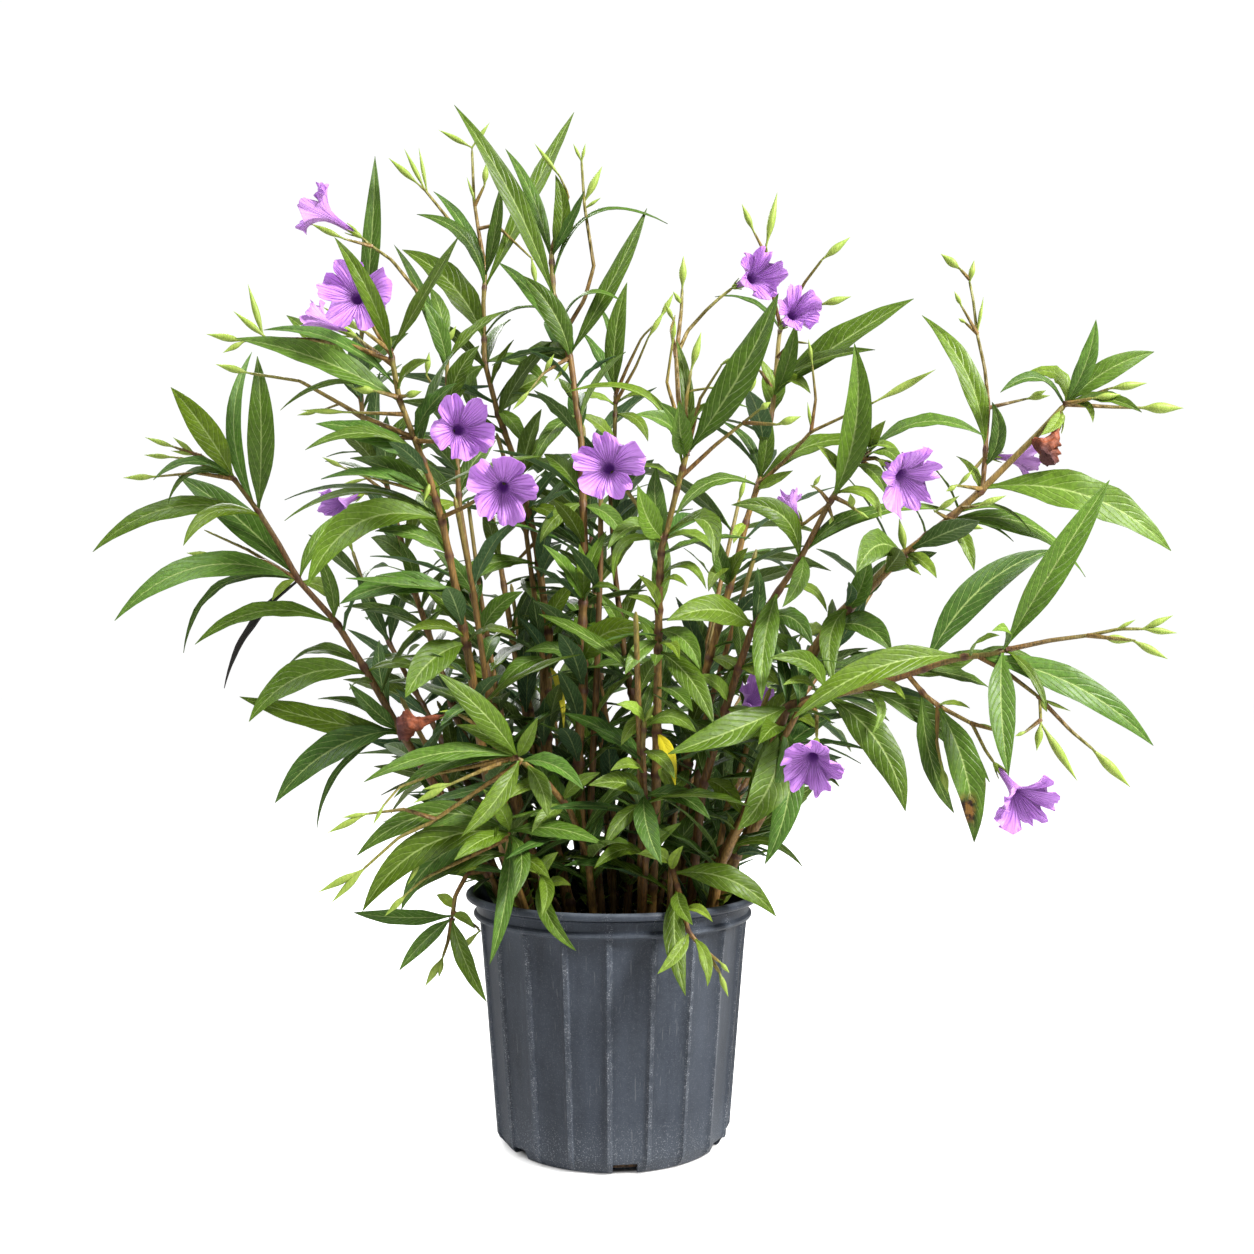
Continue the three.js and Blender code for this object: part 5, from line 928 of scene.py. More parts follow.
def grow_middle(shoot, stem, number):
    start, end = MIDDLE_REACH
    pairs = max(2, math.floor(stem["marks"][-1] * (end - start) / MIDDLE_SPACING))
    for k in range(2 * pairs):
        seed = 7 + number * 131 + k
        share = start + (end - start) * (k // 2 + 0.3 + 0.4 * chance(seed + 0.9)) / pairs
        turn = 53 * number + (k // 2) * 90 + (k % 2) * 180 + lerp(*MIDDLE_TURNS, chance(seed))
        lean = lerp(*MIDDLE_LEANS, chance(seed + 0.6))
        length = lerp(*MIDDLE_LENGTHS, chance(seed + 0.2))
        root, tip, face = fill_blade(stem, share, turn, lean, length)
        line = leaf_line(root, tip, 0, face)
        spots = [bend(line, part) for part in CHECKED_PARTS]
        bare = chance(seed + 0.8) < BARE_SHARE and any(hides_stem(spot) for spot in spots)
        if not bare and all(in_bush(*sight(spot)) and not hides_bloom(spot) for spot in spots):
            width = lerp(*MIDDLE_BREADTHS, chance(seed + 0.4)) * length
            add_blade(shoot, root, tip, width, 0, face, "middle")
            if k % 8 < 2:
                mark_joint(stem, share * stem["marks"][-1])


COMPANION_PARTS = (0.5, 0.78)
COMPANION_SLIMNESS = 0.72
COMPANION_STEPS = (0, 0.08, 0.3, 0.55, 0.8, 1)
COMPANION_ASIDE = ((-26, 26), (-24, 24))
COMPANION_REACH = 98


def grow_companion(shoot, number):
    """A slimmer stem that comes up beside the first and ends where the bush thins out."""
    stem = shoot["stem"]
    part = lerp(*COMPANION_PARTS, chance(number * 3.1))
    picks = chance(number * 7.7), chance(number * 5.3)
    aside = np.array([lerp(*bounds, pick) for bounds, pick in zip(COMPANION_ASIDE, picks)] + [0])
    points = [spot_on(stem["points"], stem["marks"], part * step) + aside * (0.5 + step)
              for step in COMPANION_STEPS]
    if math.hypot(points[0][0], points[0][1]) > COMPANION_REACH:  # then to the other side
        points = [point - 1.4 * (0.5 + step) * aside
                  for point, step in zip(points, COMPANION_STEPS)]
    radii = [COMPANION_SLIMNESS * lerp(*stem["radii"], share) for share in (0, part)]
    return add_limb(shoot, points, radii, "stem")


SPROUTS = 5
SPROUT_SHARES = (0.03, 0.13)
SPROUT_LENGTHS = (16, 30)
SPROUT_SIDES = (0, 140)
SPROUT_LEAN = 44
SPROUT_BREADTH = 0.3


def grow_sprouts(shoot, number):
    """Short pale shoots that come out of the old wood just above the soil."""
    for k in range(SPROUTS):
        seed = 61 + number * 17 + 3 * k
        share = lerp(*SPROUT_SHARES, chance(seed))
        length = lerp(*SPROUT_LENGTHS, chance(seed + 0.3))
        for side in SPROUT_SIDES:
            turn = 360 * chance(seed + 0.5) + side
            root, tip, face = fill_blade(shoot["stem"], share, turn, SPROUT_LEAN, length)
            add_blade(shoot, root, tip, SPROUT_BREADTH * length, 0, face, "young")


for number, (name, shoot) in enumerate(shoots.items()):
    if shoot["row"]["fill"]:
        grow_sprouts(shoot, number)
    grow_middle(shoot, shoot["stem"], number)
    if shoot["row"]["fill"]:
        grow_middle(shoot, grow_companion(shoot, number), number + 40)
print("with the dense middle:", sum(len(shoot["blades"]) for shoot in shoots.values()), "leaves")

# %% [markdown]
# ## One leaf to bend into hundreds
#
# A leaf is a thin sheet with a top and an underside. It starts as Blender's grid, and solidify
# gives it thickness. Copies of that flat leaf are then bent along their own middle lines, which
# keeps one good topology and one set of texture coordinates for all of them.


# %% The flat leaf
SHEET_THICKNESS = 0.1


def side_faces(bm, angle=50):
    """Keeps a crisp edge where the faces meet at more than this angle."""
    bm.normal_update()
    for edge in bm.edges:
        edge.smooth = edge.calc_face_angle(0) < math.radians(angle)
    for face in bm.faces:
        face.smooth = True


def finished(bm, name):
    """Turns a bmesh into a mesh, and gives the places of its points as rows."""
    mesh = bpy.data.meshes.new(name)
    side_faces(bm)
    bm.to_mesh(mesh)
    bm.free()
    spots = np.zeros(len(mesh.vertices) * 3)
    mesh.vertices.foreach_get("co", spots)
    return mesh, spots.reshape(-1, 3)


def two_faced(bm, name):
    """Gives a flat sheet a top and an underside; the rows then say 0 for above and 1 for below."""
    bmesh.ops.solidify(bm, geom=bm.faces[:], thickness=SHEET_THICKNESS)
    bmesh.ops.recalc_face_normals(bm, faces=bm.faces)
    bm.normal_update()
    for face in bm.faces:
        face.material_index = 1 if face.normal.z < -0.5 else 0
    mesh, spots = finished(bm, name)
    top = spots[:, 2].max()
    spots[:, 2] = np.where(spots[:, 2] > top - SHEET_THICKNESS / 2, 0, 1)
    return mesh, spots


def placed(name, data):
    """An object of its own in the scene."""
    thing = bpy.data.objects.new(name, data)
    bpy.context.collection.objects.link(thing)
    return thing


def flat_leaf(across, along):
    bm = bmesh.new()
    bmesh.ops.create_grid(bm, x_segments=across, y_segments=along, size=1)
    for corner in bm.verts:
        x = corner.co.x
        corner.co.x = math.copysign(abs(x) ** 1.3, x)
        corner.co.y = (corner.co.y + 1) / 2
    chart = bm.loops.layers.uv.new("UVMap")
    for face in bm.faces:
        for loop in face.loops:
            loop[chart].uv = (loop.vert.co.x / 2 + 0.5, loop.vert.co.y)
    return two_faced(bm, "flat_leaf")


LEAVES = {"large": flat_leaf(8, 16), "fill": flat_leaf(8, 14), "young": flat_leaf(6, 10),
          "middle": flat_leaf(4, 8), "sepal": flat_leaf(2, 5)}
print({kind: len(mesh.polygons) for kind, (mesh, _) in LEAVES.items()})

# %% [markdown]
# ## Bending a leaf
#
# A ruellia leaf is a lance: a short stalk, its greatest width before the middle, and a long drawn
# out tip. Its halves rise from the midrib like an open book, its margin waves, and the whole leaf
# turns a little along its length. Each of these is one term of a sum, with its own chance value.

# %% Bent leaves
PLAN_SHARES = (0, 0.03, 0.08, 0.14, 0.22, 0.32, 0.42, 0.52, 0.62, 0.72, 0.82, 0.9, 0.96, 1)
PLAN_WIDTHS = (0.1, 0.08, 0.15, 0.36, 0.67, 0.91, 1, 0.99, 0.91, 0.76, 0.54, 0.32, 0.14, 0.015)
STALK_HALF_WIDTH = 0.9
BLADE_THICKNESS = 0.5
STALK_THICKNESS = 1.5
RIB_DEPTH = 0.7
RIB_HALF_WIDTH = 0.2
FOLDS = (0.12, 0.42)
CURLS = (-0.3, 0.05)
WAVES = (2.2, 4.2)
WAVE_HEIGHTS = (0.05, 0.17)
TWISTS = (-24, 24)


def bend_leaf(flat, blade):
    """Lays the points of a flat leaf along a blade's own line."""
    across, share, below = flat.T
    start, middle, tip = blade["line"]
    number = blade["number"]
    pick = lambda bounds, salt: lerp(*bounds, chance(number * 1.37 + salt))
    v = share[:, None]
    spine = bend(blade["line"], v)
    way = 2 * (1 - v) * (middle - start) + 2 * v * (tip - middle)
    way /= np.linalg.norm(way, axis=1)[:, None]
    side = np.cross(way, blade["out"])
    side /= np.linalg.norm(side, axis=1)[:, None]
    rise = np.cross(side, way)
    twist = math.radians(pick(TWISTS, 0.1)) * np.clip(share - 0.15, 0, 1)[:, None]
    side, rise = (side * np.cos(twist) + rise * np.sin(twist),
                  rise * np.cos(twist) - side * np.sin(twist))
    half = np.maximum(np.interp(share, PLAN_SHARES, PLAN_WIDTHS) * blade["width"] / 2,
                      np.interp(share, (0, 0.1, 0.3, 1), (STALK_HALF_WIDTH, 0.7, 0, 0)))
    out = np.abs(across)
    wave = np.sin(2 * math.pi * (pick(WAVES, 0.2) * share + pick((0, 1), 0.3))
                  + np.where(across > 0, 0, 2.2))
    lift = half * (pick(FOLDS, 0.4) * out + pick(CURLS, 0.5) * out**2)
    lift += half * pick(WAVE_HEIGHTS, 0.6) * wave * out**2 * np.sin(math.pi * share)
    rib = np.exp(-((across / RIB_HALF_WIDTH) ** 2))
    lift -= 0.25 * rib * (share > 0.05)
    thick = np.interp(share, (0, 0.08, 0.2, 1), (STALK_THICKNESS, 1.1, BLADE_THICKNESS, 0.3))
    thick = thick + RIB_DEPTH * rib * np.interp(share, (0, 0.1, 1), (0, 1, 0.15))
    lift -= below * thick
    return spine + side * (across * half)[:, None] + rise * lift[:, None]


# %% [markdown]
# ## Round limbs, buds and cups
#
# A limb, a bud and a cup are all rods whose rings follow a line and change their radius. The rod
# is a circle with a cap that is extruded ring by ring. A stem swells at each joint, where a pair of
# leaves stands, and a bud swells at its middle and has five slight ridges, one for each sepal.

# %% The straight rod
RIDGE_COUNT = 5
RODS = {}


def straight_rod(sides, rings):
    if (sides, rings) not in RODS:
        bm = bmesh.new()
        bmesh.ops.create_circle(bm, cap_ends=True, segments=sides, radius=1)
        cap = bm.faces[:]
        for _ in range(rings):
            made = bmesh.ops.extrude_face_region(bm, geom=cap)["geom"]
            corners = [item for item in made if isinstance(item, bmesh.types.BMVert)]
            cap = [item for item in made if isinstance(item, bmesh.types.BMFace)]
            bmesh.ops.translate(bm, verts=corners, vec=(0, 0, 1))
        bmesh.ops.recalc_face_normals(bm, faces=bm.faces)
        bm.loops.layers.uv.new("UVMap")
        for face in bm.faces:
            face.material_index = 2
        RODS[sides, rings] = finished(bm, "rod_%d_%d" % (sides, rings))
    return RODS[sides, rings]


def square_to(way):
    """Two directions square to a way and to each other."""
    side = unit(np.cross((0.25, 1, 0.35), way))
    return side, np.cross(side, way)


def bend_rod(rod, centers, ways, radii, ridges=0.0):
    """Lays the rings of a straight rod along a line, each with its own radius."""
    ring = np.rint(rod[:, 2]).astype(int)
    angle = np.arctan2(rod[:, 1], rod[:, 0])
    squares = [square_to(way) for way in ways]
    side = np.array([square[0] for square in squares])[ring]
    front = -np.array([square[1] for square in squares])[ring]
    reach = np.asarray(radii)[ring] * (1 + ridges * np.cos(RIDGE_COUNT * angle))
    outward = side * np.cos(angle)[:, None] + front * np.sin(angle)[:, None]
    return centers[ring] + outward * reach[:, None]


# %% Stems with joints
RING_STEPS = {"stem": 5, "twig": 6, "stalk": 5}
ROD_SIDES = {"stem": 10, "twig": 6, "stalk": 6}
STEM_FULLNESS = (1.48, 1.35)
TWIG_FULLNESS = (1.7, 1.15)
JOINT_SWELL = 0.34
JOINT_HALF_LENGTH = 3.2
LIMB_END = 0.4


def joint_mask(limb, reach):
    marks = np.array(limb["joints"] or [-99.0])
    return np.exp(-(((reach[:, None] - marks[None, :]) / JOINT_HALF_LENGTH) ** 2)).max(axis=1)


def bent_limb(limb):
    length = limb["marks"][-1]
    rings = max(3, round(length / RING_STEPS[limb["kind"]]))
    mesh, rod = straight_rod(ROD_SIDES[limb["kind"]], rings)
    shares = np.arange(rings + 1) / rings
    centers = np.array([spot_on(limb["points"], limb["marks"], share) for share in shares])
    ways = [way_on(limb["points"], limb["marks"], min(max(share, 0.002), 0.998))
            for share in shares]
    joints = joint_mask(limb, shares * length)
    radii = lerp(*limb["radii"], shares) * (1 + JOINT_SWELL * joints)
    fullness = STEM_FULLNESS if limb["kind"] == "stem" else TWIG_FULLNESS
    radii *= lerp(*fullness, shares)
    radii[-1] *= LIMB_END
    ring = np.rint(rod[:, 2]).astype(int)
    return mesh, bend_rod(rod, centers, ways, radii), shares[ring], joints[ring]


# %% Buds and cups
BUD_SHARES = (0, 0.1, 0.2, 0.32, 0.45, 0.58, 0.72, 0.85, 0.94, 1)
BUD_WIDTHS = (0.24, 0.22, 0.4, 0.78, 1, 0.94, 0.66, 0.34, 0.14, 0.03)
CUP_SHARES = (0, 0.2, 0.45, 0.8, 1)
CUP_RADII = (1.3, 2.1, 2.8, 2.7, 2.4)
SEPALS = 5
SEPAL_WIDTH = 2.6
SEPAL_ENDS = (6, 9)


def bent_spindle(start, tip, shares, radii, sides=10, rings=12, ridges=0.12):
    mesh, rod = straight_rod(sides, rings)
    parts = np.arange(rings + 1) / rings
    centers = start + parts[:, None] * (tip - start)
    ways = [unit(tip - start)] * (rings + 1)
    spots = bend_rod(rod, centers, ways, np.interp(parts, shares, radii), ridges)
    return mesh, spots, parts[np.rint(rod[:, 2]).astype(int)]


def grow_sepals(shoot, cup, number):
    """Five narrow green tongues that hold the foot of the bloom."""
    side, front = square_to(cup["away"])
    for k in range(SEPALS):
        angle = 2 * math.pi * (k + 0.3) / SEPALS
        reach = side * math.cos(angle) + front * math.sin(angle)
        start = cup["start"] + 0.35 * CUP_LENGTH * cup["away"] + 2.0 * reach
        tip = cup["tip"] + lerp(*SEPAL_ENDS, chance(number * 5 + k)) * cup["away"] + 5.2 * reach
        line = (start, lerp(start, tip, 0.5) + 0.6 * reach, tip)
        shoot["blades"].append({"line": line, "out": reach, "width": SEPAL_WIDTH, "kind": "sepal",
                                "number": number * 5 + k, "yellow": 0})


for number, shoot in enumerate(shoots.values()):
    for k, cup in enumerate(shoot["cups"]):
        grow_sepals(shoot, cup, number * 10 + k)
print("sepals:", sum(blade["kind"] == "sepal"
                     for shoot in shoots.values() for blade in shoot["blades"]))

# %% [markdown]
# ## Putting a shoot together
#
# Each shoot becomes one object: its bent copies are gathered in one bmesh, and their points are
# set all at once. Two attributes go with the points. One says where on its leaf or limb a point is,
# for the veins and joints, and the other how light, how young and how withered it is. The materials
# read both, so that two hundred leaves share one material and still differ.

# %% Gathering the copies
GREEN_FROM = (0.78, 1.0)
TONE_HEIGHTS = (240, 460, 640, 860)
TONE_SHARES = (0.45, 1, 1, 0.5)
BUD_FULLNESS = 0.84
BUD_LEAST = (0.9, 0.9, 0.9, 0, 0, 0, 0, 0, 0, 0)
YOUTH = {"large": 0.04, "fill": 0.0, "middle": 0.0, "young": 0.12, "sepal": 0.8}
SMALL_LENGTHS, SMALL_YOUTH = (18, 60), (0.75, 0)
# Painted shade: leaves of the dense middle and filling leaves get a darker tone, for the shade
# inside the bush.
INNER_SHADE_TONES = {"middle": 0.45, "fill": 0.7}
BLACK = -1.0


def write_attribute(mesh, name, kind, rows):
    layer = mesh.attributes.new(name, kind, "POINT")
    field = "vector" if kind == "FLOAT_VECTOR" else "color"
    layer.data.foreach_set(field, np.ascontiguousarray(rows).ravel())


def built(name, copies, materials, nodes):
    """One object from copies, each of them (mesh, points in mm, place on it, tint)."""
    bm = bmesh.new()
    for mesh, *_ in copies:
        bm.from_mesh(mesh)
    whole = bpy.data.meshes.new(name)
    bm.to_mesh(whole)
    bm.free()
    spots = np.vstack([copy[1] for copy in copies]) * MM
    whole.vertices.foreach_set("co", spots.ravel())
    write_attribute(whole, "place", "FLOAT_VECTOR", np.vstack([copy[2] for copy in copies]))
    write_attribute(whole, "tint", "FLOAT_COLOR", np.vstack([copy[3] for copy in copies]))
    for material in materials:
        whole.materials.append(material)
    whole.update()
    piece = placed(name, whole)
    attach(piece, "root")
    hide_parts(*nodes)
    return piece


def columns(count, *values):
    """Rows of numbers, where a single number counts for every row."""
    return np.column_stack([np.broadcast_to(value, count) for value in values])


def leaf_copy(blade):
    number, kind = blade["number"], blade["kind"]
    mesh, flat = LEAVES[kind]
    length = np.linalg.norm(blade["line"][2] - blade["line"][0])
    young = YOUTH[kind]
    if kind == "young":
        young += float(np.interp(length, SMALL_LENGTHS, SMALL_YOUTH))
    # the dense middle and filling leaves are made darker: painted shade
    tone = chance(number * 2.1 + 0.4) * INNER_SHADE_TONES.get(kind, 1)
    spots = bend_leaf(flat, blade)
    tone *= float(np.interp(blade["line"][2][2], TONE_HEIGHTS, TONE_SHARES))
    if blade.get("black"):
        tone = BLACK
    place = columns(len(flat), flat[:, 0], flat[:, 1], chance(number * 0.77) * 10)
    tint = columns(len(flat), tone, min(1, young), blade["yellow"], 1.0)
    return mesh, spots, place, tint


def limb_copy(limb, number):
    mesh, spots, share, joint = bent_limb(limb)
    stem = limb["kind"] == "stem"
    green = np.interp(share, GREEN_FROM, (0.0, 0.3)) if stem else 0.06 + 0.4 * share**2
    place = columns(len(spots), 0, share * limb["marks"][-1] / 100, number)
    return mesh, spots, place, columns(len(spots), chance(number * 3.3), green, joint, 1.0)


def bud_copy(bud, number):
    half = BUD_FULLNESS * bud["width"] / 2
    radii = np.maximum(np.array(BUD_WIDTHS) * half, BUD_LEAST)
    mesh, spots, share = bent_spindle(bud["start"], bud["tip"], BUD_SHARES, radii)
    return (mesh, spots, columns(len(spots), 1, share, number),
            columns(len(spots), chance(number * 1.9), 0.7 + 0.3 * share, 0, 1.0))


def cup_copy(cup, number):
    mesh, spots, share = bent_spindle(cup["start"], cup["tip"], CUP_SHARES, CUP_RADII,
                                      rings=6, ridges=0.08)
    return (mesh, spots, columns(len(spots), 1, share, number),
            columns(len(spots), chance(number), 0.8, 0, 1.0))


# %% [markdown]
# ## Blooms
#
# A ruellia bloom is a slim tube that opens into five broad, crinkled lobes. Its flat shape is a
# circle that is extruded outwards ring by ring and then solidified; bending it makes the tube, the
# funnel and the lobes. Each lobe is creased along its middle, ruffled at its edge and laid a little
# over its neighbour, as the petals are that unfold from a twisted bud.

# %% The flat bloom
BLOOM_SIDES = 75
BLOOM_RINGS = 18
PETAL_THICKNESS = 0.7


def flat_bloom():
    bm = bmesh.new()
    bmesh.ops.create_circle(bm, cap_ends=False, segments=BLOOM_SIDES, radius=1)
    edges = bm.edges[:]
    for ring in range(BLOOM_RINGS):
        made = bmesh.ops.extrude_edge_only(bm, edges=edges)["geom"]
        corners = [item for item in made if isinstance(item, bmesh.types.BMVert)]
        edges = [item for item in made if isinstance(item, bmesh.types.BMEdge)
                 and all(corner in set(corners) for corner in item.verts)]
        grown = (ring + 2) / (ring + 1)
        bmesh.ops.scale(bm, verts=corners, vec=(grown, grown, 1))
    bmesh.ops.recalc_face_normals(bm, faces=bm.faces)
    bmesh.ops.triangulate(bm, faces=bm.faces[:])
    bm.loops.layers.uv.new("UVMap")
    return two_faced(bm, "flat_bloom")


FLAT_BLOOM = flat_bloom()
print("bloom faces:", len(FLAT_BLOOM[0].polygons))

# %% Bent blooms
RING_SHARES = (0, 0.12, 0.26, 0.38, 0.5, 0.62, 0.74, 0.86, 1)
RING_DEPTHS = (0, 0.15, 0.36, 0.50, 0.62, 0.76, 0.88, 0.96, 1.0)
TUBE_RADII = (1.6, 2.0, 2.7, 3.8, 5.4)
LIMB_RADII = (0.38, 0.63, 0.86, 1.08)
NOTCH = 0.42
DIMPLE = 0.012
LOBES = 5
LOBE_ANGLE = 2 * math.pi / LOBES
OPEN_FROM, OPEN_LENGTH = 0.52, 0.48
USUAL_HALF = 27
SEAT_GAP = 0.35
HALF_BAND = 0.02


def growth(ring, values):
    """How much a value changes over a narrow band about each ring."""
    outer, inner = ring + HALF_BAND, ring - HALF_BAND
    return np.interp(outer, RING_SHARES, values) - np.interp(inner, RING_SHARES, values)


def bend_bloom(bloom, number):
    """Lays the rings of the flat bloom along a tube and out into five ruffled lobes."""
    flat = FLAT_BLOOM[1]
    start, end = seen(*bloom["base"]), seen(*bloom["mouth"])
    away = unit(end - start)
    depth = np.linalg.norm(end - start)
    half = bloom["spread"] / 2
    side, front = square_to(away)
    turn = math.radians(bloom["turn"])
    angle = np.arctan2(flat[:, 1], flat[:, 0])
    ring = (np.hypot(flat[:, 0], flat[:, 1]) - 1) / BLOOM_RINGS
    lobe = np.mod(np.floor(angle / LOBE_ANGLE), LOBES)
    across = 2 * (angle / LOBE_ANGLE - np.floor(angle / LOBE_ANGLE)) - 1
    open_ = np.clip((ring - OPEN_FROM) / OPEN_LENGTH, 0, 1)
    picks = np.array([[chance(number * 17 + k * 3 + kind * 0.7) for k in range(LOBES)]
                      for kind in range(4)])
    salt = picks[:, lobe.astype(int)]
    tube = [radius * (0.7 + 0.3 * half / USUAL_HALF) for radius in TUBE_RADII]
    profile = [*tube, *(share * half for share in LIMB_RADII)]
    radii = np.interp(ring, RING_SHARES, profile)
    dimple = DIMPLE * np.exp(-((across / 0.12) ** 2))
    radii *= 1 - open_**1.5 * (NOTCH * np.abs(across) ** 6 + dimple)
    radii *= 1 - open_ * (0.2 * salt[0] - 0.035 * np.sin(8 * across + 7 * salt[3]))
    rise = np.interp(ring, RING_SHARES, RING_DEPTHS) * (depth - SEAT_GAP) + SEAT_GAP
    waves = np.sin((4 + 2 * salt[1]) * across + 6 * salt[2])
    waves = waves + 0.5 * np.sin(7.5 * across + 9 * salt[3])
    crease = 0.02 * np.exp(-((across / 0.16) ** 2))
    rise += half * open_ * (0.16 * (1 - across**2) - crease + 0.18 * across)
    rise += half * open_**1.6 * (0.12 * waves - 0.34 * (salt[2] - 0.35) * open_)
    rise += half * open_ * 0.05 * np.cos(3 * math.pi * across + 2 * salt[0])
    rise += half * open_**2 * 0.035 * np.sin(6 * math.pi * across + 9 * salt[1])
    swing = 0.10 * np.sin(3 * across + 5 * salt[1]) + 0.3 * (salt[0] - 0.5)
    turned = angle + turn + open_ * swing
    run, climb = growth(ring, profile), depth * growth(ring, RING_DEPTHS)
    wall = flat[:, 2] * PETAL_THICKNESS / np.hypot(run, climb)
    radii += wall * climb
    rise -= wall * run
    reach = side[None] * np.cos(turned)[:, None] - front[None] * np.sin(turned)[:, None]
    spots = start + away * rise[:, None] + reach * radii[:, None]
    place = np.column_stack((across, ring, lobe / 5 + number))
    tint = columns(len(flat), chance(number * 5.3), 0, open_, 1.0)
    return FLAT_BLOOM[0], spots, place, tint


# %% Withered blooms
WITHERED_SHARES = (0, 0.1, 0.3, 0.5, 0.7, 0.85, 1)
WITHERED_WIDTHS = (0.12, 0.16, 0.34, 0.5, 0.85, 1.0, 0.5)


def bend_withered(bloom, number):
    """A bloom that has dried shut: a twisted, folded rag."""
    start, end = seen(*bloom["base"]), seen(*bloom["tip"])
    half = bloom["width"] / 2
    radii = np.array(WITHERED_WIDTHS) * half
    mesh, spots, share = bent_spindle(start + SEAT_GAP * unit(end - start), end, WITHERED_SHARES,
                                      radii, sides=24, rings=22, ridges=0.0)
    core = start + share[:, None] * (end - start)
    way = spots - core
    side, front = square_to(unit(end - start))
    angle = np.arctan2(way @ front, way @ side) + 3.2 * share
    folds = 1 + share * (0.42 * np.cos(3 * angle) + 0.24 * np.cos(7 * angle + 2 * number))
    crumple = np.array([noise.noise(Vector(spot) * 0.15) for spot in spots])
    flat = way - 0.45 * (way @ front)[:, None] * front
    spots = core + flat * (folds + 0.9 * crumple * share)[:, None]
    spots[:, 2] -= 9 * share**2 * np.clip(np.cos(angle - 1), 0, 1)
    return (mesh, spots, columns(len(spots), angle / math.pi, share, number),
            columns(len(spots), 0.5, 0, crumple, 1.0))

# %% [markdown]
# ## Finishes
#
# Every finish is a small tree of nodes that ends in one Principled shader. A few helpers keep the
# trees readable: one adds a node and joins its sockets, others do a sum, mix two colours or feed
# the shader. Most colours pass through several mixes, from the broad tone to the finest speck.


# %% Node helpers
def add_node(tree, kind, values=(), **settings):
    """Values go to sockets, by name or number: a socket is linked, anything else is written in."""
    made = tree.nodes.new("ShaderNode" + kind)
    for name, value in settings.items():
        setattr(made, name, value)
    for key, value in dict(values).items():
        socket = made.inputs[key]
        if isinstance(value, bpy.types.NodeSocket):
            tree.links.new(value, socket)
        else:
            socket.default_value = value
    return made


def maths(tree, operation, *values, clamp=False):
    made = add_node(tree, "Math", enumerate(values), operation=operation, use_clamp=clamp)
    return made.outputs[0]


def times(tree, first, *others):
    for other in others:
        first = maths(tree, "MULTIPLY", first, other)
    return first


def plus(tree, one, other, clamp=False):
    return maths(tree, "ADD", one, other, clamp=clamp)


def minus(tree, one, other):
    return maths(tree, "SUBTRACT", one, other)


def from_middle(tree, value):
    """How far the fraction of a value is from a half."""
    return maths(tree, "ABSOLUTE", minus(tree, maths(tree, "FRACT", value), 0.5))


def mix(tree, share, one, other, blend="MIX"):
    """Mixes two colours; 0, 6 and 7 are the node's sockets for a colour mix."""
    one, other = (value if isinstance(value, bpy.types.NodeSocket) else (*value, 1)
                  for value in (one, other))
    made = add_node(tree, "Mix", {0: share, 6: one, 7: other}, data_type="RGBA", blend_type=blend)
    return made.outputs[2]


def spread(tree, value, low, high, to_low=0.0, to_high=1.0):
    """Stretches a range of values, and keeps what lies beyond it at the ends."""
    return add_node(tree, "MapRange", enumerate((value, low, high, to_low, to_high)),
                    clamp=True).outputs[0]


def vector(tree, *values):
    return add_node(tree, "CombineXYZ", enumerate(values)).outputs[0]


def grey(tree, value):
    return add_node(tree, "CombineColor", enumerate((value, value, value))).outputs[0]


def grain(tree, where, scale, detail=3.0, roughness=0.55):
    values = {"Vector": where, "Scale": scale, "Detail": detail, "Roughness": roughness}
    return add_node(tree, "TexNoise", values).outputs[0]


def streaked(tree, where, along, turn=(0, 0, 0)):
    """Places for a grain that is drawn out upwards."""
    values = {"Vector": where, "Scale": (1, 1, along), "Rotation": turn}
    return add_node(tree, "Mapping", values).outputs[0]


def bump(tree, height, strength, distance):
    values = {"Strength": strength, "Distance": distance, "Height": height}
    return add_node(tree, "Bump", values).outputs[0]


def new_finish(name, **sockets):
    material = bpy.data.materials.new(name)
    material.use_nodes = True
    shader = material.node_tree.nodes["Principled BSDF"]
    for socket, value in sockets.items():
        shader.inputs[socket.replace("_", " ")].default_value = value
    return material, material.node_tree, shader.inputs


def feed(tree, sockets, **values):
    for socket, value in values.items():
        tree.links.new(value, sockets[socket.replace("_", " ")])


def place_of(tree):
    """Across, along and which one, as the copies of a leaf or limb carry them."""
    read = add_node(tree, "Attribute", attribute_name="place").outputs["Vector"]
    return add_node(tree, "SeparateXYZ", {0: read}).outputs


def tint_of(tree):
    read = add_node(tree, "Attribute", attribute_name="tint").outputs["Color"]
    return add_node(tree, "SeparateColor", {0: read}).outputs


def object_place(tree):
    return add_node(tree, "TexCoord").outputs["Object"]


# %% [markdown]
# ## Veins of a leaf
#
# A pale midrib runs up a leaf, and side veins leave it at a slant and curve towards the tip. Both
# faces of the leaf show them, the underside more strongly, so the pattern is one group of nodes
# that gives masks for the midrib and the veins and a height for the swelling between them.


# %% The vein group
def group_with(name, inputs, outputs):
    group = bpy.data.node_groups.new(name, "ShaderNodeTree")
    for socket, kind, value in inputs:
        made = group.interface.new_socket(name=socket, in_out="INPUT", socket_type=kind)
        made.default_value = value
    for socket, kind in outputs:
        group.interface.new_socket(name=socket, in_out="OUTPUT", socket_type=kind)
    start = group.nodes.new("NodeGroupInput").outputs
    end = group.nodes.new("NodeGroupOutput").inputs
    return group, start, end


def use_group(tree, group, values):
    return add_node(tree, "Group", values, node_tree=group).outputs


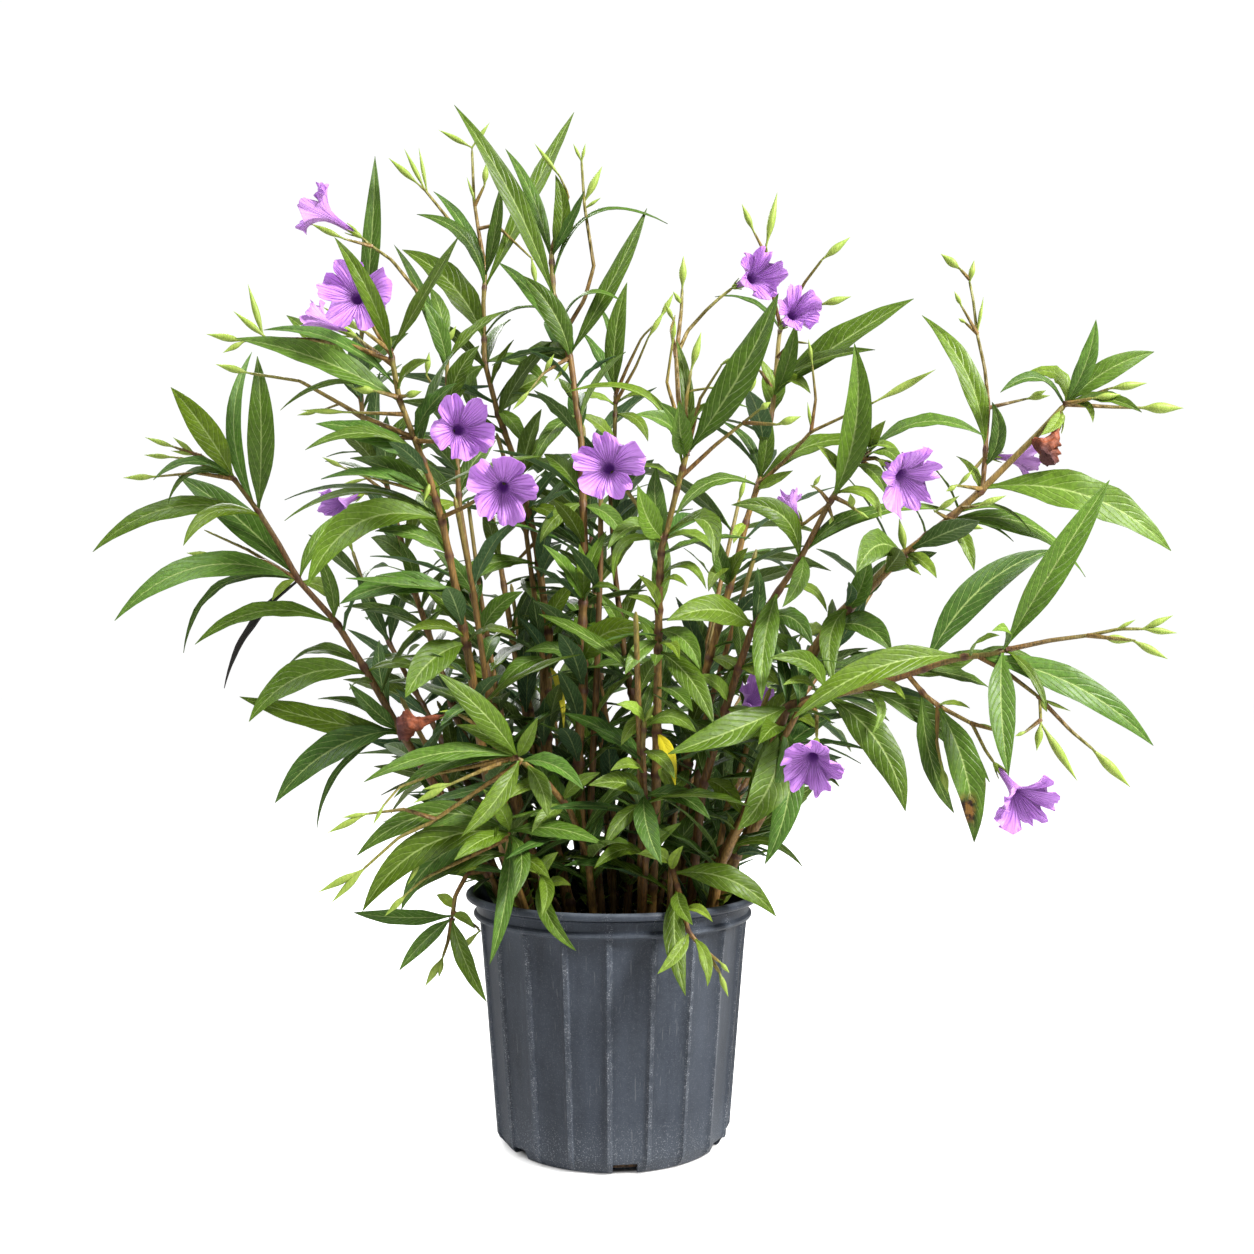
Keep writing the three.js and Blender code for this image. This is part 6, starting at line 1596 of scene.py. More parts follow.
def make_vein_group():
    group, given, result = group_with(
        "leaf veins",
        [("Across", "NodeSocketFloat", 0.0), ("Along", "NodeSocketFloat", 0.0),
         ("Which", "NodeSocketFloat", 0.0), ("Pairs", "NodeSocketFloat", 11.0),
         ("Slant", "NodeSocketFloat", 2.5)],
        [(mask, "NodeSocketFloat") for mask in ("Midrib", "Veins", "Height")],
    )
    out = maths(group, "ABSOLUTE", given["Across"])
    midrib = spread(group, out, 0.025, 0.08, 1, 0)
    slanted = times(group, maths(group, "POWER", out, 1.3), given["Slant"])
    side = times(group, maths(group, "GREATER_THAN", given["Across"], 0), 0.45)
    count = times(group, given["Along"], given["Pairs"])
    spot = vector(group, given["Across"], count, given["Which"])
    stray = times(group, grain(group, spot, 0.5, 1), 0.9)
    away = from_middle(group, plus(group, minus(group, count, slanted), plus(group, side, stray)))
    line = spread(group, away, 0.45, 0.49)
    fade = times(group, spread(group, out, 0.78, 1, 1, 0.1),
                 spread(group, given["Along"], 0.06, 0.16))
    swell = times(group, minus(group, 1, spread(group, away, 0.34, 0.5)), fade)
    feed(group, result, Midrib=midrib, Veins=times(group, line, fade),
         Height=minus(group, swell, times(group, midrib, 0.6)))
    return group


VEINS = make_vein_group()


# %% Leaves, both faces
WITHERED_YELLOW = (0.66, 0.56, 0.025)
# the colour of the one near-black leaf
BLACK_LEAF_COLOR = (0.016, 0.014, 0.011)
BURNT_COLORS = (0.012, 0.006, 0.003), (0.13, 0.065, 0.014)
BROWN_EDGE = (0.16, 0.08, 0.02)
WARM, COOL = (1.12, 1.0, 0.3), (0.80, 1.0, 1.9)


def leaf_finish(name, dark, light, young, vein_color, vein_share, rib_share, roughness, height):
    material, tree, sockets = new_finish(name, IOR=1.42, Specular_IOR_Level=0.32)
    across, along, which = place_of(tree)[:3]
    tone, youth, yellow = tint_of(tree)[:3]
    where = object_place(tree)
    veins = use_group(tree, VEINS, {"Across": across, "Along": along, "Which": which})
    patch = grain(tree, where, 22, 4)
    color = mix(tree, times(tree, plus(tree, tone, patch), 0.5), dark, light)
    cool = maths(tree, "FRACT", times(tree, which, 3.7))
    color = mix(tree, 1, color, mix(tree, cool, WARM, COOL), "MULTIPLY")
    color = mix(tree, youth, color, young)
    color = mix(tree, times(tree, veins["Veins"], vein_share), color, vein_color)
    color = mix(tree, times(tree, veins["Midrib"], rib_share), color, vein_color)
    fleck = spread(tree, grain(tree, where, 300, 3), 0.34, 0.7, 0.74, 1.16)
    color = mix(tree, 1, color, grey(tree, fleck), "MULTIPLY")
    color = mix(tree, yellow, color, WITHERED_YELLOW)
    color = mix(tree, spread(tree, tone, -1, -0.5, 1, 0), color, BLACK_LEAF_COLOR)
    burnt = times(tree, spread(tree, along, 0.64, 0.72), spread(tree, along, 0.84, 0.92, 1, 0))
    burnt = times(tree, burnt, spread(tree, across, -0.6, 0.0))
    burnt = times(tree, burnt, spread(tree, yellow, -1, -0.5, 1, 0))
    crust = mix(tree, spread(tree, grain(tree, where, 150, 4), 0.45, 0.6), *BURNT_COLORS)
    color = mix(tree, burnt, color, crust)
    edge = spread(tree, maths(tree, "ABSOLUTE", across), 0.86, 1)
    spot = times(tree, spread(tree, grain(tree, where, 60, 5), 0.62, 0.7), edge)
    color = mix(tree, times(tree, spot, 0.5), color, BROWN_EDGE)
    shine = spread(tree, grain(tree, where, 60, 2), 0.3, 0.7, roughness - 0.04, roughness + 0.08)
    pores = times(tree, grain(tree, where, 420, 2), 0.5)
    feed(tree, sockets, Base_Color=color, Roughness=shine,
         Normal=bump(tree, plus(tree, veins["Height"], pores), height, 0.0008))
    return material


LEAF_TOP = leaf_finish(
    "leaf_top", dark=(0.012, 0.042, 0.003), light=(0.130, 0.240, 0.016), young=(0.30, 0.42, 0.04),
    vein_color=(0.36, 0.46, 0.15), vein_share=0.55, rib_share=0.62, roughness=0.42, height=0.45)
LEAF_UNDER = leaf_finish(
    "leaf_underside", dark=(0.05, 0.10, 0.025), light=(0.17, 0.26, 0.065), young=(0.30, 0.42, 0.08),
    vein_color=(0.38, 0.48, 0.20), vein_share=0.7, rib_share=0.95, roughness=0.55, height=0.4)
print("leaf finishes:", LEAF_TOP.name, LEAF_UNDER.name)

# %% [markdown]
# ## Stems and buds
#
# A ruellia stem is tan and woody below, reddish at the joints, and green towards its tip, with fine
# lengthwise streaks. Buds and cups are a fresh yellow green. All of them are limbs of one material:
# the tint that each copy carries says how green it is and where its joints are.


# %% Stem finish
def stem_finish():
    material, tree, sockets = new_finish("stem", IOR=1.45)
    across = place_of(tree)[0]
    tone, green, joint = tint_of(tree)[:3]
    where = object_place(tree)
    streak = spread(tree, grain(tree, streaked(tree, where, 0.12), 700, 3), 0.35, 0.68)
    wood = mix(tree, streak, (0.062, 0.023, 0.005), (0.205, 0.090, 0.020))
    tan = mix(tree, streak, (0.14, 0.070, 0.014), (0.36, 0.205, 0.048))
    wood = mix(tree, tone, wood, tan)
    lichen = spread(tree, grain(tree, where, 16, 2), 0.35, 0.65, 0, 0.35)
    wood = mix(tree, lichen, wood, (0.13, 0.10, 0.028))
    fresh = mix(tree, streak, (0.15, 0.19, 0.03), (0.27, 0.31, 0.06))
    lime = mix(tree, streak, (0.23, 0.36, 0.04), (0.34, 0.46, 0.07))
    color = mix(tree, spread(tree, green, 0.05, 0.6), wood, fresh)
    color = mix(tree, spread(tree, green, 0.6, 1), color, lime)
    ring = spread(tree, joint, 0.15, 0.75, 0, 0.9)
    color = mix(tree, times(tree, minus(tree, 1, across), ring), color, (0.07, 0.022, 0.008))
    feed(tree, sockets, Base_Color=color, Roughness=spread(tree, streak, 0, 1, 0.62, 0.44),
         Normal=bump(tree, streak, 0.3, 0.0004))
    return material


STEM = stem_finish()

# %% [markdown]
# ## Petals
#
# The petals are lilac and thin, and darker veins fan out from a deep purple throat. The pattern
# follows each lobe: how far across the lobe a point is, and how far out from the tube.


# %% Petal finish
# How much of the petal's colour is given out as painted glow.
PETAL_GLOW = 0.14


def petal_finish(name, light, deep, throat, vein_strength, glow, crease_depth):
    """The glow is painted light: an emission, lit by no lamp, that stands in for the light that
    comes through the thin wall, into the throat above all.
    """
    material, tree, sockets = new_finish(name, Roughness=0.5, IOR=1.35, Emission_Strength=1.0)
    across, out, which = place_of(tree)[:3]
    where = object_place(tree)
    fan = times(tree, across, plus(tree, 2.2, times(tree, out, 2.4)))
    away = from_middle(tree, plus(tree, fan, 0.5))
    line = spread(tree, away, 0.01, 0.12, 1, 0)
    strong = spread(tree, out, 0.56, 0.97, 1, 0.14)
    vein = times(tree, line, strong)
    shade = spread(tree, grain(tree, where, 60, 3), 0.3, 0.7, 0, 0.7)
    color = mix(tree, shade, light, deep)
    color = mix(tree, times(tree, vein, vein_strength), color, throat)
    deep_in = spread(tree, out, 0.30, 0.51)
    color = mix(tree, minus(tree, 0.75, times(tree, deep_in, 0.75)), color, throat)
    # painted glow: the petal's own colour, dimmed, given out as light
    through = mix(tree, 1, color, (PETAL_GLOW,) * 3, "MULTIPLY")
    fluted = vector(tree, times(tree, across, 2.6), out, which)
    furrow = times(tree, spread(tree, away, 0, 0.36, -0.4, 0), strong)
    creases = plus(tree, furrow, grain(tree, fluted, 2.6, 1.6))
    feed(tree, sockets, Base_Color=color, Emission_Color=mix(tree, deep_in, glow, through),
         Normal=bump(tree, creases, 0.9, crease_depth))
    return material


PETAL = petal_finish(
    "petal", light=(0.555, 0.27, 0.745), deep=(0.41, 0.145, 0.58), throat=(0.10, 0.016, 0.19),
    vein_strength=0.95, glow=(0.030, 0.006, 0.060), crease_depth=0.0036)
PETAL_BACK = petal_finish(
    "petal_back", light=(0.60, 0.31, 0.76), deep=(0.44, 0.19, 0.60), throat=(0.36, 0.14, 0.48),
    vein_strength=0.5, glow=(0.02, 0.008, 0.03), crease_depth=0.0008)


def withered_finish():
    material, tree, sockets = new_finish("withered_petal", IOR=1.4)
    out = place_of(tree)[1]
    shade = spread(tree, grain(tree, object_place(tree), 170, 5), 0.3, 0.7)
    color = mix(tree, shade, (0.06, 0.014, 0.006), (0.34, 0.085, 0.03))
    color = mix(tree, spread(tree, out, 0.75, 1), color, (0.09, 0.03, 0.03))
    feed(tree, sockets, Base_Color=color, Roughness=spread(tree, shade, 0, 1, 0.8, 0.5),
         Normal=bump(tree, shade, 0.8, 0.001))
    return material


WITHERED_PETAL = withered_finish()
print("petal finishes:", PETAL.name, PETAL_BACK.name, WITHERED_PETAL.name)

# %% [markdown]
# ## The pot
#
# A grower's pot is blown or moulded in one piece from black plastic that greys outdoors. Its wall
# is a round of flat panels with a narrow raised ridge between them, below a collar and a lip that
# is rolled outwards. Its half section is drawn once as a line of edges and spun about the axis;
# then the wall's points are moved in to make the flats and out to make the ridges.

# %% Pot sizes
POT_HEIGHT = 235
LIP_RADIUS = 140
BODY_FOOT_RADIUS = 110
BASE_RADIUS = 103
FLOOR = 4
PANELS = 20
FIRST_RIDGE = -1.4
RIDGE_HEIGHT = 1.7
RIDGE_HALF_ANGLE = 1
FLATTENED = 1.3
COLLAR_FOOT = 211
POT_CREASE = 32
COLUMN_ANGLES = (-1.35, -0.85, 0, 0.85, 1.35, 2.2, 3.6, 5.4, 7.2, 9, 10.8, 12.6, 14.4, 15.8)
DRAINS, DRAIN_WIDTH, DRAIN_HEIGHT, FIRST_DRAIN = 6, 22, 9.5, -84
DRAIN_DEPTH, DRAIN_RADIUS = 40, 112

POT_SECTION = [
    # the underside and the foot
    (0, 0.8), (60, 0.8), (88, 0.6), (92, 0), (BASE_RADIUS - 1.5, 0), (BASE_RADIUS, 0.7),
    (104.6, 2.6), (107.5, 7), (109.2, 10.4), (BODY_FOOT_RADIUS, 12), (110.6, 20),
    # the wall, the bead under the collar and the collar
    (112.4, 42), (116.4, 92), (120.4, 142), (124, 186), (126.2, 208), (126.6, 210.4),
    (128.6, COLLAR_FOOT), (131.4, 211.8), (132.6, 213.4), (132.5, 215.2), (131.4, 216.6),
    (130, 217.4), (129.8, 218.4), (130.2, 224.4), (131.6, 225), (131.6, 226.2), (130.4, 227),
    # the rolled lip
    (132, 227.9), (135.4, 227.9), (138.2, 228.3), (139.6, 229.6), (LIP_RADIUS, 231.4),
    (139.6, 233.2), (138.4, 234.5), (136.6, POT_HEIGHT), (134.8, 234.8), (133.2, 233.8),
    # down the inside to the floor
    (131.8, 231.4), (128.4, 225), (124.4, 213), (121, 186), (117.4, 142), (113.4, 92),
    (109.4, 42), (106.6, 12), (104, 6), (101.5, 4.4), (96, FLOOR), (50, FLOOR), (0, FLOOR),
]


# %% Flats and ridges
def on_wall(height):
    """1 on the panelled wall, fading out at its foot and at the collar."""
    return min(1, max(0, (height - 1) / 6)) * min(1, max(0, (COLLAR_FOOT - height) / 2))


def wall_shift(radius, height, along):
    """How far a point of the wall moves outwards, by its angle from a ridge's middle."""
    pitch = 360 / PANELS
    from_ridge = min(abs(along), pitch - along)
    flat = math.cos(math.radians(pitch / 2)) / math.cos(math.radians(along - pitch / 2)) - 1
    raised = 1 if from_ridge < RIDGE_HALF_ANGLE else 0
    return on_wall(height) * (radius * flat * FLATTENED + RIDGE_HEIGHT * raised)


def make_pot():
    bm = bmesh.new()
    corners = [bm.verts.new((radius, 0, height)) for radius, height in POT_SECTION]
    edges = [bm.edges.new(pair) for pair in zip(corners, corners[1:])]
    steps = PANELS * len(COLUMN_ANGLES)
    bmesh.ops.spin(bm, geom=corners + edges, cent=(0, 0, 0), axis=(0, 0, 1), angle=2 * math.pi,
                   steps=steps, use_merge=True)
    bmesh.ops.remove_doubles(bm, verts=bm.verts, dist=0.01)
    for corner in bm.verts:
        radius, angle = math.hypot(corner.co.x, corner.co.y), math.atan2(corner.co.y, corner.co.x)
        if radius > 1:
            panel, column = divmod(round(angle / (2 * math.pi) * steps) % steps, len(COLUMN_ANGLES))
            along = COLUMN_ANGLES[column]
            inner = radius < lerp(101.5, 124.4, corner.co.z / 213) + 0.4 and corner.co.z > 5
            if radius > 100 and not inner:
                radius += wall_shift(radius, corner.co.z, along)
            angle = math.radians(FIRST_RIDGE + panel * 360 / PANELS + along)
            corner.co.x, corner.co.y = radius * math.cos(angle), radius * math.sin(angle)
    bmesh.ops.recalc_face_normals(bm, faces=bm.faces)
    return bm


def cut_drains(bm):
    """Six notches at the foot, cut by boxes."""
    pot = placed("nursery_pot", bpy.data.meshes.new("nursery_pot"))
    cutters = bmesh.new()
    for i in range(DRAINS):
        turn = Matrix.Rotation(math.radians(FIRST_DRAIN + i * 360 / DRAINS), 4, "Z")
        out = Matrix.Translation((DRAIN_RADIUS, 0, 0))
        size = Matrix.Diagonal((DRAIN_DEPTH, DRAIN_WIDTH, 2 * DRAIN_HEIGHT, 1))
        bmesh.ops.create_cube(cutters, size=1, matrix=turn @ out @ size)
    cutter = placed("drain_cutter", bpy.data.meshes.new("drain_cutter"))
    for source, target in ((bm, pot), (cutters, cutter)):
        bmesh.ops.scale(source, verts=source.verts, vec=(MM, MM, MM))
        source.to_mesh(target.data)
        source.free()
    cut = pot.modifiers.new("drains", "BOOLEAN")
    cut.operation, cut.object, cut.solver = "DIFFERENCE", cutter, "EXACT"
    evaluated = pot.evaluated_get(bpy.context.evaluated_depsgraph_get())
    whole = bpy.data.meshes.new_from_object(evaluated)
    pot.modifiers.clear()
    pot.data = whole
    bpy.data.objects.remove(cutter)
    return pot


pot = cut_drains(make_pot())
bm = bmesh.new()
bm.from_mesh(pot.data)
side_faces(bm, POT_CREASE)
bm.to_mesh(pot.data)
bm.free()
print("pot faces:", len(pot.data.polygons))

# %% [markdown]
# ## Dust
#
# Soil dust settles on the pot and on the soil's own crumbs, thicker where a face looks up. It is
# one group of nodes that gives a mask, which each finish mixes in with its own colour.


# %% The dust group
def make_dust_group():
    group, given, result = group_with(
        "dust",
        [("Place", "NodeSocketVector", (0, 0, 0)), ("Scale", "NodeSocketFloat", 30.0),
         ("Amount", "NodeSocketFloat", 0.5)],
        [("Mask", "NodeSocketFloat")],
    )
    finer = times(group, given["Scale"], 9)
    fine = spread(group, grain(group, given["Place"], finer, 4), 0.42, 0.62)
    broad = spread(group, grain(group, given["Place"], given["Scale"], 4), 0.38, 0.66)
    normal = add_node(group, "NewGeometry").outputs["Normal"]
    up = spread(group, add_node(group, "SeparateXYZ", {0: normal}).outputs[2], -0.2, 0.9, 0.35, 1)
    lain = times(group, plus(group, times(group, fine, 0.5), broad), up)
    feed(group, result, Mask=maths(group, "MULTIPLY", lain, given["Amount"], clamp=True))
    return group


DUST = make_dust_group()


# %% Pot finish
def pot_finish():
    material, tree, sockets = new_finish("greyed_plastic", IOR=1.46, Specular_IOR_Level=0.22)
    where = object_place(tree)
    spot = add_node(tree, "SeparateXYZ", {0: where}).outputs
    weather = spread(tree, grain(tree, streaked(tree, where, 0.16), 38, 5), 0.3, 0.7)
    color = mix(tree, weather, (0.020, 0.025, 0.035), (0.046, 0.056, 0.076))
    angle = maths(tree, "ARCTAN2", spot[1], spot[0])
    from_first = minus(tree, angle, math.radians(FIRST_RIDGE))
    turn = maths(tree, "DIVIDE", from_first, 2 * math.pi / PANELS)
    near = from_middle(tree, plus(tree, turn, PANELS + 0.5))
    # Along each ridge runs a paler, broken band: wear on the crests, and a painted highlight on
    # them.
    ridge_wear_and_highlight = times(tree, spread(tree, near, 0.05, 0.10, 1, 0),
                 spread(tree, grain(tree, where, 120, 5), 0.35, 0.6))
    wall = times(tree, spread(tree, spot[2], 0.008, 0.016),
                 spread(tree, spot[2], 0.208, 0.213, 1, 0))
    color = mix(tree, times(tree, ridge_wear_and_highlight, wall, 0.28), color, (0.14, 0.155, 0.18))
    speck = times(tree, spread(tree, grain(tree, where, 900, 1), 0.61, 0.65),
                  plus(tree, ridge_wear_and_highlight, spread(tree, spot[2], 0, 0.05, 1, 0.12), clamp=True))
    color = mix(tree, times(tree, speck, 0.55), color, (0.40, 0.42, 0.46))
    slanted = streaked(tree, where, 0.05, (0.1, 0.2, 0))
    scratch = spread(tree, grain(tree, slanted, 420, 2), 0.66, 0.72)
    color = mix(tree, times(tree, scratch, 0.25), color, (0.2, 0.21, 0.22))
    dust = use_group(tree, DUST, {"Place": where, "Scale": 26.0, "Amount": 0.3})["Mask"]
    low = spread(tree, spot[2], 0.0, 0.05, 0.3, 0)
    # The lip's top and the bead under the collar are paler: wear, and a painted highlight on these
    # edges.
    from_bead = maths(tree, "ABSOLUTE", minus(tree, spot[2], 0.2142))
    edge = maths(tree, "MAXIMUM", spread(tree, spot[2], 0.2325, 0.2345),
                 spread(tree, from_bead, 0.0007, 0.0016, 0.8, 0))
    lip_wear_and_highlight = times(tree, edge, spread(tree, grain(tree, where, 60, 4), 0.4, 0.6, 0.2, 0.65))
    pale = plus(tree, dust, plus(tree, low, lip_wear_and_highlight), clamp=True)
    color = mix(tree, pale, color, (0.10, 0.115, 0.14))
    rough = plus(tree, grain(tree, where, 900, 3), times(tree, weather, 0.8))
    feed(tree, sockets, Base_Color=color, Roughness=spread(tree, dust, 0, 0.4, 0.38, 0.6),
         Normal=bump(tree, rough, 0.2, 0.0006))
    return material


pot.data.materials.clear()
pot.data.materials.append(pot_finish())
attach(pot, "root")
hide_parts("pot")

# %% [markdown]
# ## The soil
#
# The mix is dark bark and peat with a few pale grains. Its top is a disc of many faces that noise
# lifts into clods, closed below by a plain wall and floor where nobody looks, and a few hundred
# loose crumbs with few faces each lie on it.

# %% Soil body
SOIL_RADIUS = 120
SOIL_SIDES, SOIL_CUTS = 96, 34
SOIL_RINGS = ((119, 170), (110, 60), (101, 8), (100, 4.4))
CLODS = ((0.045, 3), (0.14, 2.6), (0.42, 1.3))


def soil_height(x, y):
    spot = Vector((x, y, 0))
    clods = sum(noise.noise(spot * scale) * height for scale, height in CLODS)
    edge = max(0, (math.hypot(x, y) - 88) / 34)
    return SOIL_TOP - 0.5 - 4.5 * edge**1.5 + clods * (1 - 0.4 * edge)


def make_soil():
    bm = bmesh.new()
    bmesh.ops.create_circle(bm, cap_ends=True, cap_tris=True, segments=SOIL_SIDES,
                            radius=SOIL_RADIUS)
    spokes = [edge for edge in bm.edges if not edge.is_boundary]
    bmesh.ops.subdivide_edges(bm, edges=spokes, cuts=SOIL_CUTS, use_grid_fill=False)
    bmesh.ops.triangulate(bm, faces=bm.faces)
    for corner in bm.verts:
        corner.co.z = soil_height(corner.co.x, corner.co.y)
    rim = [edge for edge in bm.edges if edge.is_boundary]
    for radius, height in SOIL_RINGS:
        made = bmesh.ops.extrude_edge_only(bm, edges=rim)["geom"]
        corners = [item for item in made if isinstance(item, bmesh.types.BMVert)]
        rim = [item for item in made if isinstance(item, bmesh.types.BMEdge) and item.is_boundary]
        for corner in corners:
            grown = radius / math.hypot(corner.co.x, corner.co.y)
            corner.co = (corner.co.x * grown, corner.co.y * grown, height)
    bmesh.ops.holes_fill(bm, edges=rim, sides=200)
    bmesh.ops.recalc_face_normals(bm, faces=bm.faces)
    bmesh.ops.scale(bm, verts=bm.verts, vec=(MM, MM, MM))
    return placed("potting_soil", finished(bm, "potting_soil")[0])


# %% Soil finish
def soil_finish():
    material, tree, sockets = new_finish("bark_and_peat", IOR=1.4, Roughness=0.92)
    where = object_place(tree)
    fine = grain(tree, where, 420, 5, 0.65)
    color = mix(tree, spread(tree, fine, 0.32, 0.66), (0.007, 0.0045, 0.003), (0.062, 0.038, 0.022))
    chips = add_node(tree, "TexVoronoi", {"Vector": where, "Scale": 230.0}).outputs
    tone = add_node(tree, "SeparateColor", {0: chips["Color"]}).outputs[0]
    color = mix(tree, spread(tree, tone, 0.72, 0.8, 0, 0.55), color, (0.13, 0.075, 0.04))
    color = mix(tree, spread(tree, tone, 0.965, 0.975, 0, 0.8), color, (0.42, 0.38, 0.32))
    dust = use_group(tree, DUST, {"Place": where, "Scale": 40.0, "Amount": 0.2})["Mask"]
    feed(tree, sockets, Base_Color=mix(tree, dust, color, (0.09, 0.06, 0.04)),
         Normal=bump(tree, plus(tree, fine, chips["Distance"]), 0.9, 0.002))
    return material


SOIL = soil_finish()
soil = make_soil()
soil.data.materials.append(SOIL)
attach(soil, "root")
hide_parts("soil")
print("soil faces:", len(soil.data.polygons))

# %% Loose crumbs
CRUMBS = 620
CRUMB_REACH = 118
CRUMB_SIZES = (0.8, 3.4)
CRUMB_SHAPE = ((0.7, 2.2), (0.6, 1.1), (0.35, 0.8))
RAGGEDNESS = 0.3


def make_crumbs():
    seed = bmesh.new()
    bmesh.ops.create_icosphere(seed, subdivisions=1, radius=1)
    crumb, shape = finished(seed, "crumb")
    bm = bmesh.new()
    spots = []
    for k in range(CRUMBS):
        pick = [chance(k * 9.7 + salt) for salt in (0.1, 0.2, 0.3, 0.4, 0.5, 0.6, 0.7)]
        reach, turn = CRUMB_REACH * math.sqrt(pick[0]), 2 * math.pi * pick[1]
        x, y = reach * math.cos(turn), reach * math.sin(turn)
        size = lerp(*CRUMB_SIZES, pick[2] ** 2)
        shrink = np.array([lerp(*bounds, part) for bounds, part in zip(CRUMB_SHAPE, pick[3:6])])
        tilt = Matrix.Rotation(pick[5] - 0.5, 3, "X")
        spun = np.array(Matrix.Rotation(6.3 * pick[6], 3, "Z") @ tilt)
        bumps = [noise.noise(Vector(spot) * 2 + Vector((k, 0, 0))) for spot in shape]
        ragged = 1 + RAGGEDNESS * np.array(bumps)
        bm.from_mesh(crumb)
        spots.append((shape * ragged[:, None] * shrink * size) @ spun.T
                     + (x, y, soil_height(x, y) + 0.2 * size))
    mesh = bpy.data.meshes.new("soil_crumbs")
    bm.to_mesh(mesh)
    bm.free()
    mesh.vertices.foreach_set("co", (np.vstack(spots) * MM).ravel())
    mesh.update()
    return placed("soil_crumbs", mesh)


crumbs = make_crumbs()
crumbs.data.materials.append(SOIL)
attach(crumbs, "root")
print("crumbs:", CRUMBS, "with", len(crumbs.data.polygons), "faces in all")

# %% [markdown]
# ## Growing it all
#
# With the finishes made, each shoot's leaves, limbs, buds and cups are bent and gathered into one
# object that stands for its solid, and each bloom into its own.

# %% Shoots
def shoot_piece(name, shoot):
    copies = [leaf_copy(blade) for blade in shoot["blades"]]
    copies += [limb_copy(limb, k + 10 * shoot["number"]) for k, limb in enumerate(shoot["limbs"])]
    copies += [bud_copy(bud, k + 50 * shoot["number"]) for k, bud in enumerate(shoot["buds"])]
    copies += [cup_copy(cup, k + 10 * shoot["number"]) for k, cup in enumerate(shoot["cups"])]
    return built("leafy_stem_" + name, copies, (LEAF_TOP, LEAF_UNDER, STEM),
                 ["shoot_" + name])


total = 0
for name, shoot in shoots.items():
    piece = shoot_piece(name, shoot)
    piece.data.calc_loop_triangles()
    total += len(piece.data.loop_triangles)
print("triangles of the shoots:", total)

# %% Blooms, open and withered
for number, bloom in enumerate(BLOOMS, 1):
    built("corolla_%02d" % number, [bend_bloom(bloom, number)], (PETAL, PETAL_BACK),
          ["bloom_%02d" % number])
for number, (node, bloom) in enumerate(WITHERED.items()):
    piece = built(node.replace("dried_bloom", "withered"), [bend_withered(bloom, number)],
                  (WITHERED_PETAL,), [node])
    for face in piece.data.polygons:
        face.material_index = 0
print("blooms:", len(BLOOMS), "open,", len(WITHERED), "withered")

# %% [markdown]
# ## Floor, light and camera
#
# The photograph has a bare white ground and light from all round, a little stronger from above and
# in front. A wide pale floor under a white sky gives that, with three large soft lamps. The camera
# stands where the photograph's did: its axis is level, and a small shift sets the frame.


# %% Floor
FLOOR_GLOW = 0.82
FOOT_SHADE = (0.095, 0.112)
FLOOR_HALF_SIDE = 30
FLOOR_DROP = 0.0005


def floor_finish():
    """White paper. It glows a little for the camera alone, so that it stays white far off. Round
    the pot's foot the glow fades out, so the floor there is darker: a painted contact shadow over
    the real one.
    """
    material, tree, sockets = new_finish("pale_floor", Roughness=0.9, Emission_Strength=1.0)
    tint = spread(tree, grain(tree, object_place(tree), 0.8, 2), 0, 1, 0.60, 0.64)
    white = grey(tree, tint)
    seen_direct = add_node(tree, "LightPath").outputs["Is Camera Ray"]
    spot = add_node(tree, "SeparateXYZ", {0: object_place(tree)}).outputs
    flat = vector(tree, spot[0], spot[1])
    reach = add_node(tree, "VectorMath", {0: flat}, operation="LENGTH").outputs["Value"]
    # the glow stops short of the pot's foot: painted contact shadow
    clear = times(tree, seen_direct, spread(tree, reach, *FOOT_SHADE))
    feed(tree, sockets, Base_Color=white,
         Emission_Color=mix(tree, clear, (0, 0, 0), (FLOOR_GLOW,) * 3))
    return material


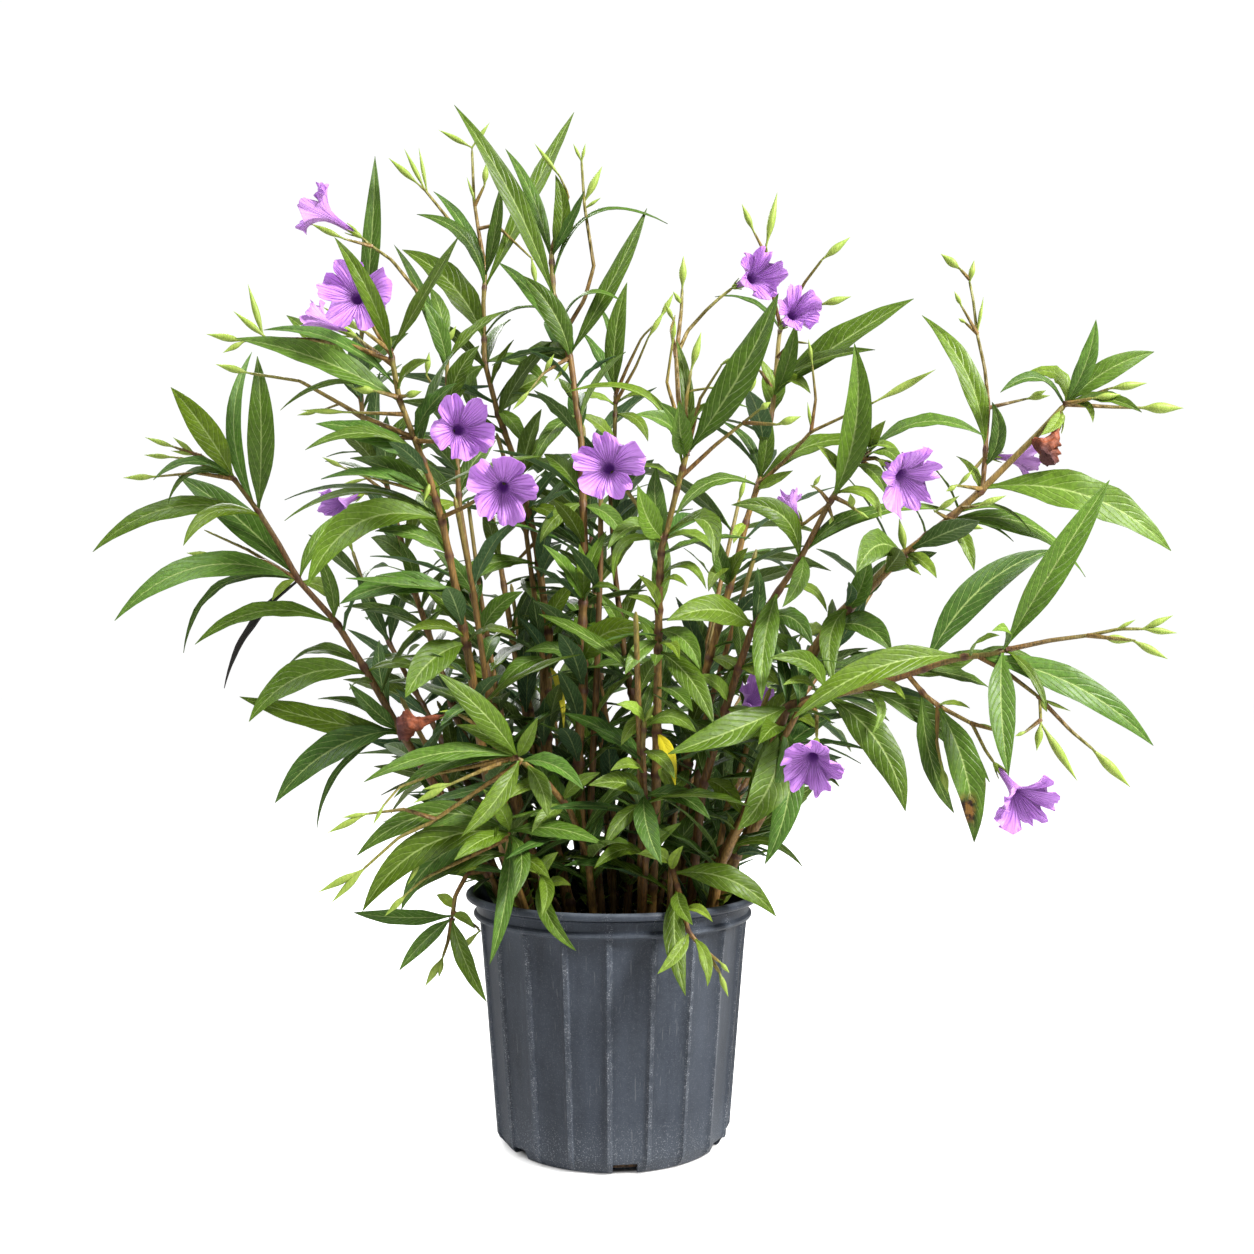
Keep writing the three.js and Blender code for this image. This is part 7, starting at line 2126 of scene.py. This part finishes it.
bm = bmesh.new()
bmesh.ops.create_grid(bm, x_segments=4, y_segments=4, size=FLOOR_HALF_SIDE)
bmesh.ops.translate(bm, verts=bm.verts, vec=(0, 0, -FLOOR_DROP))
floor = placed("floor", finished(bm, "floor")[0])
floor.data.materials.append(floor_finish())

# %% Light
SKY_STRENGTH = 0.3
SKY_SEEN = 1.03


def add_lamp(name, place, target, size, watts, color=(1, 1, 1)):
    lamp = bpy.data.lights.new(name, "AREA")
    lamp.shape, lamp.size, lamp.energy, lamp.color = "DISK", size, watts, color
    holder = placed(name, lamp)
    holder.location = place
    holder.rotation_euler = (Vector(target) - Vector(place)).to_track_quat("-Z", "Y").to_euler()


world = bpy.data.worlds.new("white sky")
bpy.context.scene.world = world
world.use_nodes = True
sky = world.node_tree.nodes["Background"].inputs
sky["Color"].default_value = (1, 1, 1, 1)
seen_direct = add_node(world.node_tree, "LightPath").outputs["Is Camera Ray"]
strength = spread(world.node_tree, seen_direct, 0, 1, SKY_STRENGTH, SKY_SEEN)
feed(world.node_tree, sky, Strength=strength)
add_lamp("key", (2.2, -1.6, 2.5), (0, 0, 0.5), 1.0, 250, (1, 0.985, 0.95))
add_lamp("fill", (-1.5, -0.8, 3.0), (0, 0, 0.7), 1.4, 60)
add_lamp("rim", (-0.9, 2.3, 2.2), (0, 0, 0.6), 1.4, 58)
bpy.context.scene.view_settings.view_transform = "Standard"
bpy.context.scene.view_settings.look = "None"

# %% Camera
FRAME_SIDE = 1254
MM_PER_PIXEL = 0.9597
AXIS_COLUMN, HORIZON_ROW = 612.6, 680
SENSOR = 36

camera = bpy.data.cameras.new("camera")
holder = placed("camera", camera)
holder.location = (0, -EYE_DISTANCE * MM, EYE_HEIGHT * MM)
holder.rotation_euler = (math.pi / 2, 0, 0)
camera.sensor_width = SENSOR
camera.lens = SENSOR * EYE_DISTANCE / (FRAME_SIDE * MM_PER_PIXEL)
camera.shift_x = (FRAME_SIDE / 2 - AXIS_COLUMN) / FRAME_SIDE
camera.shift_y = (HORIZON_ROW - FRAME_SIDE / 2) / FRAME_SIDE
camera.clip_start, camera.clip_end = 0.02, 100
bpy.context.scene.camera = holder
print("lens", round(camera.lens, 2), "shift", round(camera.shift_x, 4), round(camera.shift_y, 4))
